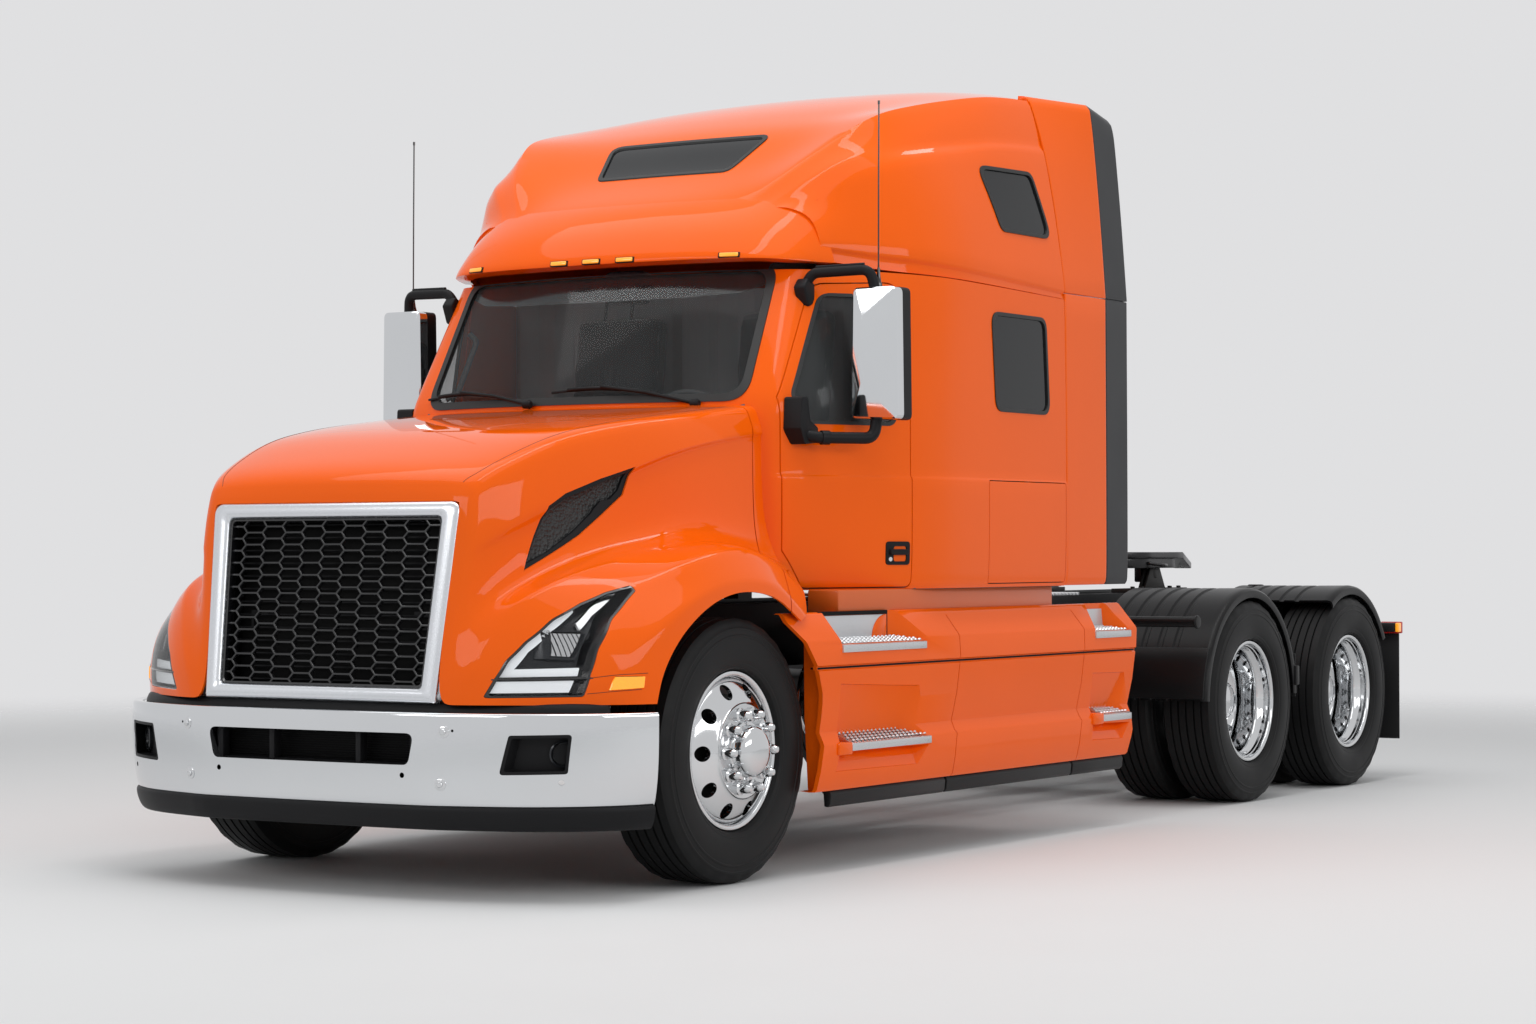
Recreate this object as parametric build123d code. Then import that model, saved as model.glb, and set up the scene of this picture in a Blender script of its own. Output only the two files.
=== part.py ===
"""Semi truck tractor unit with a sleeper cab: every piece as its own closed solid.

The model is drawn in an axle frame: X forward from the front axle, Y to the vehicle's
left, Z up from the ground. The last step moves it so that the row's origin lies on the
ground under the middle of the overall length. All sizes are in millimetres.
"""
import math
import os

from build123d import *

# ---------------------------------------------------------------- driving dimensions
FRONT_OVERHANG = 1112      # front axle to the bumper's front face
AXLE_TO_DRIVE = 4645       # front axle to the first drive axle
TANDEM_SPREAD = 1300       # first to second drive axle
TAIL_OVERHANG = 690        # second drive axle to the tail
GROUND_TO_AXLE = 500       # height of every wheel centre
RUN_CLEARANCE = 0.05       # radial play of a wheel or pivot on its shaft
PANEL_GAP = 5.5            # open joint between a moving panel and its frame

TYRE_RADIUS = 500
TYRE_WIDTH = 286
RIM_RADIUS = 300           # outside of the rim's flange
RIM_BEAD_RADIUS = 284      # where the tyre sits
RIM_WIDTH = 234            # over both flanges
RIM_WALL = 9
FLANGE_THICKNESS = 12
SEAT_GAP = 0.3             # play between faces that lie on each other
DISC_OFFSET = 168          # rim centre to the disc's mating face
DISC_THICKNESS = 22
HAND_HOLES = 10
HAND_HOLE_RADIUS = 29
HAND_HOLE_CIRCLE = 213
STEER_TYRE_Y = 1018        # middle of a steered tyre
DUAL_FACE_Y = 907          # where the two discs of a dual pair meet
HUB_RADIUS = 112
HUB_CAP_RADIUS = 72
SPINDLE_RADIUS = 45
KINGPIN_Y = 850
KINGPIN_RADIUS = 24

RAIL_OUTER_Y = 430
RAIL_WEB = 12
RAIL_FLANGE = 80
RAIL_TOP = 1030
RAIL_BOTTOM = 760
RAIL_FRONT = 925
RADIATOR_FRONT = RAIL_FRONT - 85
RADIATOR_DEPTH = 90
ENGINE_FRONT = RADIATOR_FRONT - RADIATOR_DEPTH - 45

SILL = 1090                # underside of the cab
BELT = 1844                # base of the windscreen
SEAM = 2392                # joint between cab and roof fairing
WALL = 50                  # cab wall thickness
FLOOR = 50
SLEEPER_BACK = -2570
SLEEPER_HALF_WIDTH = 1220

HOOD_WALL = 30
HOOD_BOTTOM = 702
ARCH_RADIUS = 595
ARCH_X = 20
ROOF_WALL = 30

BUMPER_TOP = 676
BUMPER_BOTTOM = 335
BUMPER_WALL = 12
BUMPER_MOUNT = (430, 465)    # z of the plates that carry it
BUMPER_END = 650
DAM_BOTTOM = 252

SKIRT_TOP = 1008
SKIRT_BOTTOM = 316
SKIRT_OUTER_Y = 1238
SKIRT_REAR = -3250
TRIM_BOTTOM = 252

HOOD_PIVOT = (972, 728)    # x, z of the hood's hinge line
HINGE_PIN_RADIUS = 14
HINGE_EAR_RADIUS = 22
HINGE_EAR_Y = (396, 426)
HINGE_LUG_Y = (362, 390)


# ---------------------------------------------------------------- shape helpers
def block(x0, x1, y0, y1, z0, z1):
    """Box between two corners."""
    size = (abs(x1 - x0), abs(y1 - y0), abs(z1 - z0))
    middle = ((x0 + x1) / 2, (y0 + y1) / 2, (z0 + z1) / 2)
    return Location(middle) * Box(*size)


def side_prism(points, y0, y1):
    """Outline of (x, z) points, extruded from y0 to y1."""
    face = make_face(Polyline(*[(x, y0, z) for x, z in points], close=True))
    return extrude(face, amount=y1 - y0, dir=(0, 1, 0))


def plan_prism(points, z0, z1):
    """Outline of (x, y) points, extruded from z0 to z1."""
    face = make_face(Polyline(*[(x, y, z0) for x, y in points], close=True))
    return extrude(face, amount=z1 - z0, dir=(0, 0, 1))


def cross_prism(points, x0, x1):
    """Outline of (y, z) points, extruded from x0 to x1."""
    face = make_face(Polyline(*[(x0, y, z) for y, z in points], close=True))
    return extrude(face, amount=x1 - x0, dir=(1, 0, 0))


def mirrored(shape):
    """The same shape on the vehicle's other side."""
    return shape.mirror(Plane.XZ)


def pair(shape):
    """A left-hand shape with its right-hand twin."""
    return [shape, mirrored(shape)]


def rod(start, end, radius):
    """Round bar between two points."""
    a, b = Vector(*start), Vector(*end)
    plane = Plane(origin=a, z_dir=b - a)
    return extrude(plane * Circle(radius), amount=(b - a).length)


def across(x, z, radius, y0, y1):
    """Cylinder along Y."""
    return rod((x, y0, z), (x, y1, z), radius)


def turned(points, x, z):
    """Closed (radius, y) outline turned about the Y axis through (x, z)."""
    face = make_face(Polyline(*[(r, y, 0) for r, y in points], close=True))
    ring = revolve(face, axis=Axis.Y, revolution_arc=360)
    return Location((x, 0, z)) * ring


def rounded_side(x0, x1, z0, z1, radius, y0, y1):
    """Rounded rectangle in side view, extruded from y0 to y1."""
    body = block(x0, x1, y0, y1, z0, z1)
    return fillet(body.edges().filter_by(Axis.Y), radius)


def half_loft(levels, closing):
    """Ruled loft through half outlines that are mirrored about Y = 0.

    levels holds (height or station, points), and closing turns it and one point
    into a 3-D point.
    """
    wires = []
    for place, points in levels:
        left = [closing(place, a, b) for a, b in points]
        right = [(p[0], -p[1], p[2]) for p in reversed(left) if abs(p[1]) > 1e-6]
        wires.append(make_face(Polyline(*left, *right, close=True)))
    return loft(wires, ruled=True)


# ---------------------------------------------------------------- frame and running gear
def frame():
    """Two channel rails with crossmembers, spring hangers and cab pads."""
    tail = tail_end()
    inner = RAIL_OUTER_Y - RAIL_FLANGE
    web = block(tail, RAIL_FRONT, RAIL_OUTER_Y - RAIL_WEB, RAIL_OUTER_Y, RAIL_BOTTOM, RAIL_TOP)
    top = block(tail, RAIL_FRONT, inner, RAIL_OUTER_Y, RAIL_TOP - RAIL_WEB, RAIL_TOP)
    low = block(tail, RAIL_FRONT, inner, RAIL_OUTER_Y, RAIL_BOTTOM, RAIL_BOTTOM + RAIL_WEB)
    rail = web + top + low
    body = rail + mirrored(rail)
    y = RAIL_OUTER_Y - RAIL_WEB / 2
    member_x = (RADIATOR_FRONT + 40, -1250, -2200, -3150, -3900, -5250, tail + TAIL_MEMBER_INSET + 40)
    for x in member_x:
        body += block(x - 40, x + 40, -y, y, RAIL_BOTTOM + 40, RAIL_TOP - 40)
    for x in CAB_PAD_X:
        pad = block(x - 60, x + 60, inner, RAIL_OUTER_Y, RAIL_TOP - 2, SILL)
        body += pad + mirrored(pad)
    for x in FRONT_HANGER_X:
        hanger = block(x - 35, x + 35, inner, RAIL_OUTER_Y, SPRING_TOP, RAIL_BOTTOM + 5)
        body += hanger + mirrored(hanger)
    for axle_x in DRIVE_AXLE_X:
        x = axle_x + ARM_REACH
        hanger = block(x - 50, x + 50, inner, RAIL_OUTER_Y, ARM_Z - 40, RAIL_BOTTOM + 5)
        body += hanger + mirrored(hanger)
    bracket = block(RAIL_FRONT - 120, RAIL_FRONT, inner, RAIL_OUTER_Y, BUMPER_MOUNT[0] - 5, RAIL_BOTTOM + 5)
    body += bracket + mirrored(bracket)
    px, pz = HOOD_PIVOT
    ear_low, ear_high = HINGE_EAR_Y
    r = HINGE_EAR_RADIUS
    ear = block(RAIL_FRONT - 1, px, ear_low, ear_high, pz - r, pz + r) + across(px, pz, r, ear_low, ear_high)
    ear += block(RAIL_FRONT - 60, RAIL_FRONT, ear_low, RAIL_OUTER_Y, pz - r, RAIL_BOTTOM + 5)
    ear += across(px, pz, HINGE_PIN_RADIUS, HINGE_LUG_Y[0], ear_low + 1)
    body += ear + mirrored(ear)
    return body


CAB_PAD_X = (-900, -2400)
FRONT_HANGER_X = (700, -720)
SPRING_TOP = 650
SPRING_THICKNESS = 60
ARM_REACH = 520
ARM_Z = 560
DRIVE_AXLE_X = (-AXLE_TO_DRIVE, -(AXLE_TO_DRIVE + TANDEM_SPREAD))


def front_springs():
    """A leaf pack under each rail, from hanger to hanger."""
    y0, y1 = RAIL_OUTER_Y - RAIL_FLANGE, RAIL_OUTER_Y
    front, rear = FRONT_HANGER_X
    low = AXLE_TOP
    leaf = side_prism(
        [(front + 35, SPRING_TOP), (front + 35, SPRING_TOP - 25), (140, low),
         (-140, low), (rear - 35, SPRING_TOP - 25), (rear - 35, SPRING_TOP),
         (-140, low + SPRING_THICKNESS), (140, low + SPRING_THICKNESS)], y0, y1)
    return pair(leaf)


AXLE_TOP = 560
AXLE_EYE = (455, 545)       # z of the beam's ends round the kingpins
AXLE_EYE_RADIUS = 37


def front_axle():
    """Forged beam that carries the kingpins."""
    y, (low, high) = KINGPIN_Y, AXLE_EYE
    beam = cross_prism(
        [(-y, low), (-y, high), (-560, high), (-500, AXLE_TOP), (500, AXLE_TOP), (560, high),
         (y, high), (y, low), (560, low), (480, low + 5), (-480, low + 5), (-560, low)], -45, 45)
    for side in (1, -1):
        beam += rod((0, side * y, low), (0, side * y, high), AXLE_EYE_RADIUS)
        beam -= rod((0, side * y, 400), (0, side * y, 600), KINGPIN_RADIUS + RUN_CLEARANCE)
    return beam


def knuckle():
    """Left steering knuckle: yoke and kingpin round the beam's end, with the stub axle."""
    y = KINGPIN_Y
    pin = rod((0, y, 395), (0, y, 605), KINGPIN_RADIUS)
    top = block(-50, 50, y - 45, y + 75, 548, 600)
    low = block(-50, 50, y - 45, y + 75, 400, 452)
    back = block(-50, 50, y + 42, y + 75, 400, 600)
    hub_end = STEER_TYRE_Y + DISC_OFFSET - 20
    stub = across(0, GROUND_TO_AXLE, SPINDLE_RADIUS, y + 60, hub_end)
    return pin + top + low + back + stub


def drive_axle(x):
    """Axle tube with its differential housing and stub ends."""
    z = GROUND_TO_AXLE
    reach = DUAL_FACE_Y + 60
    tube = across(x, z, 62, -700, 700)
    stub = across(x, z, SPINDLE_RADIUS, -reach, reach)
    bowl = across(x, z, 205, -70, 70)
    nose = rod((x - 60, 0, z + 40), (x + 330, 0, z + 40), 105)
    flange = across(x, z, 100, 690, 712) + across(x, z, 100, -712, -690)
    return tube + stub + bowl + nose + flange


def rear_suspension(axle_x):
    """Left trailing arm of one drive axle with the air spring above its end."""
    y0, y1 = RAIL_OUTER_Y - RAIL_FLANGE, RAIL_OUTER_Y
    z = ARM_Z
    x0, x1 = axle_x - 360, axle_x + ARM_REACH - 50
    arm = block(x0, x1, y0, y1, z - 35, z + 35)
    seat = block(axle_x - 90, axle_x + 90, y0, y1, GROUND_TO_AXLE + 40, z + 45)
    spring = rod((axle_x - 260, (y0 + y1) / 2, z + 30), (axle_x - 260, (y0 + y1) / 2, RAIL_BOTTOM), 88)
    return (arm + seat + spring) - drive_axle(axle_x)


def driveshafts():
    """Shafts from the gearbox to the first drive axle and on to the second."""
    z = GROUND_TO_AXLE + 40
    first, second = DRIVE_AXLE_X
    main = rod((GEARBOX_BACK, 0, SHAFT_Z), (first + 330, 0, z), 55)
    inter = rod((first - 150, 0, z), (second + 330, 0, z), 45)
    return [main - engine() - drive_axle(first), inter - drive_axle(first) - drive_axle(second)]


GEARBOX_BACK = -1080
SHAFT_Z = 730


def engine():
    """Engine and gearbox as one plain block."""
    block_body = block(-480, ENGINE_FRONT, -325, 325, 700, 1060)
    block_body += block(-420, ENGINE_FRONT, -325, 325, 1050, 1400)
    box = block(GEARBOX_BACK, -470, -200, 200, 620, 900)
    mount = block(200, 380, -345, 345, 800, 1000)
    return block_body + box + mount


def radiator():
    """Cooling pack between the rails, behind the grille."""
    x0, x1 = RADIATOR_FRONT - RADIATOR_DEPTH, RADIATOR_FRONT
    return block(x0, x1, -500, 500, RAIL_TOP + 5, 1385) + block(x0, x1, -345, 345, 640, RAIL_TOP + 10)


def fuel_tank():
    """Left round tank with its two brackets on the rail."""
    y, z, r = 772, 625, 292
    tank = rod((-2700, y, z), (-1480, y, z), r)
    tank = fillet(tank.edges(), 40)
    for x in (-1700, -2480):
        tank += block(x - 40, x + 40, RAIL_OUTER_Y, y - 120, z + 60, z + 330)
    return tank


# ---------------------------------------------------------------- wheels
def tyre(x, y):
    """Road tyre whose middle is at y."""
    half, seat = TYRE_WIDTH / 2, RIM_WIDTH / 2 - FLANGE_THICKNESS - SEAT_GAP
    bead, lip, big = RIM_BEAD_RADIUS, RIM_RADIUS + 2, TYRE_RADIUS
    outline = [(bead, -seat), (lip, -seat), (lip + 10, -seat - 18), (bead + 95, -half), (big - 62, -half + 3),
               (big - 22, -half + 16), (big - 4, -half + 40), (big, 0), (big - 4, half - 40),
               (big - 22, half - 16), (big - 62, half - 3), (bead + 95, half),
               (lip + 10, seat + 18), (lip, seat), (bead, seat)]
    return turned([(r, y + t) for r, t in outline], x, GROUND_TO_AXLE)


def rim(x, y, side):
    """Rim and disc whose rim centre is at y and whose disc lies towards side."""
    half = RIM_WIDTH / 2
    bead, well = RIM_BEAD_RADIUS - SEAT_GAP, RIM_BEAD_RADIUS - 26
    wall, edge = RIM_WALL, half - FLANGE_THICKNESS
    shell = [(RIM_RADIUS, -half), (RIM_RADIUS, -edge), (bead, -edge), (bead - 4, -70),
             (well, -45), (well, 45), (bead - 4, 70), (bead, edge), (RIM_RADIUS, edge),
             (RIM_RADIUS, half), (bead - wall, half), (bead - 4 - wall, 68), (well - wall, 42),
             (well - wall, -42), (bead - 4 - wall, -68), (bead - wall, -half)]
    body = turned([(r, y + side * t) for r, t in shell], x, GROUND_TO_AXLE)
    face, t = DISC_OFFSET, DISC_THICKNESS
    bore = SPINDLE_RADIUS + RUN_CLEARANCE
    disc = [(bore, face), (168, face), (245, 60), (well - 2, 40), (well - 2, 18), (236, 34),
            (160, face - t), (bore, face - t)]
    plate = turned([(r, y + side * d) for r, d in disc], x, GROUND_TO_AXLE)
    for i in range(HAND_HOLES):
        angle = 2 * math.pi * (i + 0.5) / HAND_HOLES
        hx = x + HAND_HOLE_CIRCLE * math.cos(angle)
        hz = GROUND_TO_AXLE + HAND_HOLE_CIRCLE * math.sin(angle)
        low, high = sorted((y + side * 20, y + side * (face + 10)))
        plate -= across(hx, hz, HAND_HOLE_RADIUS, low, high)
    return body + plate


def steer_rim():
    """Front left rim with its hub and hub cap on the stub axle."""
    y = STEER_TYRE_Y
    bore = SPINDLE_RADIUS + RUN_CLEARANCE
    face = y + DISC_OFFSET
    back = KINGPIN_Y + 90
    hub = [(bore, back), (HUB_RADIUS, back), (HUB_RADIUS, face - 1), (bore, face - 1)]
    cap = [(0, face - 8), (HUB_CAP_RADIUS + 30, face - 8), (HUB_CAP_RADIUS + 30, face + 8),
           (HUB_CAP_RADIUS, face + 12), (HUB_CAP_RADIUS - 6, face + 62), (40, face + 74), (0, face + 76)]
    body = rim(0, y, 1)
    return body + turned(hub, 0, GROUND_TO_AXLE) + turned(cap, 0, GROUND_TO_AXLE)


def dual_rims(x):
    """Both left rims of a drive axle with their shared hub."""
    z = GROUND_TO_AXLE
    bore = SPINDLE_RADIUS + RUN_CLEARANCE
    face = DUAL_FACE_Y
    outer = rim(x, face + DISC_OFFSET, -1)
    inner = rim(x, face - DISC_OFFSET, 1)
    hub = turned([(bore, 720), (150, 720), (150, face - 30), (HUB_RADIUS, face - 25), (HUB_RADIUS, face + 40),
                  (bore, face + 40)], x, z)
    end = turned([(0, face + 62), (0, face + 175), (70, face + 175), (92, face + 160), (92, face + 38),
                  (bore, face + 38), (bore, face + 62)], x, z)
    return outer + inner + hub + end


def dual_tyres(x):
    """Both left tyres of a drive axle."""
    return [tyre(x, DUAL_FACE_Y + side * DISC_OFFSET) for side in (1, -1)]


# ---------------------------------------------------------------- cab and sleeper
# plan outlines of the cab's left half as (x, y), at the belt and at the roof seam
CAB_BELT_PLAN = [(-470, 0), (-505, 420), (-615, 831), (-655, 930), (-1290, 1175),
                 (-1600, SLEEPER_HALF_WIDTH), (SLEEPER_BACK, SLEEPER_HALF_WIDTH), (SLEEPER_BACK, 0)]
CAB_SEAM_PLAN = [(-755, 0), (-795, 420), (-905, 797), (-950, 868), (-1290, 1105),
                 (-1600, 1210), (SLEEPER_BACK, SLEEPER_HALF_WIDTH - 3), (SLEEPER_BACK, 0)]


def inset(plan, wall):
    """The plan outline moved in by the wall's thickness, for the hollow of the cab."""
    front, sides, back = [], [], []
    for x, y in plan[:3]:
        front.append((x - wall, max(0, y - wall * 0.7) if y else 0))
    x, y = plan[3]
    sides.append((x - wall * 0.9, y - wall * 0.75))
    for x, y in plan[4:6]:
        sides.append((x, y - wall))
    x, y = plan[6]
    back = [(x + wall, y - wall), (x + wall, 0)]
    return front + sides + back


def cab_solid(wall):
    """Filled cab, smaller by wall all round but open through its floor and top when wall > 0."""
    belt = inset(CAB_BELT_PLAN, wall) if wall else CAB_BELT_PLAN
    seam = inset(CAB_SEAM_PLAN, wall) if wall else CAB_SEAM_PLAN
    low = SILL + FLOOR if wall else SILL
    flat = lambda z, x, y: (x, y, z)
    lower = half_loft([(low, belt), (BELT, belt)], flat)
    upper = half_loft([(BELT, belt), (SEAM, seam)], flat)
    if wall:
        upper += half_loft([(SEAM - 1, seam), (SEAM + 60, seam)], flat)
    return lower + upper


DOOR_OUTLINE = [(-662, 1260), (-662, 1862), (-945, 2335), (-1292, 2352), (-1292, 1096), (-760, 1096)]
DOORWAY_OUTLINE = DOOR_OUTLINE[:5] + [(-748, 1096)]     # a little longer at its low front corner
DOOR_CORNER = (-720, 888)   # the door keeps outside this corner of the front pillar
DOOR_WINDOW = [(-735, 1880), (-770, 1760), (-1215, 1760), (-1225, 2290), (-975, 2290)]
SLEEPER_WINDOW = (-2420, -1900, 1842, 2268)      # x0, x1, z0, z1
UPPER_WINDOW = (-2510, -1985, 2625, 2915)
WINDOW_CORNER = 70
GLASS = 6
GLASS_INSET = 14


def shrink(points, gap):
    """Outline moved towards its middle by gap, for a convex outline."""
    count = len(points)
    area = sum(points[i][0] * points[(i + 1) % count][1] - points[(i + 1) % count][0] * points[i][1]
               for i in range(count))
    turn = 1 if area > 0 else -1
    lines = []
    for i in range(count):
        (x0, z0), (x1, z1) = points[i], points[(i + 1) % count]
        length = math.hypot(x1 - x0, z1 - z0)
        nx, nz = -turn * (z1 - z0) / length, turn * (x1 - x0) / length
        lines.append((nx, nz, nx * x0 + nz * z0 + gap))
    moved = []
    for i in range(count):
        a, b = lines[i - 1], lines[i]
        det = a[0] * b[1] - a[1] * b[0]
        moved.append(((a[2] * b[1] - a[1] * b[2]) / det, (a[0] * b[2] - a[2] * b[0]) / det))
    return moved


def cab_walls():
    """Cab shell before its doors and windows are cut."""
    return cab_solid(0) - cab_solid(WALL)


def windscreen_opening():
    """Prism through the windscreen, seen from the front."""
    return cross_prism([(-790, BELT + 25), (790, BELT + 25), (758, SEAM - 30), (-758, SEAM - 30)], -1000, 0)


def side_band(wall):
    """Left side wall of the cab over its whole height, behind the front pillar's inner corner."""
    belt, seam = inset(CAB_BELT_PLAN, wall), inset(CAB_SEAM_PLAN, wall)
    flat = lambda z, x, y: (x, y, z)
    core = half_loft([(SILL - 1, belt), (BELT, belt)], flat) + half_loft([(BELT, belt), (SEAM, seam)], flat)
    corner = block(DOOR_CORNER[0], 0, 0, DOOR_CORNER[1], SILL - 1, SEAM)
    return (cab_solid(0) & block(SLEEPER_BACK, 0, 0, 1400, SILL, SEAM)) - core - corner


def cab_shell(walls):
    """Cab and sleeper body with floor, back wall, pillars and the sills below the doors."""
    body = walls
    opening = side_band(WALL + PANEL_GAP) & side_prism(DOORWAY_OUTLINE, 600, 1400)
    body -= [opening, mirrored(opening)]
    for side in (1, -1):
        y0, y1 = sorted((side * 700, side * 1400))
        x0, x1, z0, z1 = SLEEPER_WINDOW
        body -= rounded_side(x0, x1, z0, z1, WINDOW_CORNER, y0, y1)
    body -= windscreen_opening()
    sill = block(-2560, -700, 880, 905, SKIRT_TOP - 10, SILL + 2)
    body += sill + mirrored(sill)
    tunnel = block(-560, -400, -360, 360, SILL - 5, 1440)
    body -= tunnel
    return body


def door():
    """Left door panel with its window cut out."""
    panel = side_band(WALL) & side_prism(shrink(DOOR_OUTLINE, PANEL_GAP), 600, 1400)
    x, y = DOOR_CORNER
    panel -= block(x - PANEL_GAP, 0, 0, y + PANEL_GAP, SILL, SEAM)
    panel -= side_prism(DOOR_WINDOW, 700, 1400)
    return panel


def pane(walls, cutter):
    """Glass that fills a window in the walls, a little inside the outer face."""
    hole = walls & cutter
    outer = Location((0, -GLASS_INSET, 0)) * hole
    inner = Location((0, -GLASS_INSET - GLASS, 0)) * hole
    return (outer - inner) & cutter


def door_glass(walls):
    """Left door window."""
    return pane(walls, side_prism(shrink(DOOR_WINDOW, 0.2), 700, 1400))


def windscreen(walls):
    """Laminated windscreen, faceted like its opening."""
    hole = walls & windscreen_opening()
    outer = Location((-GLASS_INSET, 0, 0)) * hole
    inner = Location((-GLASS_INSET - 8, 0, 0)) * hole
    return (outer - inner) & windscreen_opening()


# ---------------------------------------------------------------- roof fairing
# plan outlines of the roof's left half as (x, y), by height
ROOF_LEVELS = [
    (SEAM, [(-680, 0), (-745, 430), (-905, 868), (-1290, 1108), (-1600, 1210), (SLEEPER_BACK, 1217), (SLEEPER_BACK, 0)]),
    (2470, [(-690, 0), (-760, 430), (-935, 865), (-1290, 1106), (-1600, 1205), (SLEEPER_BACK, 1210), (SLEEPER_BACK, 0)]),
    (2600, [(-780, 0), (-840, 430), (-1010, 850), (-1300, 1095), (-1600, 1190), (SLEEPER_BACK, 1200), (SLEEPER_BACK, 0)]),
    (2700, [(-935, 0), (-950, 400), (-1000, 660), (-1320, 1060), (-1600, 1165), (SLEEPER_BACK, 1190), (SLEEPER_BACK, 0)]),
    (2860, [(-1215, 0), (-1220, 340), (-1230, 700), (-1370, 960), (-1600, 1120), (SLEEPER_BACK, 1160), (SLEEPER_BACK, 0)]),
    (3030, [(-1440, 0), (-1445, 420), (-1480, 760), (-1700, 960), (-1900, 1060), (SLEEPER_BACK, 1110), (SLEEPER_BACK, 0)]),
    (3200, [(-1830, 0), (-1840, 450), (-1950, 800), (-2150, 900), (-2300, 985), (SLEEPER_BACK, 1060), (SLEEPER_BACK, 0)]),
    (3290, [(-2130, 0), (-2160, 450), (-2330, 700), (-2420, 800), (-2490, 880), (SLEEPER_BACK, 960), (SLEEPER_BACK, 0)]),
    (3365, [(-2490, 0), (-2500, 200), (-2510, 300), (-2520, 380), (-2535, 460), (SLEEPER_BACK, 520), (SLEEPER_BACK, 0)]),
]


def roof_solid(wall):
    """Roof fairing as a filled form, or its hollow when wall > 0."""
    flat = lambda z, x, y: (x, y, z)
    if not wall:
        return half_loft(ROOF_LEVELS, flat)
    levels = []
    for z, points in ROOF_LEVELS:
        moved = []
        for x, y in points:
            inner_y = max(0, y - wall * 1.3)
            inner_x = x + wall if x == SLEEPER_BACK else x - wall * 1.6
            moved.append((inner_x, inner_y))
        levels.append((z - wall if z > SEAM else z - 1, moved))
    levels[-1] = (levels[-1][0] - 4, levels[-1][1])
    return half_loft(levels[:-1], flat)


SKYLIGHT = [(-1215, -325), (-1215, 325), (-1430, 405), (-1430, -405)]


def roof_fairing(filled):
    """Raised roof with its windows cut, open below into the cab."""
    hollow = roof_solid(ROOF_WALL)
    body = filled - hollow
    body -= plan_prism(SKYLIGHT, 2750, 3200)
    x0, x1, z0, z1 = UPPER_WINDOW
    for side in (1, -1):
        y0, y1 = sorted((side * 900, side * 1400))
        body -= rounded_side(x0, x1, z0, z1, WINDOW_CORNER, y0, y1)
    return body


def roof_glass(filled):
    """Skylight and both upper sleeper windows."""
    cutter = plan_prism(SKYLIGHT, 2750, 3200)
    hole = filled & cutter
    top = (Location((0, 0, -10)) * hole - Location((0, 0, -18)) * hole) & cutter
    x0, x1, z0, z1 = UPPER_WINDOW
    side_cut = rounded_side(x0, x1, z0, z1, WINDOW_CORNER, 900, 1400)
    hole = filled & side_cut
    side = (Location((0, -8, 0)) * hole - Location((0, -14, 0)) * hole) & side_cut
    return [top, side, mirrored(side)]


FAIRING_END = -2990
EXTENDER_END = -3210
EXTENDER_TOP = 3282


def side_fairing(x0, x1, wall):
    """Left panel behind the sleeper as a lower and an upper piece, from x0 back to x1."""
    y, t = SLEEPER_HALF_WIDTH, wall
    lower = cross_prism([(y, SILL - 8), (y, SEAM - 4), (y - t, SEAM - 4), (y - t, SILL - 8)], x1, x0)
    upper = cross_prism([(y - 2, SEAM + 4), (1180, 2860), (1150, EXTENDER_TOP - 30), (1120, EXTENDER_TOP),
                         (1070, EXTENDER_TOP + 8), (1070, EXTENDER_TOP - 32), (1110 - t / 2, EXTENDER_TOP - 60),
                         (1180 - t, 2860), (y - 2 - t, SEAM + 4)], x1, x0)
    return lower, upper


# ---------------------------------------------------------------- hood
# cross-sections of the hood's left half by x:
# (top z), crease (y, z), fender crest (y, z), outer ridge (y, z), lip (y, z), bottom y
HOOD_SECTIONS = [
    (1120, 1480, (560, 1440), (600, 860), (605, 820), (608, 780), 608),
    (1040, 1500, (600, 1470), (650, 930), (690, 880), (700, 820), 705),
    (900, 1560, (625, 1540), (790, 1075), (860, 1000), (960, 860), 975),
    (600, 1690, (700, 1665), (900, 1190), (1080, 1130), (1165, 960), 1180),
    (200, 1775, (775, 1745), (945, 1262), (1145, 1240), (1210, 1130), 1222),
    (-150, 1815, (812, 1785), (940, 1290), (1150, 1262), (1215, 1130), 1230),
    (-700, 1868, (846, 1832), (925, 1250), (1150, 1190), (1225, 1060), 1235),
]


def hood_sections(wall):
    """Section outlines of the hood as (x, [(y, z), ...]) moved in by wall."""
    rows = []
    for x, top, crease, crest, ridge, lip, low_y in HOOD_SECTIONS:
        t = wall
        bottom = HOOD_BOTTOM - (40 if t else 0)
        rows.append((x, [(0, top - t), (crease[0] * 0.6, top - t - (top - crease[1]) * 0.35),
                         (crease[0] - t, crease[1] - t), (crest[0] - t, crest[1] - t * 0.4),
                         (ridge[0] - t, ridge[1] - t), (lip[0] - t, lip[1] - t * 0.2), (low_y - t, bottom)]))
    return rows


def hood_solid(wall):
    """Filled hood with fenders, before its openings."""
    stand = lambda x, y, z: (x, y, z)
    return half_loft(hood_sections(wall), stand)


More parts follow.
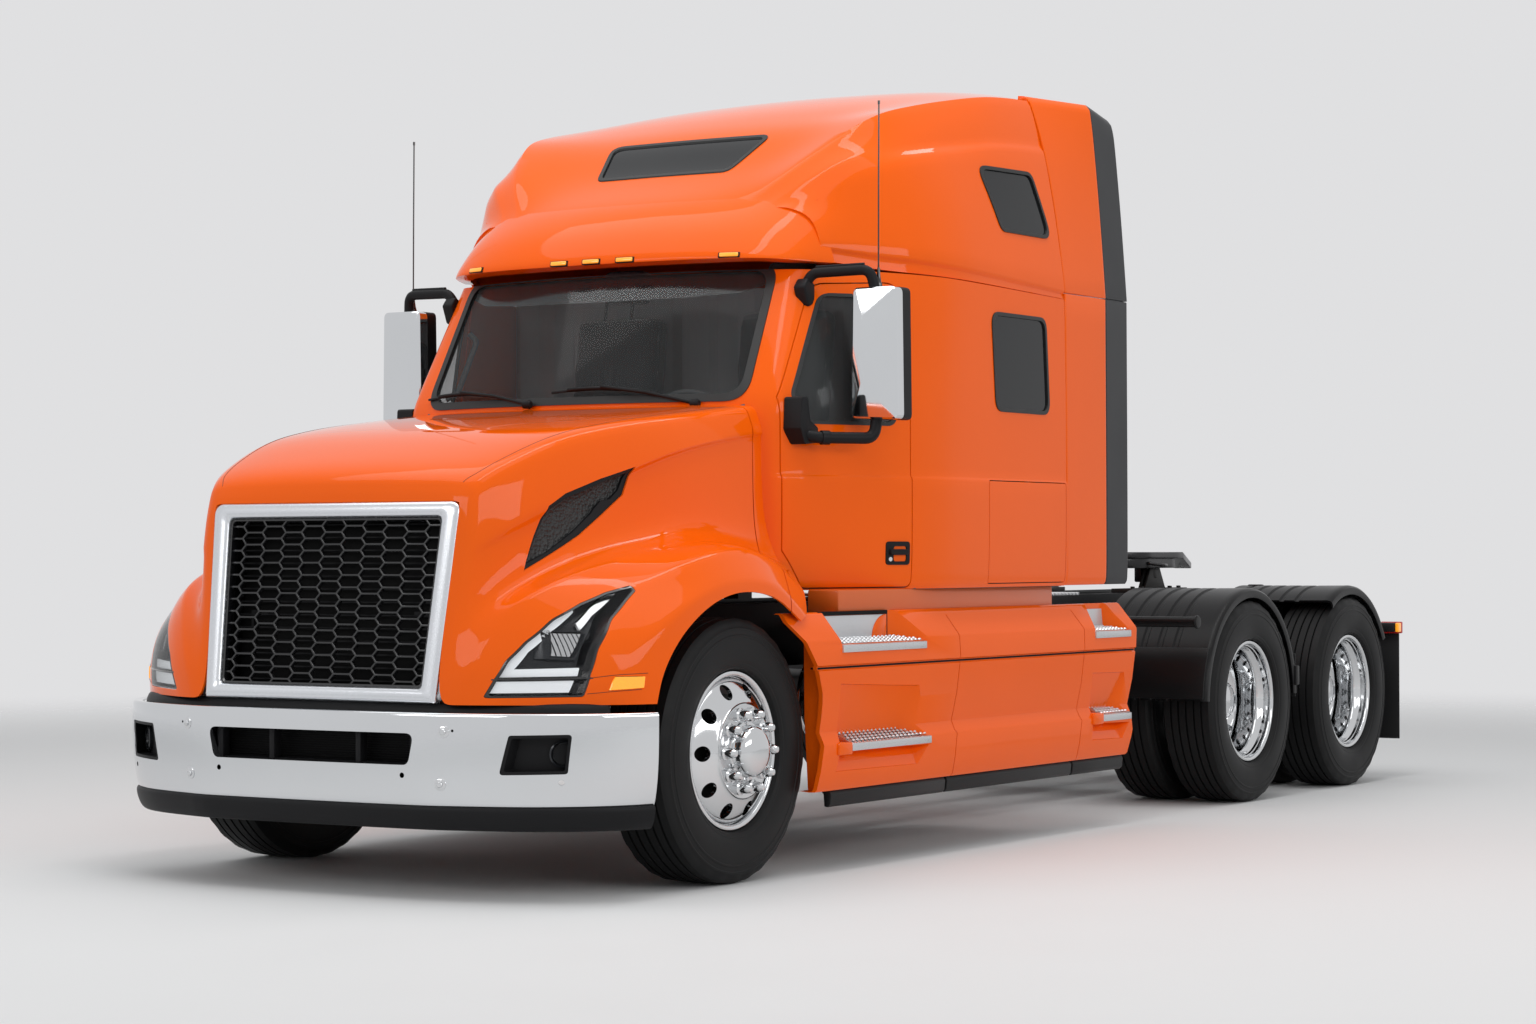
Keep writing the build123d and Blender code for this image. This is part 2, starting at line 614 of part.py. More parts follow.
HOOD_REAR = [(-1000, 1400), (-275, 1400), (-275, 1225), (-565, 860), (-525, 640), (-405, 0)]
NOSE_LOW = (1034, 702)      # x, z of the hood's front face under the grille
NOSE_HIGH = (934, 1430)     # x, z of the same face above it
SURROUND_DEPTH = 30
SURROUND_OUTER = [(545, 702), (588, 1430), (-588, 1430), (-545, 702)]
SURROUND_INNER = [(478, 757), (506, 1374), (-506, 1374), (-478, 757)]
MESH_COLUMNS, MESH_ROWS = 9, 13
MESH_BAR = 7
HEADLAMP_OUTLINE = [(1060, 722), (790, 722), (520, 1125), (560, 1130), (760, 1010), (960, 850)]
VENT_OUTLINE = [(760, 1180), (690, 1380), (560, 1450), (170, 1570), (260, 1440), (420, 1330)]


def nose_front(inset_by, lip):
    """Space ahead of the hood's nose, moved back by inset_by, with the lip over the grille."""
    (x0, z0), (x1, z1) = NOSE_LOW, NOSE_HIGH
    step = [(x1 + lip, z1)] if lip else []
    outline = [(x0, 600), (x0, z0), (x1, z1)] + step + [(x1 - 20, z1 + 70), (700, 1800)]
    return side_prism([(1300, 600)] + [(x - inset_by, z) for x, z in outline] + [(1300, 1800)], -800, 800)


def hood():
    """Tilting hood with both fenders, hollow and open below."""
    filled = hood_solid(0) - nose_front(0, SURROUND_DEPTH)
    hollow = hood_solid(HOOD_WALL) - nose_front(HOOD_WALL, 0)
    hollow += block(-700, -500, -770, 770, 600, 1720)
    body = filled - hollow
    body -= cross_prism(shrink(SURROUND_INNER, -12), 800, 1300)
    body -= across(ARCH_X, GROUND_TO_AXLE, ARCH_RADIUS, -1400, 1400)
    body -= block(-1000, ARCH_X, -1400, 1400, 500, SKIRT_TOP + 2 * PANEL_GAP)
    body -= hood_rear(0)
    for side in (1, -1):
        y0, y1 = sorted((side * 640, side * 1400))
        body -= side_prism(HEADLAMP_OUTLINE, y0, y1)
        y0, y1 = sorted((side * 600, side * 900))
        body -= side_prism(VENT_OUTLINE, y0, y1)
    px, pz = HOOD_PIVOT
    y0, y1 = HINGE_LUG_Y
    lug = block(px, NOSE_LOW[0] - HOOD_WALL + 2, y0, y1, pz - 25, pz + 24) + across(px, pz, 26, y0, y1)
    lug -= across(px, pz, HINGE_PIN_RADIUS + RUN_CLEARANCE, y0 - 1, y1 + 1)
    return body + lug + mirrored(lug)


def hood_rear(gap):
    """Everything behind the hood's rear edge, moved back by gap."""
    half = [(x - gap, y) for x, y in HOOD_REAR]
    full = half + [(x, -y) for x, y in reversed(half[:-1])]
    return plan_prism(full, 500, 2000)


def cowl():
    """Fixed panels between the hood and the cab: scuttle, cowl sides and the fenders' rear ends."""
    ring = hood_solid(0) - hood_solid(HOOD_WALL)
    ring &= hood_rear(2 * PANEL_GAP)
    ring -= block(-2000, -400, -860, 860, 500, 1560)
    ring &= block(-650, 0, -1400, 1400, SKIRT_TOP + PANEL_GAP, 1900)
    ring -= across(ARCH_X, GROUND_TO_AXLE, ARCH_RADIUS, -1400, 1400)
    for side in (1, -1):
        y0, y1 = sorted((side * 700, side * 1400))
        ring -= side_prism(shrink(DOOR_OUTLINE, -1), y0, y1)
    return ring - cab_solid(0)


def inside_hood(cutter, depth, low):
    """Part of the hood's wall within cutter, moved in by low and cut to depth."""
    outer = hood_solid(low) - nose_front(low, 0)
    inner = hood_solid(low + depth) - nose_front(low + depth, 0)
    return (outer - inner) & cutter


def nose_band(back, front):
    """Slanted slab along the hood's front face between two distances ahead of it."""
    (x0, z0), (x1, z1) = NOSE_LOW, NOSE_HIGH
    return side_prism([(x0 + back, z0), (x0 + front, z0), (x1 + front, z1), (x1 + back, z1)], -700, 700)


def grille_surround():
    """Bright frame round the grille opening, on the hood's front face."""
    plate = cross_prism(SURROUND_OUTER, 0, 1300) - cross_prism(SURROUND_INNER, 0, 1300)
    return plate & nose_band(0, SURROUND_DEPTH)


def grille_mesh():
    """Black mesh of the grille with both side vents."""
    (y_low, z_low), (y_high, z_high) = SURROUND_INNER[:2]
    pitch_z = (z_high - z_low) / MESH_ROWS
    pitch_y = 2 * y_high / MESH_COLUMNS
    holes = []
    for row in range(MESH_ROWS):
        shift = pitch_y / 2 if row % 2 else 0
        z = z_low + (row + 0.5) * pitch_z
        edge = y_low + (y_high - y_low) * (row + 0.5) / MESH_ROWS - 2 * MESH_BAR
        for column in range(-1, MESH_COLUMNS):
            y = -y_high + (column + 0.5) * pitch_y + shift
            low = max(y - (pitch_y - MESH_BAR) / 2, -edge)
            high = min(y + (pitch_y - MESH_BAR) / 2, edge)
            if high - low > 4 * MESH_BAR:
                half = (pitch_z - MESH_BAR) / 2
                holes.append(block(800, 1200, low, high, z - half, z + half))
    mesh = cross_prism(SURROUND_INNER, 0, 1300) & nose_band(-6, SURROUND_DEPTH - 8)
    mesh -= holes
    vent = inside_hood(side_prism(shrink(VENT_OUTLINE, SEAT_GAP), 600, 900), 10, 14)
    return [mesh, vent, mirrored(vent)]


def headlamps():
    """Left lamp body set in the fender's nose."""
    lamp = inside_hood(side_prism(shrink(HEADLAMP_OUTLINE, 0.3), 640, 1400), 40, 2)
    return pair(lamp)


# ---------------------------------------------------------------- bumper, skirts and fenders
FOG_OPENING = (805, 1060, 455, 605)     # y0, y1, z0, z1
FOG_FLANGE = 15
BUMPER_PLAN = [(FRONT_OVERHANG, 0), (FRONT_OVERHANG - 12, 480), (FRONT_OVERHANG - 55, 720), (965, 960),
               (830, 1130), (BUMPER_END, 1238)]


def bumper_band(plan, wall, z0, z1):
    """Band that follows the bumper's plan between two heights."""
    outer = plan + [(x, -y) for x, y in reversed(plan) if y]
    shell = [(x - wall, y - (wall if y else 0)) for x, y in plan]
    shell[-1] = (plan[-1][0] - 1, plan[-1][1] - wall)
    inner = shell + [(x, -y) for x, y in reversed(shell) if y]
    return plan_prism(outer, z0, z1) - plan_prism(inner, z0 - 1, z1 + 1)


def bumper():
    """Bright bumper skin with its air slot and lamp openings, on two back plates."""
    body = bumper_band(BUMPER_PLAN, BUMPER_WALL, BUMPER_BOTTOM, BUMPER_TOP)
    body -= rounded_cross(-480, 480, 487, 600, 25, 900, 1300)
    for side in (1, -1):
        y0, y1 = sorted((side * FOG_OPENING[0], side * FOG_OPENING[1]))
        body -= block(700, 1200, y0, y1, *FOG_OPENING[2:])
        y0, y1 = sorted((side * (RAIL_OUTER_Y - RAIL_FLANGE), side * RAIL_OUTER_Y))
        body += block(RAIL_FRONT, FRONT_OVERHANG - 15, y0, y1, *BUMPER_MOUNT)
    return body


def rounded_cross(y0, y1, z0, z1, radius, x0, x1):
    """Rounded rectangle in front view, extruded from x0 to x1."""
    body = block(x0, x1, y0, y1, z0, z1)
    return fillet(body.edges().filter_by(Axis.X), radius)


def air_dam():
    """Black lower edge of the bumper."""
    plan = [(x - 10, y - (14 if y else 0)) for x, y in BUMPER_PLAN]
    return bumper_band(plan, 40, DAM_BOTTOM, BUMPER_BOTTOM)


def fog_lamp():
    """Left fog lamp with its dark bezel filling the bumper's opening."""
    inset_by = BUMPER_WALL + SEAT_GAP
    plan = [(x - inset_by, y - (inset_by if y else 0)) for x, y in BUMPER_PLAN]
    y0, y1, z0, z1 = FOG_OPENING
    rim = FOG_FLANGE
    return bumper_band(plan, 40, z0 - rim, z1 + rim) & block(700, 1200, y0 - rim, y1 + rim, 400, 700)


SKIRT_PROFILE = [(1130, SKIRT_TOP), (1196, SKIRT_TOP), (SKIRT_OUTER_Y, 800), (SKIRT_OUTER_Y - 6, 790),
                 (SKIRT_OUTER_Y - 6, 500), (SKIRT_OUTER_Y, 490), (1200, SKIRT_BOTTOM), (1100, SKIRT_BOTTOM),
                 (1110, 600)]
SKIRT_SIDE = [(-250, SKIRT_TOP), (-250, 900), (-560, SKIRT_BOTTOM), (-3150, SKIRT_BOTTOM),
              (SKIRT_REAR, 790), (SKIRT_REAR, 880), (-3190, SKIRT_TOP), (-1350, SKIRT_TOP), (-1230, 880),
              (-650, 880), (-530, SKIRT_TOP)]
STEPS = [(-1260, -640, 872), (-1320, -640, 486), (-3185, -2840, 872), (-3180, -2840, 486)]
STEP_THICKNESS = 26


def skirt():
    """Left side fairing from the wheel arch to the drive axle, with its step pockets."""
    body = cross_prism(SKIRT_PROFILE, SKIRT_REAR, -200) & side_prism(SKIRT_SIDE, 1000, 1300)
    body -= across(ARCH_X, GROUND_TO_AXLE, ARCH_RADIUS, 900, 1400)
    front, rear = (-1300, -650), (-3175, -2850)
    for x0, x1 in (front, rear):
        body -= block(x0, x1, 1155, 1400, 486, 700)
        body -= block(x0, x1, 1155, 1400, 872, 1100)
    for x0, x1, z in STEPS:
        body -= block(x0, x1, 1130, 1400, z - STEP_THICKNESS, z)
    post = block(-2100, -2040, RAIL_OUTER_Y, 1140, 930, 965)
    post += block(-700, -650, RAIL_OUTER_Y, 1125, 800, 830) + block(-3120, -3070, RAIL_OUTER_Y, 1125, 800, 830)
    return body + post


def step_treads():
    """Aluminium treads of the left side, in their skirt slots."""
    treads = []
    for x0, x1, z in STEPS:
        treads.append(block(x0, x1, 1130, SKIRT_OUTER_Y + 10, z - STEP_THICKNESS, z))
    return treads


def skirt_trim():
    """Flexible black edges under the left skirt."""
    pieces = []
    for x0, x1 in ((-1535, -585), (-2625, -1550), (-3150, -2640)):
        pieces.append(cross_prism([(1200, SKIRT_BOTTOM), (1192, TRIM_BOTTOM), (1160, TRIM_BOTTOM),
                                   (1150, SKIRT_BOTTOM)], x0, x1))
    return pieces


FENDER_RADIUS = 562
FENDER_INNER_Y = 580
FENDER_WALL = 12


def drive_fender(x, start, end):
    """Left curved fender over a dual pair, from start to end degrees above the front horizon."""
    y0, y1 = FENDER_INNER_Y, 1215
    ring = across(x, GROUND_TO_AXLE, FENDER_RADIUS, y0, y1) - across(x, GROUND_TO_AXLE, FENDER_RADIUS - FENDER_WALL, y0 - 1, y1 + 1)
    lip = across(x, GROUND_TO_AXLE, FENDER_RADIUS, y1 - 12, y1) - across(x, GROUND_TO_AXLE, FENDER_RADIUS - 40, y1 - 20, y1 + 1)
    reach = FENDER_RADIUS * 3
    wedge = [(x, GROUND_TO_AXLE)]
    steps = 12
    for i in range(steps + 1):
        a = math.radians(start + (end - start) * i / steps)
        wedge.append((x + reach * math.cos(a), GROUND_TO_AXLE + reach * math.sin(a)))
    arc = (ring + lip) & side_prism(wedge, y0 - 5, y1 + 5)
    post_angle = math.radians(100)
    px = x + (FENDER_RADIUS - 8) * math.cos(post_angle)
    post = block(px - 25, px + 25, RAIL_OUTER_Y, y0 + 60, RAIL_TOP - 18, RAIL_TOP + 16)
    return arc + post


def drive_fenders():
    """Fenders of the left dual pairs."""
    first, second = DRIVE_AXLE_X
    return [drive_fender(first, 4, 176), drive_fender(second, 62, 150)]


FLAP_THICKNESS = 14
FLAP_OUTER_Y = 1215
HANGER_DEPTH = 60
TAIL_MEMBER_INSET = 20
FLAP_REACH = 90             # frame end to the flap's rear face


def tail_end():
    """Rear end of the frame rails."""
    return -(AXLE_TO_DRIVE + TANDEM_SPREAD + TAIL_OVERHANG) + FLAP_REACH


def mudflap():
    """Left flap on its hanger at the tail."""
    x = -(AXLE_TO_DRIVE + TANDEM_SPREAD + TAIL_OVERHANG)
    arm_x = x + FLAP_THICKNESS + SEAT_GAP
    inner = RAIL_OUTER_Y - RAIL_FLANGE
    arm = block(arm_x, arm_x + HANGER_DEPTH, inner, FLAP_OUTER_Y, 800, 850)
    arm += block(arm_x, tail_end() + TAIL_MEMBER_INSET - SEAT_GAP, inner, RAIL_OUTER_Y - 2 * RAIL_WEB, 800, 900)
    flap = block(x, x + FLAP_THICKNESS, 600, FLAP_OUTER_Y, 212, 850)
    return [arm, flap]


def tail_lamp():
    """Left lamp block on the tail hanger."""
    x = -(AXLE_TO_DRIVE + TANDEM_SPREAD + TAIL_OVERHANG) + FLAP_THICKNESS + SEAT_GAP
    front, side = x + HANGER_DEPTH + SEAT_GAP, FLAP_OUTER_Y + SEAT_GAP
    lamp = block(x, front, side, side + 22, 785, 858) + block(front, front + 20, 1110, side + 22, 785, 858)
    return lamp


# ---------------------------------------------------------------- coupling and deck
PLATE_X = -5240
PLATE_PIVOT_Z = 1128
PLATE_TOP = 1242
PLATE_THICKNESS = 36
PIVOT_RADIUS = 26
PLATE_RADIUS = 480
LOCK_RADIUS = 25.7          # closed jaws round a two-inch kingpin
JAW_WIDTH = 36


def fifth_wheel_base():
    """Pedestals on the rails with the pivot pins of the coupling plate."""
    foot = block(PLATE_X - 330, PLATE_X + 330, 300, RAIL_OUTER_Y, RAIL_TOP, RAIL_TOP + 22)
    ear = side_prism([(PLATE_X - 120, RAIL_TOP + 20), (PLATE_X + 120, RAIL_TOP + 20),
                      (PLATE_X + 45, PLATE_PIVOT_Z + 42), (PLATE_X - 45, PLATE_PIVOT_Z + 42)], 352, 400)
    pin = across(PLATE_X, PLATE_PIVOT_Z, PIVOT_RADIUS, 302, 400)
    return pair(foot + ear + pin)


def fifth_wheel_plate():
    """Coupling plate with its kingpin slot and the lugs that sit on the pivot pins."""
    low = PLATE_TOP - PLATE_THICKNESS
    disc = rod((PLATE_X, 0, low), (PLATE_X, 0, PLATE_TOP), PLATE_RADIUS)
    disc &= block(PLATE_X - 470, PLATE_X + 480, -445, 445, low - 5, PLATE_TOP + 5)
    tail = plan_prism([(PLATE_X - 250, -440), (PLATE_X - 250, 440), (PLATE_X - 600, 330), (PLATE_X - 600, -330)],
                      low - 1, PLATE_TOP - 2)
    plate = disc + tail
    plate -= rod((PLATE_X, 0, low - 5), (PLATE_X, 0, PLATE_TOP + 5), LOCK_RADIUS)
    throat = PLATE_X - LOCK_RADIUS - JAW_WIDTH
    plate -= plan_prism([(throat, -30), (throat, 30), (PLATE_X - 260, 70), (PLATE_X - 650, 240),
                         (PLATE_X - 650, -240), (PLATE_X - 260, -70)], low - 5, PLATE_TOP + 5)
    lug = block(PLATE_X - 60, PLATE_X + 60, 300, 346, PLATE_PIVOT_Z - 45, low + 4)
    lug -= across(PLATE_X, PLATE_PIVOT_Z, PIVOT_RADIUS + RUN_CLEARANCE, 290, 350)
    return plate + lug + mirrored(lug)


def deck_plate():
    """Walkway over the rails behind the cab."""
    x0, x1 = -3950, -3000
    plate = block(x0, x1, -600, 600, RAIL_TOP, RAIL_TOP + 14)
    for x in range(int(x0) + 80, int(x1) - 60, 110):
        for y in (-480, -240, 0, 240):
            plate -= block(x, x + 60, y, y + 220, RAIL_TOP - 1, RAIL_TOP + 20)
    return plate


# ---------------------------------------------------------------- inside the cab
def seat(y):
    """Cushion, back and pedestal of one seat."""
    x, z = -1150, SILL + FLOOR
    foot = block(x - 170, x + 170, y - 150, y + 150, z, z + 290)
    cushion = block(x - 250, x + 250, y - 250, y + 250, z + 285, z + 410)
    back = side_prism([(x - 250, z + 400), (x - 150, z + 400), (x - 270, z + 1000), (x - 370, z + 1000)], y - 240, y + 240)
    return foot + cushion + back


def dashboard():
    """Instrument panel across the cab."""
    shape = side_prism([(-500, 1560), (-500, 1760), (-650, 1790), (-760, 1790), (-850, 1680), (-850, 1560)], -860, 860)
    foot = block(-640, -600, -300, 300, SILL + FLOOR, 1565)
    return (shape + foot) & cab_solid(WALL)


def steering_wheel():
    """Wheel on its column, in front of the left seat."""
    centre = Vector(-885, 430, 1745)
    tilt = Plane(origin=centre, z_dir=(0.72, 0, -0.69))
    ring = tilt * Torus(215, 16)
    hub = extrude(tilt * Circle(50), amount=30, both=True)
    spoke = tilt * Box(420, 40, 16)
    column = extrude(tilt * Circle(28), amount=120)
    return ring + hub + spoke + column - dashboard()


def bunk():
    """Lower bed across the sleeper with its base."""
    return block(SLEEPER_BACK + WALL, -1790, -1150, 1150, SILL + FLOOR, 1600)


# ---------------------------------------------------------------- mirrors
MIRROR_X = -925             # front of the head
MIRROR_DEPTH = 95
MIRROR_Y = (1095, 1310)
MIRROR_Z = (1772, 2305)
MIRROR_ARM = 22
WHIP_TOP = 3060
WHIP_RADIUS = 5


def mirror_assembly():
    """Left mirror: two arms from the door, the head and the radio whip."""
    x, (y0, y1), (z0, z1) = MIRROR_X, MIRROR_Y, MIRROR_Z
    body = fillet(block(x - MIRROR_DEPTH, x, y0, y1, z0, z1).edges().filter_by(Axis.X), 26)
    mid_x, mid_y = x - MIRROR_DEPTH / 2, (y0 + y1) / 2
    upper = [(-985, 900, 2300), (mid_x, 985, 2368), (mid_x, mid_y, 2372), (mid_x, mid_y, z1 - 20)]
    lower = [(-720, 925, 1760), (-735, 990, 1712), (mid_x, mid_y, 1712), (mid_x, mid_y, z0 + 20)]
    for path in (upper, lower):
        for a, b in zip(path, path[1:]):
            body += rod(a, b, MIRROR_ARM)
        for p in path[1:-1]:
            body += Location(p) * Sphere(MIRROR_ARM)
    body += rod((mid_x, mid_y - 30, 2368), (mid_x, mid_y - 30, WHIP_TOP), WHIP_RADIUS)
    body -= cab_solid(0)
    return max(body.solids(), key=lambda solid: solid.volume)


# ---------------------------------------------------------------- write every node
def build_nodes():
    """All nodes by name, in the axle frame."""
    walls = cab_walls()
    roof = roof_solid(0)
    fairing_low, fairing_high = side_fairing(SLEEPER_BACK, FAIRING_END, 60)
    extender_low, extender_high = side_fairing(FAIRING_END, EXTENDER_END, 45)
    sleeper_cut = rounded_side(*SLEEPER_WINDOW, WINDOW_CORNER, 700, 1400)
    left_door, left_glass = door(), door_glass(walls)
    left_mirror = mirror_assembly()
    nodes = {
        "frame": frame(),
        "front_springs": front_springs(),
        "front_axle": front_axle(),
        "drive_axles": [drive_axle(x) for x in DRIVE_AXLE_X],
        "rear_suspension": [s for x in DRIVE_AXLE_X for s in pair(rear_suspension(x))],
        "driveshafts": driveshafts(),
        "engine": engine(),
        "radiator": radiator(),
        "fuel_tanks": pair(fuel_tank()),
        "cab_shell": cab_shell(walls),
        "windscreen": windscreen(walls),
        "sleeper_windows": pair(pane(walls, sleeper_cut)),
        "roof_fairing": roof_fairing(roof),
        "roof_windows": roof_glass(roof),
        "side_fairings": pair(fairing_low) + pair(fairing_high),
        "side_extenders": pair(extender_low) + pair(extender_high),
        "bumper": bumper(),
        "air_dam": air_dam(),
        "fog_lamps": pair(fog_lamp()),
        "side_skirts": pair(skirt()),
        "step_treads": [s for t in step_treads() for s in pair(t)],
        "skirt_trim": [s for t in skirt_trim() for s in pair(t)],
        "drive_fenders": [s for f in drive_fenders() for s in pair(f)],
        "mudflaps": [s for piece in mudflap() for s in pair(piece)],
        "tail_lamps": pair(tail_lamp()),
        "fifth_wheel_base": fifth_wheel_base(),
        "fifth_wheel_plate": fifth_wheel_plate(),
        "deck_plate": deck_plate(),
        "seats": [seat(430), seat(-430)],
        "dashboard": dashboard(),
        "steering_wheel": steering_wheel(),
        "bunk": bunk(),
        "cowl": cowl(),
        "hood": hood(),
        "grille_surround": grille_surround(),
        "grille_mesh": grille_mesh(),
        "headlamps": headlamps(),
        "door_left": left_door,
        "door_right": mirrored(left_door),
        "door_glass_left": left_glass,
        "door_glass_right": mirrored(left_glass),
        "mirror_left": left_mirror,
        "mirror_right": mirrored(left_mirror),
        "knuckle_left": knuckle(),
        "knuckle_right": mirrored(knuckle()),
        "steer_rim_left": steer_rim(),
        "steer_rim_right": mirrored(steer_rim()),
        "steer_tyre_left": tyre(0, STEER_TYRE_Y),
        "steer_tyre_right": mirrored(tyre(0, STEER_TYRE_Y)),
    }
    for name, x in zip(("front", "rear"), DRIVE_AXLE_X):
        rims, tyres = dual_rims(x), dual_tyres(x)
        nodes[f"{name}_drive_rims_left"] = rims
        nodes[f"{name}_drive_rims_right"] = mirrored(rims)
        nodes[f"{name}_drive_tyres_left"] = tyres
        nodes[f"{name}_drive_tyres_right"] = [mirrored(t) for t in tyres]
    return nodes


def write_nodes(nodes, folder="parts"):
    """Writes each node as one STEP file in the row's frame."""
    length = FRONT_OVERHANG + AXLE_TO_DRIVE + TANDEM_SPREAD + TAIL_OVERHANG
    to_row = Location((length / 2 - FRONT_OVERHANG, 0, 0))
    os.makedirs(folder, exist_ok=True)
    for name, shape in nodes.items():
        shapes = shape if isinstance(shape, list) else [shape]
        solids = [to_row * solid for item in shapes for solid in item.solids()]
        part = solids[0] if len(solids) == 1 else Compound(children=solids)
        export_step(part, f"{folder}/{name}.step")


if __name__ == "__main__":
    write_nodes(build_nodes())
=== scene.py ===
"""Semi truck tractor unit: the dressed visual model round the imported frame."""
import logging
import math
from collections.abc import Callable, Sequence
from dataclasses import dataclass, field
from enum import Enum

import bpy
from mathutils import Matrix, Vector


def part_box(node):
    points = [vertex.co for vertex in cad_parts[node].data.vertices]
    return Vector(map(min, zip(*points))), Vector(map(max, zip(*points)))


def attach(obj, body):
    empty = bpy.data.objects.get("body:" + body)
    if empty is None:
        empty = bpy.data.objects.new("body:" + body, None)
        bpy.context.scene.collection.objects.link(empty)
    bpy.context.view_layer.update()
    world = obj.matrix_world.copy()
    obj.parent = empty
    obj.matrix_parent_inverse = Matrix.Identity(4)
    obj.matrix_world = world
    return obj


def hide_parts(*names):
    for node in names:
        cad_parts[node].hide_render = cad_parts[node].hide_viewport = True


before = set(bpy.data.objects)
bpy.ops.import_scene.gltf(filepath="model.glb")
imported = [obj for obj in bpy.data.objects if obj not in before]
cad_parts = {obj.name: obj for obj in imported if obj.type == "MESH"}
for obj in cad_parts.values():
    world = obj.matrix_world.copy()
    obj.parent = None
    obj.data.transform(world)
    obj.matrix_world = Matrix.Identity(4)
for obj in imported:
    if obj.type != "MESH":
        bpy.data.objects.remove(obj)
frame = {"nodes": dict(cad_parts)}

LOG = logging.getLogger("truck")
Point = tuple[float, float, float]
Flat = tuple[float, float]


# ------------------------------------------------------------------ modelling helpers
def select_only(obj: bpy.types.Object) -> None:
    """Makes obj the one selected and active object."""
    if bpy.context.object and bpy.context.object.mode != "OBJECT":
        bpy.ops.object.mode_set(mode="OBJECT")
    bpy.ops.object.select_all(action="DESELECT")
    obj.select_set(True)
    bpy.context.view_layer.objects.active = obj


def in_edit(obj: bpy.types.Object, *steps: Callable[[], object], select: str = "SELECT") -> None:
    """Runs operators on a mesh in edit mode.

    Args:
        obj: The mesh object.
        steps: Operators to call, in order.
        select: What to do with the selection first: SELECT, DESELECT or KEEP.
    """
    select_only(obj)
    bpy.ops.object.mode_set(mode="EDIT")
    if select != "KEEP":
        bpy.ops.mesh.select_mode(type="VERT")
        bpy.ops.mesh.select_all(action=select)
    for step in steps:
        step()
    bpy.ops.object.mode_set(mode="OBJECT")


def pick(obj: bpy.types.Object, test: Callable[[Vector], bool], kind: str = "FACE") -> None:
    """Selects the faces, edges or vertices whose middle passes the test."""
    select_only(obj)
    mesh = obj.data
    bpy.ops.object.mode_set(mode="EDIT")
    bpy.ops.mesh.select_mode(type=kind)
    bpy.ops.mesh.select_all(action="DESELECT")
    bpy.ops.object.mode_set(mode="OBJECT")
    if kind == "FACE":
        for face in mesh.polygons:
            face.select = test(face.center)
    elif kind == "EDGE":
        for edge in mesh.edges:
            a, b = (mesh.vertices[i].co for i in edge.vertices)
            edge.select = test((a + b) / 2)
    else:
        for vertex in mesh.vertices:
            vertex.select = test(vertex.co)


def apply_modifier(obj: bpy.types.Object, kind: str, **settings: object) -> None:
    """Adds a modifier with its settings and applies it."""
    select_only(obj)
    modifier = obj.modifiers.new(kind.lower(), kind)
    for name, value in settings.items():
        setattr(modifier, name, value)
    bpy.ops.object.modifier_apply(modifier=modifier.name)


def outward(obj: bpy.types.Object) -> None:
    """Merges doubles and turns every face outwards."""
    in_edit(obj,
            lambda: bpy.ops.mesh.remove_doubles(threshold=0.00005),
            lambda: bpy.ops.mesh.normals_make_consistent(inside=False))


def smooth(obj: bpy.types.Object, degrees: float = 35.0) -> None:
    """Shades the mesh smooth, with edges sharper than the angle left hard."""
    select_only(obj)
    bpy.ops.object.shade_smooth_by_angle(angle=math.radians(degrees))


def loop(name: str, points: Sequence[Sequence[float]], fill: bool = False) -> bpy.types.Object:
    """Closed loop of edges through the points, started from a circle.

    Args:
        name: Name of the new object.
        points: The loop's points, in order.
        fill: True to close it with a face.

    Returns:
        The mesh object.
    """
    bpy.ops.object.select_all(action="DESELECT")
    bpy.ops.mesh.primitive_circle_add(vertices=len(points), fill_type="NGON" if fill else "NOTHING")
    obj = bpy.context.object
    obj.name = obj.data.name = name
    for vertex, point in zip(obj.data.vertices, points):
        vertex.co = point
    obj.data.update()
    return obj


def prism(name: str, points: Sequence[Sequence[float]], along: Sequence[float], bevel: float = 0.0,
          segments: int = 2) -> bpy.types.Object:
    """Flat outline extruded along a vector, with its edges rounded.

    Args:
        name: Name of the new object.
        points: Outline of the first face.
        along: Vector to the second face.
        bevel: Radius of the rounded edges.
        segments: Facets over each rounded edge.

    Returns:
        The closed mesh object.
    """
    obj = loop(name, points, fill=True)
    in_edit(obj, lambda: bpy.ops.mesh.extrude_region_move(TRANSFORM_OT_translate={"value": tuple(along)}))
    outward(obj)
    if bevel > 0:
        apply_modifier(obj, "BEVEL", width=bevel, segments=segments, limit_method="ANGLE",
                       angle_limit=math.radians(25), use_clamp_overlap=True)
    smooth(obj)
    return obj


def side_outline(points: Sequence[Flat], y: float) -> list[Point]:
    """(x, z) points as 3-D points at one y."""
    return [(x, y, z) for x, z in points]


def front_outline(points: Sequence[Flat], x: float) -> list[Point]:
    """(y, z) points as 3-D points at one x."""
    return [(x, y, z) for y, z in points]


def plan_outline(points: Sequence[Flat], z: float) -> list[Point]:
    """(x, y) points as 3-D points at one z."""
    return [(x, y, z) for x, y in points]


def bar(name: str, low: Point, high: Point, bevel: float = 0.004, segments: int = 2) -> bpy.types.Object:
    """Rounded rectangular bar between two corners, started from a cube."""
    bpy.ops.object.select_all(action="DESELECT")
    middle = [(a + b) / 2 for a, b in zip(low, high)]
    bpy.ops.mesh.primitive_cube_add(size=1, location=middle, scale=[abs(b - a) for a, b in zip(low, high)])
    obj = bpy.context.object
    obj.name = obj.data.name = name
    bpy.ops.object.transform_apply(location=True, rotation=True, scale=True)
    if bevel > 0:
        in_edit(obj, lambda: bpy.ops.mesh.bevel(offset=bevel, segments=segments, profile=0.5, affect="EDGES"))
    smooth(obj)
    return obj


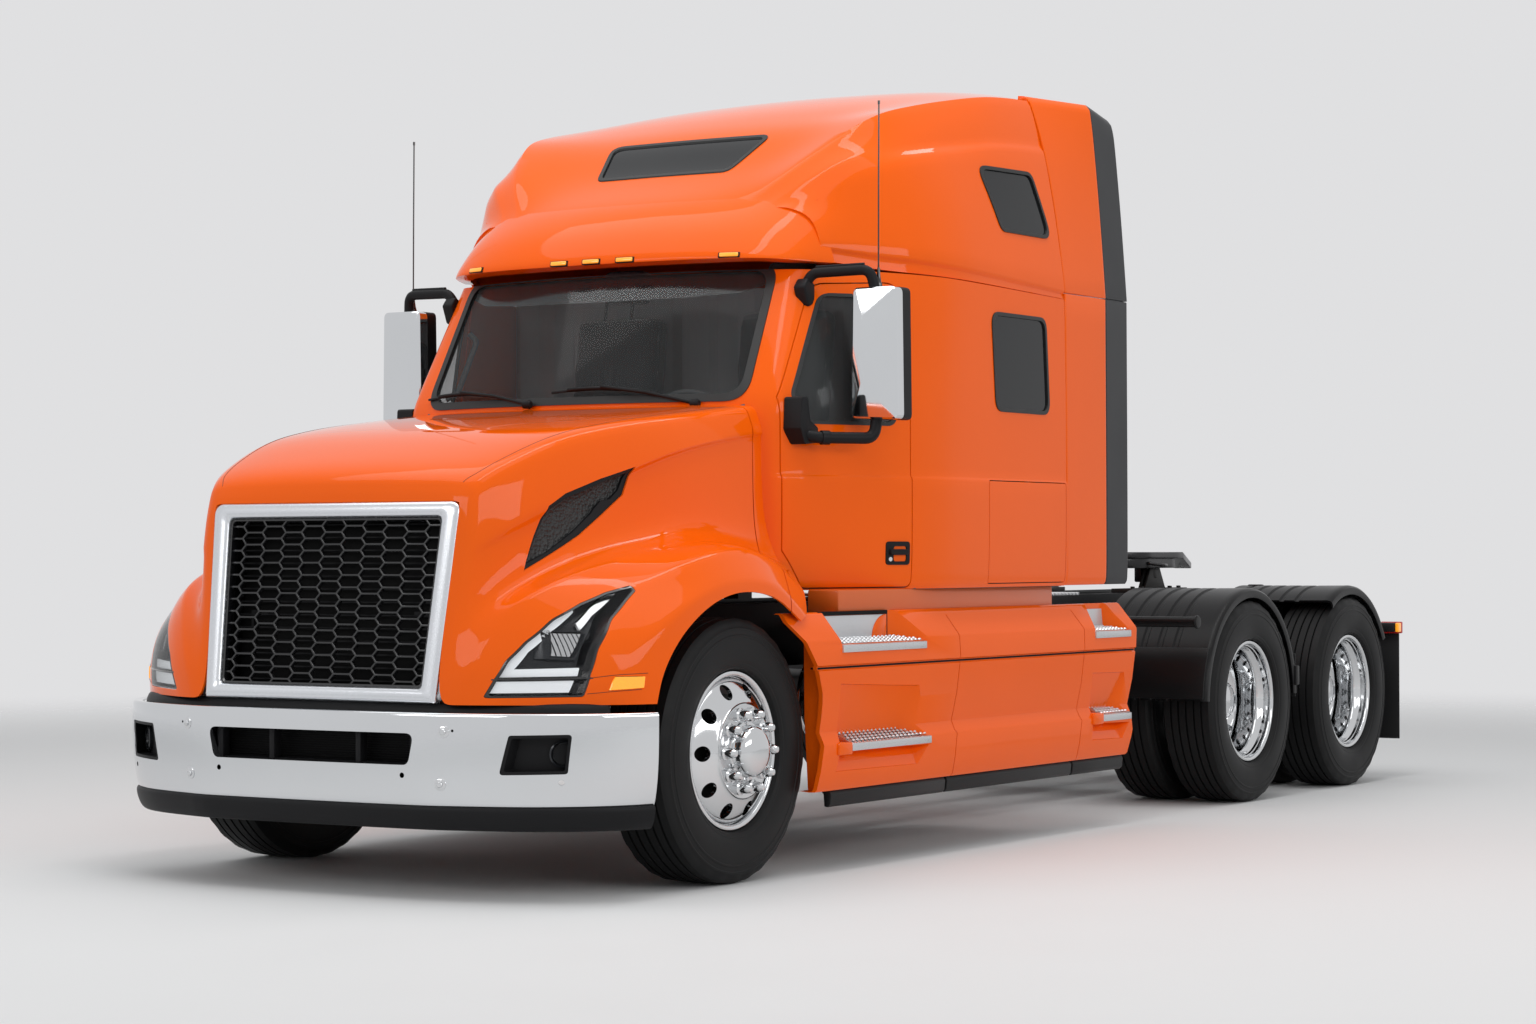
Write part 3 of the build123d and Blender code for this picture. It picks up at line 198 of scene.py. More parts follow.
def rounded(points: Sequence[Flat], radius: float | Sequence[float], steps: int = 5) -> list[Flat]:
    """Outline with each corner turned into an arc.

    Args:
        points: Corners of the outline.
        radius: One radius for all corners, or one for each.
        steps: Straight runs in each arc.

    Returns:
        The rounded outline.
    """
    radii = [radius] * len(points) if isinstance(radius, (int, float)) else list(radius)
    out: list[Flat] = []
    for i, corner in enumerate(points):
        here = Vector(corner)
        before, after = Vector(points[i - 1]) - here, Vector(points[(i + 1) % len(points)]) - here
        half = before.angle(after) / 2
        reach = radii[i] / math.tan(half) if radii[i] else 0
        reach = min(reach, before.length * 0.49, after.length * 0.49)
        if reach < 1e-6:
            out.append(tuple(here))
            continue
        start, end = here + before.normalized() * reach, here + after.normalized() * reach
        for k in range(steps + 1):
            t = k / steps
            out.append(tuple(start * (1 - t) ** 2 + here * 2 * t * (1 - t) + end * t ** 2))
    return out


def tube(name: str, points: Sequence[Sequence[float]], radius: float, closed: bool = False, bend: float = 0.0,
         resolution: int = 4, section: Sequence[Flat] | None = None) -> bpy.types.Object:
    """Round bar or strip along a path.

    Args:
        name: Name of the new object.
        points: The path's points.
        radius: Radius of a round bar.
        closed: True for a ring.
        bend: Radius of the path's corners.
        resolution: Facets in a quarter of the round section.
        section: Outline swept along the path in place of a circle.

    Returns:
        The mesh object.
    """
    path = [Vector(p) for p in points]
    if bend > 0:
        path = bent(path, bend, closed)
    curve = bpy.data.curves.new(name, "CURVE")
    curve.dimensions = "3D"
    spline = curve.splines.new("POLY")
    spline.points.add(len(path) - 1)
    for spot, p in zip(spline.points, path):
        spot.co = (*p, 1.0)
    spline.use_cyclic_u = closed
    curve.use_fill_caps = not closed
    profile = None
    if section:
        shape = bpy.data.curves.new(name + "_section", "CURVE")
        shape.dimensions = "2D"
        ring = shape.splines.new("POLY")
        ring.points.add(len(section) - 1)
        for spot, (u, v) in zip(ring.points, section):
            spot.co = (u, v, 0.0, 1.0)
        ring.use_cyclic_u = True
        profile = bpy.data.objects.new(name + "_section", shape)
        bpy.context.scene.collection.objects.link(profile)
        curve.bevel_mode = "OBJECT"
        curve.bevel_object = profile
        curve.twist_mode = "Z_UP"
    else:
        curve.bevel_depth = radius
        curve.bevel_resolution = resolution
    obj = bpy.data.objects.new(name, curve)
    bpy.context.scene.collection.objects.link(obj)
    select_only(obj)
    bpy.ops.object.convert(target="MESH")
    if profile:
        bpy.data.objects.remove(profile)
    outward(obj)
    smooth(obj, 50)
    return obj


def bent(path: Sequence[Vector], radius: float, closed: bool, steps: int = 6) -> list[Vector]:
    """A path with its inner corners rounded."""
    out: list[Vector] = []
    count = len(path)
    for i, here in enumerate(path):
        if not closed and i in (0, count - 1):
            out.append(here)
            continue
        before, after = path[i - 1] - here, path[(i + 1) % count] - here
        half = max(before.angle(after) / 2, 0.05)
        reach = min(radius / math.tan(half), before.length * 0.45, after.length * 0.45)
        if reach < 1e-5:
            out.append(here)
            continue
        start, end = here + before.normalized() * reach, here + after.normalized() * reach
        for k in range(steps + 1):
            t = k / steps
            out.append(start * (1 - t) ** 2 + here * 2 * t * (1 - t) + end * t ** 2)
    return out


def turned(name: str, profile: Sequence[Flat], centre: Point, steps: int = 48, sweep: float = 360.0,
           outward_y: float = 1.0) -> bpy.types.Object:
    """Closed (radius, depth) profile spun about the Y axis through centre.

    Args:
        name: Name of the new object.
        profile: (radius, depth along Y) points, closed.
        centre: Point on the axis.
        steps: Facets round the axis.
        sweep: Degrees to turn.
        outward_y: 1 when depth grows towards +Y, -1 towards -Y.

    Returns:
        The mesh object.
    """
    cx, cy, cz = centre
    obj = loop(name, [(cx, cy + outward_y * depth, cz + radius) for radius, depth in profile])
    in_edit(obj, lambda: bpy.ops.mesh.spin(steps=steps, angle=math.radians(sweep), center=centre, axis=(0, 1, 0)))
    outward(obj)
    smooth(obj)
    return obj


def joined(name: str, parts: Sequence[bpy.types.Object]) -> bpy.types.Object:
    """Several meshes made one object."""
    select_only(parts[0])
    for part in parts[1:]:
        part.select_set(True)
    bpy.ops.object.join()
    obj = bpy.context.object
    obj.name = obj.data.name = name
    return obj


def copied(obj: bpy.types.Object, name: str, move: Sequence[float] = (0, 0, 0),
           matrix: Matrix | None = None) -> bpy.types.Object:
    """A copy with its own mesh, moved or transformed."""
    twin = obj.copy()
    twin.data = obj.data.copy()
    twin.name = twin.data.name = name
    bpy.context.scene.collection.objects.link(twin)
    twin.data.transform(matrix if matrix else Matrix.Translation(Vector(move)))
    return twin


def mirrored(obj: bpy.types.Object, name: str) -> bpy.types.Object:
    """The right-hand twin of a left-hand piece."""
    twin = copied(obj, name, matrix=Matrix.Diagonal((1, -1, 1, 1)))
    in_edit(twin, lambda: bpy.ops.mesh.flip_normals())
    return twin


def carve(obj: bpy.types.Object, cutters: Sequence[bpy.types.Object], operation: str = "DIFFERENCE") -> None:
    """Boolean of a mesh with several cutters, which are used up."""
    for cutter in cutters:
        apply_modifier(obj, "BOOLEAN", operation=operation, solver="EXACT", object=cutter)
        bpy.data.objects.remove(cutter)
    smooth(obj)


def facing_out(obj: bpy.types.Object) -> bpy.types.Object:
    """Flips a closed mesh whose faces point inwards, and returns it."""
    mesh = obj.data
    mesh.calc_loop_triangles()
    corners = [mesh.vertices[i].co for triangle in mesh.loop_triangles for i in triangle.vertices]
    volume = sum(a.dot(b.cross(c)) for a, b, c in zip(corners[::3], corners[1::3], corners[2::3]))
    if volume < 0:
        in_edit(obj, lambda: bpy.ops.mesh.flip_normals())
    return obj


# ------------------------------------------------------------------ freeform panels
def along_line(points: Sequence[Sequence[float]], count: int) -> list[Vector]:
    """Points spread evenly by knot along a smooth line through the given ones."""
    knots = [Vector(p) for p in points]
    last = len(knots) - 1
    out = []
    for k in range(count):
        u = last * k / (count - 1)
        i = min(int(u), last - 1)
        t = u - i
        p0, p1, p2 = knots[max(i - 1, 0)], knots[i], knots[i + 1]
        p3 = knots[min(i + 2, last)]
        if i == 0:
            p0 = p1 * 2 - p2
        if i == last - 1:
            p3 = p2 * 2 - p1
        out.append(0.5 * ((2 * p1) + (p2 - p0) * t + (2 * p0 - 5 * p1 + 4 * p2 - p3) * t ** 2
                          + (3 * p1 - p0 - 3 * p2 + p3) * t ** 3))
    return out


def skin(name: str, lines: Sequence[Sequence[Sequence[float]]], samples: int, sharp: dict[int, float],
         levels: int = 2, mirror: bool = True) -> bpy.types.Object:
    """Smooth sheet through feature lines, started from a grid.

    Args:
        name: Name of the new object.
        lines: Feature lines, all from the same end, each with the same number of stations.
        samples: Rows taken along each line.
        sharp: Crease weight by line number.
        levels: Subdivision levels.
        mirror: True to add the other half about Y = 0.

    Returns:
        The open sheet.
    """
    rows = [along_line(line, samples) for line in lines]
    bpy.ops.object.select_all(action="DESELECT")
    bpy.ops.mesh.primitive_grid_add(x_subdivisions=samples - 1, y_subdivisions=len(rows) - 1, size=1)
    obj = bpy.context.object
    obj.name = obj.data.name = name
    for j, row in enumerate(rows):
        for i, point in enumerate(row):
            obj.data.vertices[j * samples + i].co = point
    crease = obj.data.attributes.new("crease_edge", "FLOAT", "EDGE")
    for edge in obj.data.edges:
        a, b = edge.vertices
        if a // samples == b // samples and a // samples in sharp:
            crease.data[edge.index].value = sharp[a // samples]
    obj.data.update()
    if mirror:
        apply_modifier(obj, "MIRROR", use_axis=(False, True, False), use_clip=True, merge_threshold=0.002)
    apply_modifier(obj, "SUBSURF", levels=levels, render_levels=levels, boundary_smooth="PRESERVE_CORNERS")
    in_edit(obj, lambda: bpy.ops.mesh.normals_make_consistent(inside=False))
    smooth(obj, 40)
    return obj


def walled(obj: bpy.types.Object, thickness: float, lined: bool = False) -> bpy.types.Object:
    """Gives an open sheet its wall, inwards from its outer face, with its own inner finish when lined."""
    in_edit(obj, lambda: bpy.ops.mesh.dissolve_degenerate(threshold=0.0001))
    apply_modifier(obj, "SOLIDIFY", thickness=thickness, offset=-1, use_quality_normals=True,
                   material_offset=1 if lined else 0)
    return obj


# ------------------------------------------------------------------ finishes
class Grain(Enum):
    """Fine surface pattern of a finish."""

    PEEL = "peel"
    CAST = "cast"
    PEBBLE = "pebble"
    BRUSHED = "brushed"
    WEAVE = "weave"


@dataclass(frozen=True)
class Finish:
    """Procedural material of one surface.

    Args:
        name: Material name.
        colour: Linear base colour.
        roughness: Middle roughness.
        metallic: 1 for bare metal.
        grain: The fine pattern.
        scale: Repeats of the pattern in a metre.
        vary: Share by which the colour wanders.
        rough_vary: How far the roughness wanders.
        bump: Strength of the pattern's relief.
        relief: Height of the relief in metres.
        stretch: Scale of the pattern along each axis.
        coat: Weight of a clear coat.
        coat_roughness: Roughness of the clear coat.
        ior: Refractive index of the base.
        alpha: Opacity seen face on, below 1 for glass.
        glow: Emission strength.
        sheen: Weight of a fabric's sheen.
        specular: Level of the base's own reflection.
        coat_ior: Refractive index of the clear coat.
    """

    name: str
    colour: Point
    roughness: float
    metallic: float = 0.0
    grain: Grain = Grain.CAST
    scale: float = 300.0
    vary: float = 0.05
    rough_vary: float = 0.05
    bump: float = 0.1
    relief: float = 0.0004
    stretch: Point = (1, 1, 1)
    coat: float = 0.0
    coat_roughness: float = 0.03
    ior: float = 1.5
    alpha: float = 1.0
    glow: float = 0.0
    sheen: float = 0.0
    specular: float = 0.5
    coat_ior: float = 1.5

    def material(self) -> bpy.types.Material:
        """The Blender material, made once and then shared."""
        label = self.name + "_finish"
        found = bpy.data.materials.get(label)
        if found:
            return found
        material = bpy.data.materials.new(label)
        material.use_nodes = True
        tree = material.node_tree
        shader = tree.nodes["Principled BSDF"]
        for socket, value in (("Metallic", self.metallic), ("IOR", self.ior), ("Coat Weight", self.coat),
                              ("Coat Roughness", self.coat_roughness), ("Sheen Weight", self.sheen),
                              ("Specular IOR Level", self.specular), ("Coat IOR", self.coat_ior)):
            shader.inputs[socket].default_value = value
        place = self._add(tree, "ShaderNodeTexCoord").outputs["Object"]
        mapping = self._add(tree, "ShaderNodeMapping", Scale=self.stretch)
        tree.links.new(place, mapping.inputs["Vector"])
        fine = self._fine(tree, mapping.outputs["Vector"])
        broad = self._add(tree, "ShaderNodeTexNoise", Scale=2.2, Detail=4.0, Roughness=0.55)
        tree.links.new(place, broad.inputs["Vector"])
        self._tint(tree, shader, broad.outputs["Fac"], fine)
        self._gloss(tree, shader, broad.outputs["Fac"], fine)
        bump = self._add(tree, "ShaderNodeBump", Strength=self.bump, Distance=self.relief)
        tree.links.new(fine, bump.inputs["Height"])
        tree.links.new(bump.outputs["Normal"], shader.inputs["Normal"])
        if self.grain is Grain.PEEL and self.coat:
            tree.links.new(bump.outputs["Normal"], shader.inputs["Coat Normal"])
        if self.glow:
            shader.inputs["Emission Color"].default_value = (*self.colour, 1)
            shader.inputs["Emission Strength"].default_value = self.glow
        if self.alpha < 1:
            self._see_through(tree, shader)
            material.surface_render_method = "BLENDED"
        return material

    @staticmethod
    def _add(tree: bpy.types.NodeTree, kind: str, **sockets: object) -> bpy.types.Node:
        """Adds a shader node and sets its sockets.

        Args:
            tree: The material's node tree.
            kind: Blender's name of the node type.
            sockets: Socket names and their values.

        Returns:
            The new node.
        """
        node = tree.nodes.new(kind)
        for name, value in sockets.items():
            node.inputs[name].default_value = value
        return node

    def _fine(self, tree: bpy.types.NodeTree, place: bpy.types.NodeSocket) -> bpy.types.NodeSocket:
        """Height of the fine pattern from 0 to 1."""
        if self.grain is Grain.PEBBLE:
            node = self._add(tree, "ShaderNodeTexVoronoi", Scale=self.scale)
            out = node.outputs["Distance"]
        elif self.grain is Grain.WEAVE:
            warp = self._add(tree, "ShaderNodeTexWave", Scale=self.scale / 6, Distortion=0.6)
            weft = self._add(tree, "ShaderNodeTexWave", Scale=self.scale / 6, Distortion=0.6)
            weft.bands_direction = "Z"
            for wave in (warp, weft):
                tree.links.new(place, wave.inputs["Vector"])
            cross = self._add(tree, "ShaderNodeMath")
            cross.operation = "MULTIPLY"
            tree.links.new(warp.outputs["Fac"], cross.inputs[0])
            tree.links.new(weft.outputs["Fac"], cross.inputs[1])
            return cross.outputs["Value"]
        else:
            detail = {Grain.PEEL: 1.0, Grain.CAST: 6.0, Grain.BRUSHED: 3.0}[self.grain]
            node = self._add(tree, "ShaderNodeTexNoise", Scale=self.scale, Detail=detail, Roughness=0.6)
            out = node.outputs["Fac"]
        tree.links.new(place, node.inputs["Vector"])
        return out

    def _tint(self, tree: bpy.types.NodeTree, shader: bpy.types.Node, broad: bpy.types.NodeSocket,
              fine: bpy.types.NodeSocket) -> None:
        """Base colour between a darker and a lighter tone."""
        both = self._add(tree, "ShaderNodeMath")
        both.operation = "MULTIPLY_ADD"
        both.inputs[1].default_value = 0.35
        tree.links.new(fine, both.inputs[0])
        tree.links.new(broad, both.inputs[2])
        ramp = tree.nodes.new("ShaderNodeValToRGB")
        ramp.color_ramp.elements[0].position, ramp.color_ramp.elements[1].position = 0.35, 0.95
        ramp.color_ramp.elements[0].color = (*[c * (1 - self.vary) for c in self.colour], 1)
        ramp.color_ramp.elements[1].color = (*[min(1, c * (1 + self.vary)) for c in self.colour], 1)
        tree.links.new(both.outputs["Value"], ramp.inputs["Fac"])
        tree.links.new(ramp.outputs["Color"], shader.inputs["Base Color"])

    def _gloss(self, tree: bpy.types.NodeTree, shader: bpy.types.Node, broad: bpy.types.NodeSocket,
               fine: bpy.types.NodeSocket) -> None:
        """Roughness that wanders with handling marks and with the pattern."""
        spread = self._add(tree, "ShaderNodeMapRange")
        for name, value in (("From Min", 0.3), ("From Max", 0.7),
                            ("To Min", max(0.0, self.roughness - self.rough_vary)),
                            ("To Max", min(1.0, self.roughness + self.rough_vary))):
            spread.inputs[name].default_value = value
        tree.links.new(fine if self.grain is Grain.BRUSHED else broad, spread.inputs["Value"])
        tree.links.new(spread.outputs["Result"], shader.inputs["Roughness"])

    def _see_through(self, tree: bpy.types.NodeTree, shader: bpy.types.Node) -> None:
        """Opacity that rises towards grazing angles, as tinted glass shows."""
        facing = self._add(tree, "ShaderNodeLayerWeight", Blend=0.5)
        steep = self._add(tree, "ShaderNodeMath")
        steep.operation = "POWER"
        steep.inputs[1].default_value = 4.0
        tree.links.new(facing.outputs["Facing"], steep.inputs[0])
        spread = self._add(tree, "ShaderNodeMapRange")
        for name, value in (("From Min", 0.0), ("From Max", 1.0), ("To Min", self.alpha), ("To Max", 1.0)):
            spread.inputs[name].default_value = value
        tree.links.new(steep.outputs["Value"], spread.inputs["Value"])
        tree.links.new(spread.outputs["Result"], shader.inputs["Alpha"])


ORANGE = Finish("orange_paint", (0.89, 0.118, 0.003), 0.38, grain=Grain.PEEL, scale=160, vary=0.02,
                rough_vary=0.03, bump=0.04, relief=0.0002, coat=1.0, coat_roughness=0.03, specular=0.0,
                coat_ior=1.26)
CHROME = Finish("polished_metal", (0.70, 0.715, 0.73), 0.06, 1.0, Grain.CAST, 220, 0.02, 0.03, 0.02)
SATIN = Finish("satin_metal", (0.72, 0.74, 0.77), 0.24, 1.0, Grain.BRUSHED, 90, 0.03, 0.05, 0.03,
               stretch=(1, 9, 1))
ALLOY = Finish("bright_aluminium", (0.68, 0.69, 0.70), 0.09, 1.0, Grain.CAST, 160, 0.03, 0.04, 0.02)
TREADPLATE = Finish("tread_aluminium", (0.62, 0.63, 0.64), 0.30, 1.0, Grain.BRUSHED, 120, 0.06, 0.08, 0.08,
                    stretch=(2, 14, 2))
PLASTIC = Finish("black_plastic", (0.010, 0.010, 0.011), 0.46, grain=Grain.PEBBLE, scale=420, vary=0.15,
                 bump=0.22, specular=0.14)
GLOSS_BLACK = Finish("gloss_black", (0.006, 0.006, 0.007), 0.12, grain=Grain.PEEL, scale=140, vary=0.1,
                     bump=0.03, coat=0.6)
FRAME_BLACK = Finish("black_frame_paint", (0.008, 0.008, 0.009), 0.42, grain=Grain.CAST, scale=110, vary=0.25,
                     rough_vary=0.1, bump=0.2, specular=0.3)
CAST_STEEL = Finish("cast_steel", (0.020, 0.019, 0.018), 0.5, 0.2, Grain.CAST, 140, 0.25, 0.12, 0.35,
                    specular=0.3)
TYRE = Finish("tyre_rubber", (0.0085, 0.0085, 0.0088), 0.50, grain=Grain.CAST, scale=240, vary=0.2,
              rough_vary=0.08, bump=0.18, specular=0.17)
RUBBER = Finish("flap_rubber", (0.008, 0.008, 0.0085), 0.50, grain=Grain.PEBBLE, scale=300, vary=0.15, bump=0.2,
                specular=0.3)
GASKET = Finish("window_rubber", (0.008, 0.008, 0.008), 0.5, grain=Grain.CAST, scale=500, vary=0.15, bump=0.1)
GLASS = Finish("screen_glass", (0.060, 0.066, 0.067), 0.03, grain=Grain.PEEL, scale=40, vary=0.05,
               rough_vary=0.01, bump=0.01, ior=1.45, alpha=0.16)
DARK_GLASS = Finish("privacy_glass", (0.008, 0.009, 0.010), 0.05, grain=Grain.PEEL, scale=40, vary=0.08,
                    rough_vary=0.015, bump=0.01, ior=1.38, alpha=0.93)
LAMP_LENS = Finish("lamp_lens", (0.02, 0.022, 0.025), 0.02, grain=Grain.PEEL, scale=60, vary=0.05,
                   rough_vary=0.01, bump=0.01, ior=1.5, alpha=0.07)
LAMP_BLACK = Finish("lamp_housing", (0.028, 0.030, 0.034), 0.22, 0.4, Grain.CAST, 200, 0.15, 0.06, 0.05)
LAMP_WHITE = Finish("lamp_light_guide", (0.86, 0.89, 0.92), 0.2, grain=Grain.BRUSHED, scale=120, vary=0.03,
                    rough_vary=0.05, bump=0.04, glow=0.35)
AMBER = Finish("amber_lens", (0.95, 0.36, 0.02), 0.15, grain=Grain.PEBBLE, scale=180, vary=0.15, bump=0.3,
               coat=0.8, glow=0.45)
RED_LENS = Finish("red_lens", (0.42, 0.012, 0.01), 0.15, grain=Grain.PEBBLE, scale=180, vary=0.15, bump=0.3,
                  coat=0.8, glow=0.1)
CABIN_TRIM = Finish("cabin_trim", (0.070, 0.072, 0.075), 0.6, grain=Grain.PEBBLE, scale=260, vary=0.15, bump=0.25,
                    specular=0.3)
CABIN_LINER = Finish("cabin_liner", (0.42, 0.43, 0.44), 0.8, grain=Grain.WEAVE, scale=900, vary=0.1, bump=0.2)
CLOTH = Finish("cloth", (0.045, 0.046, 0.050), 0.85, grain=Grain.WEAVE, scale=1300, vary=0.25, bump=0.5,
               relief=0.0008, sheen=0.3)
VENT_MESH = Finish("vent_mesh", (0.010, 0.010, 0.010), 0.5, grain=Grain.PEBBLE, scale=85, vary=0.6, bump=1.0,
                   relief=0.006)
GRILLE_BLACK = Finish("grille_black", (0.012, 0.012, 0.013), 0.25, grain=Grain.PEEL, scale=180, vary=0.1,
                      bump=0.05, coat=0.5, specular=0.3)
CORE_BLACK = Finish("radiator_core", (0.0035, 0.0035, 0.0035), 0.6, 0.0, Grain.BRUSHED, 300, 0.4, 0.1, 0.6, 0.001,
                    (1, 12, 1), specular=0.1)
SEAM_SHADOW = Finish("joint_shadow", (0.10, 0.018, 0.002), 0.6, grain=Grain.CAST, scale=200, vary=0.1, bump=0.05)
SIDE_GLASS = Finish("side_glass", (0.070, 0.076, 0.077), 0.03, grain=Grain.PEEL, scale=40, vary=0.06,
                    rough_vary=0.01, bump=0.01, ior=1.45, alpha=0.28)
MIRROR_GLASS = Finish("mirror_glass", (0.75, 0.76, 0.78), 0.02, 1.0, Grain.PEEL, 40, 0.02, 0.01, 0.005)
EXTENDER_BLACK = Finish("extender_black", (0.020, 0.021, 0.023), 0.42, grain=Grain.PEEL, scale=220, vary=0.1,
                        bump=0.12, specular=0.3)
# Body orange darkened for the cab sills: painted shade in the gap under the cab's edge.
SHADED_SILL_ORANGE = Finish("sill_orange_painted_shade", (0.60, 0.10, 0.006), 0.45, grain=Grain.PEEL, scale=160, vary=0.04, bump=0.06,
                     coat=0.3)
RISER_GREY = Finish("riser_grey", (0.60, 0.605, 0.62), 0.35, 0.5, Grain.BRUSHED, 120, 0.05, 0.08, 0.05,
                    stretch=(1, 1, 10))
FENDER_PLASTIC = Finish("fender_plastic", (0.008, 0.008, 0.0085), 0.34, grain=Grain.PEBBLE, scale=380, vary=0.12,
                        bump=0.12, specular=0.18)
GREASED = Finish("greased_plate", (0.020, 0.020, 0.021), 0.28, 0.4, Grain.CAST, 60, 0.35, 0.12, 0.3, 0.0006)
ENGINE_PAINT = Finish("engine_paint", (0.05, 0.055, 0.055), 0.5, 0.2, Grain.CAST, 60, 0.2, 0.1, 0.4, 0.001)


def dress(obj: bpy.types.Object, finish: Finish, body: str, slot: str, *nodes: str,
          inner: Finish | None = None) -> bpy.types.Object:
    """Sets a piece in place, paints it and hands it to its CAD body.

    Args:
        obj: The finished mesh, in axle coordinates.
        finish: Its outer finish.
        body: The CAD body that it moves with.
        slot: Material slot in the part's record; not used.
        nodes: CAD nodes that it stands for.
        inner: Finish of its inner wall, where that differs.

    Returns:
        The same object.
    """
    obj.data.transform(Matrix.Translation((AXLE_X, 0, 0)))
    obj.data.materials.clear()
    obj.data.materials.append(finish.material())
    if inner:
        obj.data.materials.append(inner.material())
    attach(obj, body)
    if nodes:
        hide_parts(*nodes)
    LOG.info("%s: %d faces on %s", obj.name, len(obj.data.polygons), body)
    return obj


def both_sides(obj: bpy.types.Object, finish: Finish, bodies: tuple[str, str], slot: str,
               nodes: tuple[str, str] | None = None, inner: Finish | None = None) -> None:
    """Dresses a left-hand piece and its right-hand twin.

    Args:
        obj: The left-hand mesh, in axle coordinates.
        finish: Outer finish of both.
        bodies: Left and right CAD body.
        slot: Material slot in the part's record.
        nodes: Left and right CAD node that they stand for.
        inner: Finish of the inner wall.
    """
    twin = mirrored(obj, obj.name + "_right")
    obj.name = obj.data.name = obj.name + "_left"
    for piece, side in ((obj, 0), (twin, 1)):
        dress(piece, finish, bodies[side], slot, *((nodes[side],) if nodes else ()), inner=inner)


# ------------------------------------------------------------------ shared outlines
AXLE_X = sum(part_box("steer_rim_left")[i][0] for i in (0, 1)) / 2
NOSE_LOW, NOSE_HIGH = (1.034, 0.702), (0.934, 1.43)

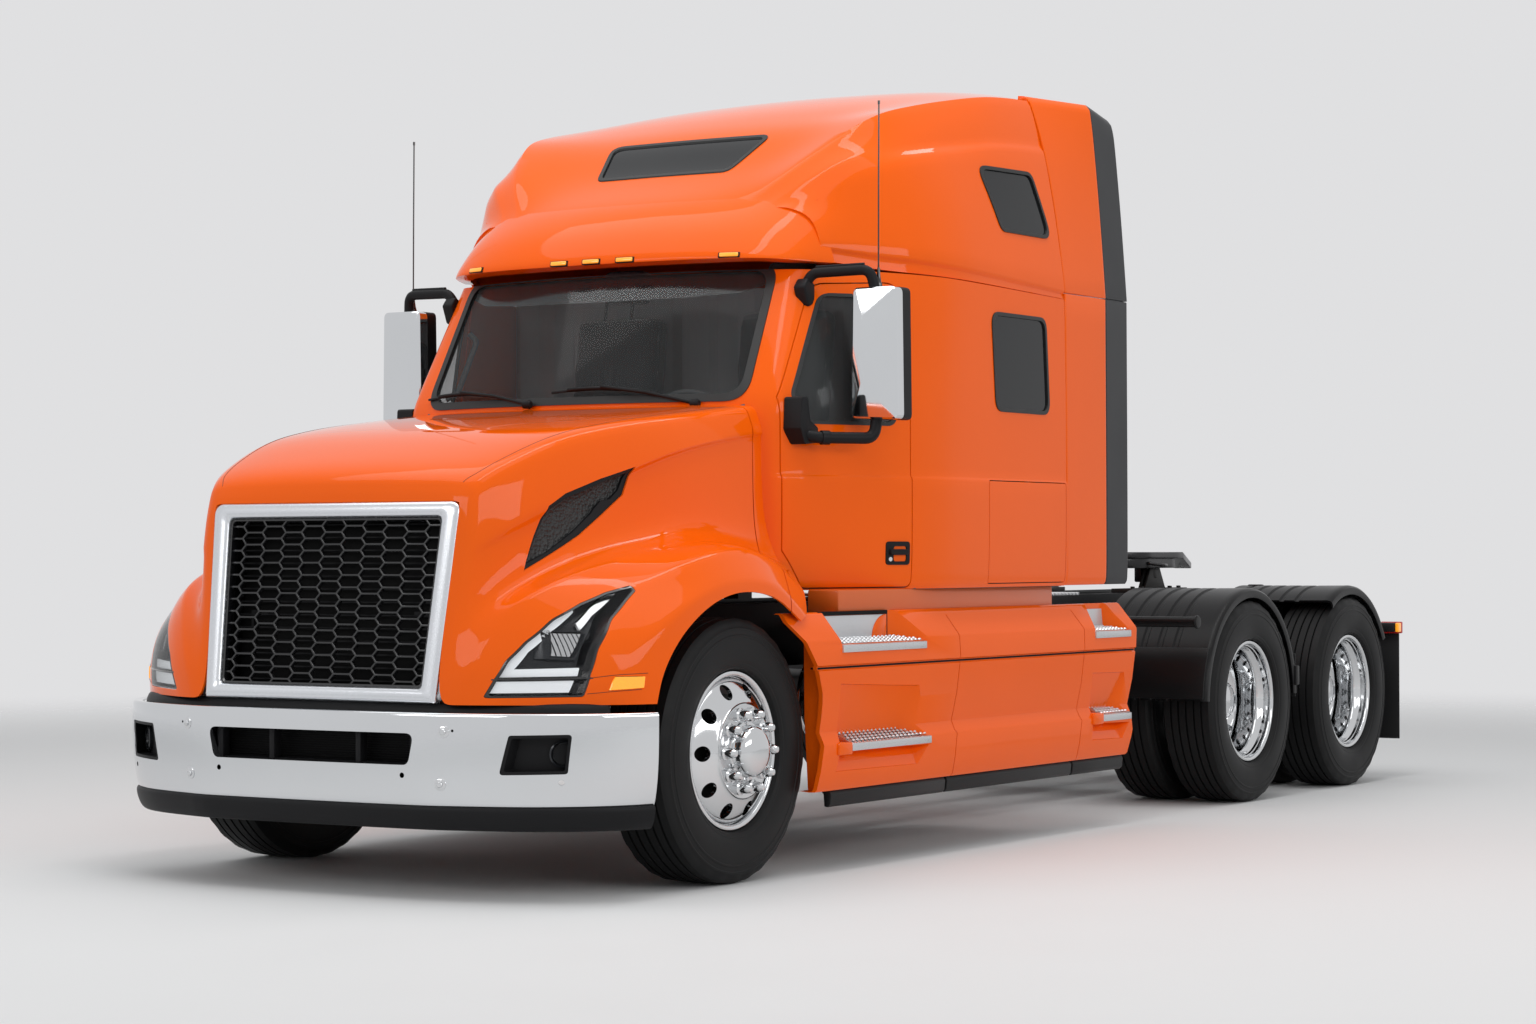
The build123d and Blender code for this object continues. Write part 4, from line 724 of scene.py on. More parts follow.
# stations of the hood's feature lines run from its front or lower edge back to the cowl
HOOD_LINES: dict[str, list[Point]] = {
    "centre": [(0.955, 0, 1.432), (0.947, 0, 1.475), (0.918, 0, 1.533), (0.80, 0, 1.60), (0.52, 0, 1.70),
               (0.21, 0, 1.757), (-0.06, 0, 1.79), (-0.35, 0, 1.822), (-0.66, 0, 1.856)],
    "quarter": [(0.955, 0.3, 1.432), (0.946, 0.3, 1.475), (0.916, 0.31, 1.531), (0.796, 0.33, 1.598),
                (0.52, 0.35, 1.698), (0.21, 0.37, 1.755), (-0.06, 0.385, 1.788), (-0.35, 0.395, 1.819),
                (-0.66, 0.40, 1.852)],
    "seam": [(0.955, 0.50, 1.432), (0.944, 0.51, 1.473), (0.911, 0.53, 1.526), (0.79, 0.56, 1.592),
             (0.52, 0.60, 1.692), (0.21, 0.64, 1.749), (-0.06, 0.66, 1.782), (-0.35, 0.675, 1.812),
             (-0.66, 0.69, 1.844)],
    "shoulder": [(0.953, 0.585, 1.432), (0.94, 0.61, 1.464), (0.905, 0.64, 1.512), (0.785, 0.682, 1.578),
                 (0.52, 0.737, 1.676), (0.21, 0.783, 1.733), (-0.06, 0.806, 1.766), (-0.35, 0.822, 1.798),
                 (-0.66, 0.838, 1.832)],
    "cheek": [(0.964, 0.578, 1.36), (0.955, 0.622, 1.378), (0.92, 0.658, 1.40), (0.80, 0.706, 1.465),
              (0.53, 0.762, 1.575), (0.22, 0.806, 1.655), (-0.05, 0.832, 1.705), (-0.35, 0.846, 1.742),
              (-0.66, 0.86, 1.775)],
    "lip": [(0.979, 0.572, 1.25), (0.965, 0.630, 1.262), (0.925, 0.667, 1.28), (0.80, 0.722, 1.345),
            (0.53, 0.778, 1.448), (0.22, 0.824, 1.555), (-0.05, 0.850, 1.632), (-0.35, 0.862, 1.685),
            (-0.66, 0.872, 1.722)],
    "under_lip": [(0.984, 0.570, 1.21), (0.969, 0.626, 1.225), (0.928, 0.660, 1.245), (0.80, 0.710, 1.318),
                  (0.53, 0.762, 1.424), (0.22, 0.808, 1.532), (-0.05, 0.836, 1.612), (-0.35, 0.852, 1.668),
                  (-0.66, 0.866, 1.708)],
    "valley": [(1.013, 0.559, 1.0), (1.0, 0.606, 1.01), (0.955, 0.655, 1.04), (0.84, 0.712, 1.12),
               (0.56, 0.780, 1.255), (0.24, 0.822, 1.335), (-0.04, 0.845, 1.37), (-0.35, 0.858, 1.39),
               (-0.66, 0.87, 1.40)],
    "shelf": [(1.054, 0.546, 0.702), (1.035, 0.602, 0.83), (0.968, 0.700, 1.0), (0.83, 0.780, 1.112),
              (0.545, 0.845, 1.218), (0.22, 0.882, 1.278), (-0.05, 0.896, 1.315), (-0.35, 0.898, 1.30),
              (-0.66, 0.90, 1.28)],
    "crest": [(1.045, 0.62, 0.702), (1.02, 0.68, 0.86), (0.93, 0.775, 1.03), (0.79, 0.86, 1.132),
              (0.52, 0.918, 1.212), (0.21, 0.948, 1.262), (-0.06, 0.952, 1.287), (-0.35, 0.94, 1.268),
              (-0.66, 0.925, 1.21)],
    "brow": [(1.032, 0.67, 0.702), (1.0, 0.745, 0.86), (0.905, 0.845, 1.005), (0.765, 0.925, 1.098),
             (0.54, 0.992, 1.17), (0.25, 1.05, 1.243), (-0.03, 1.055, 1.281), (-0.31, 1.045, 1.252),
             (-0.60, 1.03, 1.16)],
    "ridge": [(1.012, 0.724, 0.702), (0.975, 0.80, 0.84), (0.88, 0.90, 0.965), (0.74, 0.985, 1.048),
              (0.56, 1.06, 1.115), (0.30, 1.14, 1.215), (0.0, 1.152, 1.262), (-0.27, 1.15, 1.21),
              (-0.52, 1.13, 1.09)],
    "flare": [(0.88, 0.98, 0.702), (0.865, 1.0, 0.80), (0.80, 1.045, 0.90), (0.68, 1.095, 0.985),
              (0.50, 1.145, 1.075), (0.27, 1.185, 1.165), (0.02, 1.195, 1.19), (-0.22, 1.195, 1.15),
              (-0.46, 1.18, 1.02)],
    "flange": [(0.70, 1.16, 0.702), (0.695, 1.165, 0.80), (0.64, 1.18, 0.895), (0.55, 1.20, 0.98),
               (0.41, 1.213, 1.06), (0.23, 1.220, 1.118), (0.02, 1.223, 1.14), (-0.19, 1.222, 1.11),
               (-0.40, 1.21, 1.0)],
    "arch": [(0.61, 1.205, 0.702), (0.578, 1.208, 0.80), (0.512, 1.214, 0.895), (0.42, 1.219, 0.975),
             (0.30, 1.222, 1.042), (0.17, 1.225, 1.084), (0.02, 1.226, 1.097), (-0.17, 1.225, 1.07),
             (-0.36, 1.215, 0.98)],
}
HOOD_SHARP = {"shoulder": 0.35, "lip": 0.75, "under_lip": 0.6, "crest": 0.55, "ridge": 0.45, "flange": 0.4,
              "valley": 0.1}


def hood_master() -> bpy.types.Object:
    """The whole hood surface with both fenders, uncut."""
    lines = list(HOOD_LINES.values())
    sharp = {i: HOOD_SHARP[name] for i, name in enumerate(HOOD_LINES) if name in HOOD_SHARP}
    return skin("hood_master", lines, 21, sharp, levels=2)

ROOF_LINES: dict[str, list[Point]] = {
    "centre": [(-0.90, 0, 2.655), (-0.945, 0, 2.705), (-1.205, 0, 2.852), (-1.434, 0, 3.027), (-1.63, 0, 3.125),
               (-1.86, 0, 3.207), (-2.12, 0, 3.275), (-2.36, 0, 3.32), (-2.585, 0, 3.352)],
    "inner": [(-0.915, 0.36, 2.655), (-0.962, 0.36, 2.705), (-1.21, 0.36, 2.85), (-1.437, 0.40, 3.025),
              (-1.64, 0.41, 3.12), (-1.87, 0.42, 3.20), (-2.13, 0.43, 3.268), (-2.37, 0.43, 3.312),
              (-2.585, 0.43, 3.343)],
    "crown": [(-0.93, 0.52, 2.655), (-0.985, 0.52, 2.705), (-1.215, 0.57, 2.862), (-1.45, 0.62, 3.032),
              (-1.66, 0.65, 3.122), (-1.89, 0.68, 3.197), (-2.15, 0.71, 3.258), (-2.38, 0.74, 3.298),
              (-2.585, 0.76, 3.32)],
    "ridge": [(-0.94, 0.61, 2.655), (-1.0, 0.615, 2.712), (-1.20, 0.775, 2.905), (-1.45, 0.90, 3.07),
              (-1.70, 0.95, 3.14), (-1.95, 0.985, 3.19), (-2.20, 1.015, 3.232), (-2.40, 1.03, 3.25),
              (-2.585, 1.04, 3.258)],
    "under_ridge": [(-0.955, 0.65, 2.655), (-1.02, 0.68, 2.71), (-1.20, 0.84, 2.875), (-1.44, 0.948, 2.985),
                    (-1.68, 1.0, 3.05), (-1.93, 1.033, 3.095), (-2.18, 1.055, 3.135), (-2.40, 1.068, 3.15),
                    (-2.585, 1.075, 3.158)],
    "swoosh": [(-0.965, 0.68, 2.655), (-1.04, 0.735, 2.718), (-1.20, 0.895, 2.855), (-1.41, 0.985, 2.912),
               (-1.65, 1.033, 2.953), (-1.89, 1.06, 2.987), (-2.13, 1.08, 3.022), (-2.37, 1.093, 3.04),
               (-2.585, 1.10, 3.05)],
    "under_swoosh": [(-0.99, 0.76, 2.655), (-1.07, 0.825, 2.69), (-1.225, 0.957, 2.795), (-1.43, 1.04, 2.868),
                     (-1.66, 1.076, 2.915), (-1.89, 1.092, 2.952), (-2.13, 1.104, 2.988), (-2.37, 1.113, 3.008),
                     (-2.585, 1.118, 3.018)],
    "flank": [(-1.03, 0.865, 2.62), (-1.11, 0.91, 2.64), (-1.26, 1.01, 2.68), (-1.45, 1.10, 2.70),
              (-1.67, 1.145, 2.715), (-1.89, 1.16, 2.72), (-2.13, 1.168, 2.725), (-2.37, 1.173, 2.73),
              (-2.585, 1.175, 2.73)],
    "hem": [(-1.02, 0.905, 2.49), (-1.11, 0.955, 2.482), (-1.27, 1.068, 2.462), (-1.46, 1.158, 2.452),
            (-1.68, 1.20, 2.44), (-1.90, 1.212, 2.430), (-2.13, 1.216, 2.420), (-2.37, 1.218, 2.408),
            (-2.585, 1.219, 2.398)],
    "hem_under": [(-1.02, 0.897, 2.474), (-1.11, 0.945, 2.466), (-1.27, 1.056, 2.445), (-1.46, 1.144, 2.434),
                  (-1.68, 1.188, 2.422), (-1.90, 1.20, 2.412), (-2.13, 1.204, 2.402), (-2.37, 1.206, 2.392),
                  (-2.585, 1.207, 2.384)],
    "edge": [(-1.02, 0.90, 2.43), (-1.11, 0.95, 2.424), (-1.27, 1.06, 2.402), (-1.46, 1.15, 2.394),
             (-1.68, 1.194, 2.388), (-1.90, 1.207, 2.382), (-2.13, 1.21, 2.376), (-2.37, 1.212, 2.37),
             (-2.585, 1.213, 2.364)],
}
ROOF_SHARP = {"crown": 0.1, "ridge": 0.7, "swoosh": 0.5, "under_swoosh": 0.45, "hem": 0.8, "hem_under": 0.8}

VISOR_LINES: dict[str, list[Point]] = {
    "return": [(-0.76, 0, 2.425), (-0.765, 0.2, 2.425), (-0.785, 0.42, 2.425), (-0.81, 0.60, 2.425),
               (-0.85, 0.72, 2.425), (-0.90, 0.79, 2.42), (-0.955, 0.835, 2.42), (-1.01, 0.87, 2.42),
               (-1.065, 0.905, 2.42)],
    "bottom": [(-0.679, 0, 2.434), (-0.684, 0.2, 2.434), (-0.70, 0.43, 2.434), (-0.73, 0.62, 2.433),
               (-0.778, 0.755, 2.431), (-0.842, 0.832, 2.428), (-0.912, 0.875, 2.425), (-0.985, 0.912, 2.423),
               (-1.06, 0.948, 2.422)],
    "chin": [(-0.683, 0, 2.462), (-0.688, 0.2, 2.462), (-0.705, 0.43, 2.461), (-0.737, 0.615, 2.46),
             (-0.787, 0.75, 2.458), (-0.85, 0.826, 2.456), (-0.918, 0.87, 2.455), (-0.99, 0.905, 2.455),
             (-1.06, 0.938, 2.455)],
    "face": [(-0.742, 0, 2.565), (-0.748, 0.2, 2.565), (-0.768, 0.43, 2.563), (-0.802, 0.60, 2.56),
             (-0.852, 0.725, 2.556), (-0.91, 0.80, 2.552), (-0.968, 0.845, 2.55), (-1.02, 0.876, 2.55),
             (-1.067, 0.902, 2.55)],
    "upper": [(-0.858, 0, 2.662), (-0.865, 0.2, 2.662), (-0.888, 0.42, 2.66), (-0.918, 0.57, 2.658),
              (-0.955, 0.685, 2.654), (-0.995, 0.757, 2.65), (-1.03, 0.805, 2.646), (-1.06, 0.84, 2.642),
              (-1.085, 0.868, 2.64)],
    "top": [(-0.932, 0, 2.704), (-0.938, 0.2, 2.704), (-0.962, 0.42, 2.704), (-0.988, 0.555, 2.704),
            (-1.01, 0.65, 2.704), (-1.035, 0.712, 2.703), (-1.058, 0.765, 2.701), (-1.077, 0.81, 2.699),
            (-1.092, 0.848, 2.697)],
    "tuck": [(-0.937, 0, 2.694), (-0.943, 0.2, 2.694), (-0.967, 0.42, 2.694), (-0.993, 0.552, 2.694),
             (-1.015, 0.645, 2.694), (-1.04, 0.706, 2.693), (-1.062, 0.758, 2.691), (-1.081, 0.802, 2.689),
             (-1.094, 0.84, 2.687)],
}
VISOR_SHARP = {"bottom": 0.7, "chin": 0.25, "top": 0.7}

# the cab's plan at the belt and at the roof seam, from the middle of the front to the rear corner
CAB_STATIONS: list[tuple[Flat, Flat]] = [
    ((-0.470, 0), (-0.755, 0)), ((-0.480, 0.22), (-0.765, 0.22)), ((-0.505, 0.43), (-0.795, 0.43)),
    ((-0.553, 0.64), (-0.845, 0.63)), ((-0.604, 0.80), (-0.898, 0.785)), ((-0.628, 0.876), (-0.920, 0.838)),
    ((-0.664, 0.934), (-0.955, 0.876)), ((-0.82, 1.004), (-1.06, 0.955)), ((-1.05, 1.092), (-1.20, 1.048)),
    ((-1.29, 1.173), (-1.36, 1.135)), ((-1.45, 1.206), (-1.50, 1.182)), ((-1.62, 1.22), (-1.65, 1.207)),
    ((-2.10, 1.224), (-2.10, 1.216)), ((-2.585, 1.222), (-2.585, 1.216)),
]
BELT, SEAM = 1.844, 2.392
CREASE = 1.555
# height, how far the side stands out there, crease weight
CAB_LEVELS = [(1.094, -0.012, 0), (1.112, 0.002, 0.2), (1.30, 0.008, 0), (CREASE - 0.012, 0.008, 0.6),
              (CREASE + 0.002, 0.0, 0.6), (1.70, 0.0, 0), (BELT, 0.0, 0.25), (2.0, 0.0, 0), (2.2, 0.0, 0),
              (2.34, 0.0, 0), (SEAM, -0.002, 0)]
SEAM_DROP = 0.030           # how much lower the roof seam ends at the back
DOOR = [(-0.662, 1.25), (-0.662, 1.862), (-0.945, 2.335), (-1.288, 2.352), (-1.288, 1.098), (-0.752, 1.098)]
DOOR_WINDOW = [(-0.715, 1.875), (-0.752, 1.757), (-1.212, 1.757), (-1.222, 2.296), (-0.962, 2.296)]
WINDSCREEN = [(-0.792, 1.862), (0.792, 1.862), (0.762, 2.405), (-0.762, 2.405)]
SLEEPER_WINDOW = [(-1.90, 2.268), (-2.40, 2.268), (-2.425, 1.842), (-1.925, 1.842)]
UPPER_WINDOW = [(-1.955, 2.905), (-2.42, 2.915), (-2.515, 2.622), (-2.06, 2.622)]
LOCKER = [(-1.852, 1.108), (-1.852, 1.548), (-2.572, 1.548), (-2.572, 1.108)]


def master(name: str, lines: dict[str, list[Point]], sharp: dict[str, float], samples: int,
           levels: int = 2, mirror: bool = True) -> bpy.types.Object:
    """Uncut surface through named feature lines."""
    weights = {i: sharp[key] for i, key in enumerate(lines) if key in sharp}
    return skin(name, list(lines.values()), samples, weights, levels, mirror)


def cab_master() -> bpy.types.Object:
    """The cab's whole outer surface from the windscreen's middle to its rear corners."""
    lines = {}
    sharp = {}
    for z, out, weight in CAB_LEVELS:
        t = max(0.0, (z - BELT) / (SEAM - BELT))
        row = []
        for (bx, by), (sx, sy) in CAB_STATIONS:
            x, y = bx + (sx - bx) * t, by + (sy - by) * t
            drop = SEAM_DROP * t * min(1.0, max(0.0, (-1.2 - x) / 1.385)) if z >= 2.3 else 0.0
            push = out if y > 0.88 else 0.0
            row.append((x, y + push, z - drop))
        lines[f"z{z}"] = row
        sharp[f"z{z}"] = weight
    return master("cab_master", lines, sharp, 27)


def side_cutter(name: str, outline: Sequence[Flat], low: float = 0.6, high: float = 1.5) -> bpy.types.Object:
    """Prism through the left side of the truck."""
    obj = loop(name, side_outline(outline, low), fill=True)
    in_edit(obj, lambda: bpy.ops.mesh.extrude_region_move(TRANSFORM_OT_translate={"value": (0, high - low, 0)}))
    outward(obj)
    return obj


def front_cutter(name: str, outline: Sequence[Flat], low: float, high: float) -> bpy.types.Object:
    """Prism through the truck's front."""
    obj = loop(name, front_outline(outline, low), fill=True)
    in_edit(obj, lambda: bpy.ops.mesh.extrude_region_move(TRANSFORM_OT_translate={"value": (high - low, 0, 0)}))
    outward(obj)
    return obj


def plan_cutter(name: str, outline: Sequence[Flat], low: float, high: float) -> bpy.types.Object:
    """Prism through the truck from above."""
    obj = loop(name, plan_outline(outline, low), fill=True)
    in_edit(obj, lambda: bpy.ops.mesh.extrude_region_move(TRANSFORM_OT_translate={"value": (0, 0, high - low)}))
    outward(obj)
    return obj


def patch(surface: bpy.types.Object, name: str, test: Callable[[Vector], bool]) -> bpy.types.Object:
    """Copy of a surface that keeps the faces whose middle passes the test."""
    part = copied(surface, name)
    pick(part, lambda middle: not test(middle))
    in_edit(part, lambda: bpy.ops.mesh.delete(type="FACE"), select="KEEP")
    return part


def strip(surface: bpy.types.Object, name: str, cutter: bpy.types.Object, push: float, thickness: float,
          hole: bpy.types.Object | None = None, lined: bool = False) -> bpy.types.Object:
    """Walled piece of a surface under a cutter.

    Args:
        surface: The open surface.
        name: Name of the new object.
        cutter: Closed prism that keeps the piece, used up.
        push: How far the piece stands out from the surface.
        thickness: Its wall, inwards.
        hole: Closed prism that opens the piece, used up.
        lined: True where the inner wall has its own finish.

    Returns:
        The closed mesh object.
    """
    part = copied(surface, name)
    if push:
        apply_modifier(part, "DISPLACE", strength=push, mid_level=0.0)
    walled(part, thickness, lined)
    if hole:
        whole, ring, plug = part.data.copy(), copied(cutter, "ring"), copied(hole, "plug")
    carve(part, [cutter], "INTERSECT")
    if hole:
        carve(part, [hole])
        if part.data.polygons:
            bpy.data.objects.remove(ring)
            bpy.data.objects.remove(plug)
        else:
            LOG.info("%s: cut with a ring", name)
            part.data = whole
            carve(ring, [plug])
            carve(part, [ring], "INTERSECT")
    smooth(part)
    return part


def wrapped(surface: bpy.types.Object, points: Sequence[Point], toward: Point) -> list[Vector]:
    """Points dropped onto a surface along a direction."""
    out = []
    for point in points:
        hit, spot, _, _ = surface.ray_cast(Vector(point), Vector(toward))
        if hit:
            out.append(spot.copy())
    return out


def grown(outline: Sequence[Flat], gap: float) -> list[Flat]:
    """Outline moved outwards by gap, or inwards when it is negative."""
    count = len(outline)
    area = sum(outline[i][0] * outline[(i + 1) % count][1] - outline[(i + 1) % count][0] * outline[i][1]
               for i in range(count))
    turn = 1 if area > 0 else -1
    moved = []
    for i in range(count):
        a, b, c = Vector(outline[i - 1]), Vector(outline[i]), Vector(outline[(i + 1) % count])
        u, v = (b - a).normalized(), (c - b).normalized()
        n1, n2 = Vector((u.y, -u.x)) * turn, Vector((v.y, -v.x)) * turn
        middle = (n1 + n2)
        middle = middle / max(0.3, middle.length_squared / 2) if middle.length > 1e-6 else n1
        moved.append(tuple(b + middle * gap))
    return moved


# ------------------------------------------------------------------ front end
LENS = [(1.011, 0.727), (0.995, 0.792), (0.972, 0.86), (0.926, 0.928), (0.848, 1.008), (0.747, 1.064),
        (0.651, 1.101), (0.550, 1.127), (0.553, 1.105), (0.603, 1.071), (0.692, 1.003), (0.77, 0.901),
        (0.802, 0.813), (0.82, 0.731), (0.92, 0.729)]
LENS_RADII = (0.008, 0.1, 0.12, 0.12, 0.15, 0.15, 0.1, 0.01, 0.01, 0.1, 0.15, 0.15, 0.1, 0.01, 0)
LIGHT_GUIDE = [(0.763, 1.048), (0.854, 0.989), (0.931, 0.902), (0.974, 0.801), (0.823, 0.805), (0.816, 0.834),
               (0.946, 0.829), (0.913, 0.890), (0.850, 0.962), (0.768, 1.030)]
LOW_BAR = [(0.995, 0.744), (0.985, 0.785), (0.835, 0.789), (0.846, 0.747)]
BEZEL = [(0.872, 0.968), (0.765, 0.966), (0.822, 0.862), (0.890, 0.866)]
PROJECTOR = [(0.848, 0.958), (0.775, 0.956), (0.826, 0.873), (0.868, 0.877)]
TIP_STRIP = [(0.563, 1.113), (0.62, 1.083), (0.72, 1.018), (0.778, 0.965), (0.776, 0.990), (0.71, 1.045),
             (0.62, 1.100)]
MARKER = [(0.753, 0.785), (0.744, 0.803), (0.651, 0.803), (0.658, 0.760), (0.762, 0.753)]
LOUVRE = [(0.778, 1.178), (0.714, 1.305), (0.648, 1.415), (0.563, 1.462), (0.387, 1.518), (0.195, 1.567),
          (0.254, 1.46), (0.375, 1.384), (0.502, 1.309), (0.655, 1.236)]
LOUVRE_MESH = [(0.755, 1.205), (0.702, 1.302), (0.636, 1.402), (0.559, 1.444), (0.389, 1.499), (0.231, 1.543),
               (0.272, 1.478), (0.318, 1.444), (0.367, 1.436), (0.402, 1.410), (0.426, 1.387), (0.523, 1.322),
               (0.651, 1.250)]
HOOD_EDGE = [(-0.273, 1.225), (-0.563, 0.862), (-0.523, 0.64), (-0.403, 0.0)]     # hood's rear edge, left half
PANEL_GAP = 0.0055
SURROUND_OUTER = [(0.545, 0.702), (0.588, 1.430), (-0.588, 1.430), (-0.545, 0.702)]
SURROUND_INNER = [(0.478, 0.757), (0.506, 1.374), (-0.506, 1.374), (-0.478, 0.757)]


def band(name: str, outer: Sequence[Flat], inner: Sequence[Flat], section: Sequence[Flat],
         place: Callable[[float, float, float], Point]) -> bpy.types.Object:
    """Closed frame between two matched outlines, started from a torus.

    Args:
        name: Name of the new object.
        outer: Outline at t = 0.
        inner: Outline at t = 1, with as many points.
        section: (t, height) points round the frame's section.
        place: Turns (u, v, height) into a point.

    Returns:
        The closed mesh object.
    """
    bpy.ops.object.select_all(action="DESELECT")
    bpy.ops.mesh.primitive_torus_add(major_segments=len(outer), minor_segments=len(section))
    obj = bpy.context.object
    obj.name = obj.data.name = name
    for i, ((u0, v0), (u1, v1)) in enumerate(zip(outer, inner)):
        for j, (t, height) in enumerate(section):
            obj.data.vertices[i * len(section) + j].co = place(u0 + (u1 - u0) * t, v0 + (v1 - v0) * t, height)
    obj.data.update()
    outward(obj)
    smooth(obj, 40)
    return obj


def on_nose(y: float, z: float, out: float) -> Point:
    """Point on the leaning plane of the grille, a little bowed in plan."""
    lean = (NOSE_LOW[0] - NOSE_HIGH[0]) / (NOSE_HIGH[1] - NOSE_LOW[1])
    bow = 0.010 * (1 - (y / 0.588) ** 2)
    return (NOSE_LOW[0] - lean * (z - NOSE_LOW[1]) + bow + out * 0.9907, y, z + out * 0.136)


@dataclass
class FrontEnd:
    """Tilting hood with fenders, vents, lamps and grille, and the cowl behind it.

    Args:
        wall: Thickness of the moulded panels.
        border: Width of the black frame round a lamp.
        cell: Pitch of the grille's openings across and up.
        slant: How far a cell's ends reach into the next column.
        web: Width of the grille's bars.
    """

    wall: float = 0.009
    border: float = 0.007
    cell: Flat = (0.0965, 0.0452)
    slant: float = 0.021
    web: float = 0.0072

    def build(self) -> None:
        """Makes every piece of the front end."""
        surface = hood_master()
        self._hood(surface)
        self._cowl(surface)
        for low, high, side in ((0.6, 1.5, "left"), (-1.5, -0.6, "right")):
            self._headlamp(surface, low, high, side)
            self._louvre(surface, low, high, side)
        self._seams(surface)
        bpy.data.objects.remove(surface)
        self._surround()
        self._mesh()

    def _hood(self, surface: bpy.types.Object) -> None:
        """The hood with its fenders, opened for the lamps and vents.

        Args:
            surface: The open master surface.
        """
        left = [(1.4, 1.4), (HOOD_EDGE[0][0], 1.4)] + HOOD_EDGE
        region = left + [(x, -y) for x, y in reversed(left[:-1])]
        hood = strip(surface, "hood_shell", plan_cutter("hood_region", region, 0.3, 2.2), 0.0, self.wall,
                     lined=True)
        for low, high in ((0.6, 1.5), (-1.5, -0.6)):
            carve(hood, [side_cutter("lamp_hole", rounded(LENS, LENS_RADII, 4), low, high),
                         side_cutter("louvre_hole", LOUVRE, low, high),
                         side_cutter("marker_hole", MARKER, low, high)])
        smooth(hood, 40)
        dress(hood, ORANGE, "hood", "orange_paint", "hood", inner=PLASTIC)

    def _cowl(self, surface: bpy.types.Object) -> None:
        """The fixed panel between the hood and the windscreen.

        Args:
            surface: The open master surface.
        """
        gap = [(x - PANEL_GAP, y) for x, y in HOOD_EDGE]
        screen = [(-0.482, 0.0), (-0.492, 0.22), (-0.517, 0.43), (-0.565, 0.64), (-0.616, 0.80), (-0.640, 0.876),
                  (-0.674, 0.934), (-0.70, 0.953), (-0.70, 1.4)]
        left = list(reversed(gap)) + [(gap[0][0], 1.4)] + list(reversed(screen))
        mirror = [(x, -y) for x, y in reversed(left) if abs(y) > 1e-6]
        rear = patch(surface, "cowl_patch", lambda p: p.x < -0.15)
        cowl = strip(rear, "cowl_panel", plan_cutter("cowl_region", left + mirror, 0.3, 2.2), 0.0, self.wall)
        bpy.data.objects.remove(rear)
        smooth(cowl, 40)
        dress(cowl, ORANGE, "chassis", "orange_paint", "cowl")

    def _headlamp(self, surface: bpy.types.Object, low: float, high: float, side: str) -> None:
        """One headlamp: bowl, border, light guides, projector and lens.

        Args:
            surface: The open master surface.
            low: Where the cutters begin across the truck, m.
            high: Where they end, m.
            side: "left" or "right".
        """
        sign = 1 if side == "left" else -1
        near = patch(surface, "lamp_patch", lambda p: p.y * sign > 0.62 and p.x > 0.40 and p.z < 1.22)

        def cut(outline: Sequence[Flat]) -> bpy.types.Object:
            return side_cutter("cut", outline, low, high)

        def piece(name: str, outline: Sequence[Flat], push: float, thickness: float,
                  hole: Sequence[Flat] | None = None) -> bpy.types.Object:
            return strip(near, f"{name}_{side}", cut(outline), push, thickness, cut(hole) if hole else None)

        def inset(distance: float) -> list[Flat]:
            return rounded(grown(LENS, -distance), LENS_RADII, 4)

        ring = piece("headlamp_border", inset(0.0015), -0.001, 0.045, inset(self.border))
        dress(ring, GLOSS_BLACK, "hood", "gloss_black")
        back = piece("headlamp_bowl", inset(0.003), -0.045, 0.004)
        dress(back, LAMP_BLACK, "hood", "gloss_black", *(("headlamps",) if side == "left" else ()))
        dress(piece("headlamp_lens", inset(0.005), -0.0005, 0.003), LAMP_LENS, "hood", "lamp_lens")
        guides = [piece("guide", LIGHT_GUIDE, -0.016, 0.010), piece("low_bar", LOW_BAR, -0.012, 0.012)]
        dress(joined(f"headlamp_light_guide_{side}", guides), LAMP_WHITE, "hood", "lamp_lens")
        divider = [(0.998, 0.7905), (0.998, 0.7955), (0.80, 0.8005), (0.80, 0.7955)]
        shelf = [(0.99, 0.7905), (0.98, 0.801), (0.80, 0.803), (0.80, 0.7955)]
        parts = [piece("line", divider, 0.0006, 0.004), piece("shelf", shelf, -0.004, 0.036)]
        dress(joined(f"headlamp_divider_{side}", parts), GLOSS_BLACK, "hood", "gloss_black")
        bezel = piece("headlamp_bezel", BEZEL, -0.016, 0.022, grown(PROJECTOR, 0.004))
        dress(bezel, LAMP_BLACK, "hood", "gloss_black")
        lamp = piece("projector", PROJECTOR, -0.024, 0.012)
        grooves = [cut([(x, 0.85), (x + 0.003, 0.85), (x + 0.003, 0.99), (x, 0.99)])
                   for x in (0.786, 0.797, 0.808, 0.819, 0.830, 0.841, 0.852)]
        carve(lamp, [joined("grooves", grooves)])
        tip = piece("tip_strip", TIP_STRIP, -0.020, 0.006)
        dress(joined(f"headlamp_projector_{side}", [lamp, tip]), ALLOY, "hood", "polished_metal")
        marker = piece("side_marker", grown(MARKER, -0.0015), 0.003, 0.014)
        apply_modifier(marker, "BEVEL", width=0.002, segments=2, limit_method="ANGLE")
        dress(marker, AMBER, "hood", "lamp_lens")
        bpy.data.objects.remove(near)

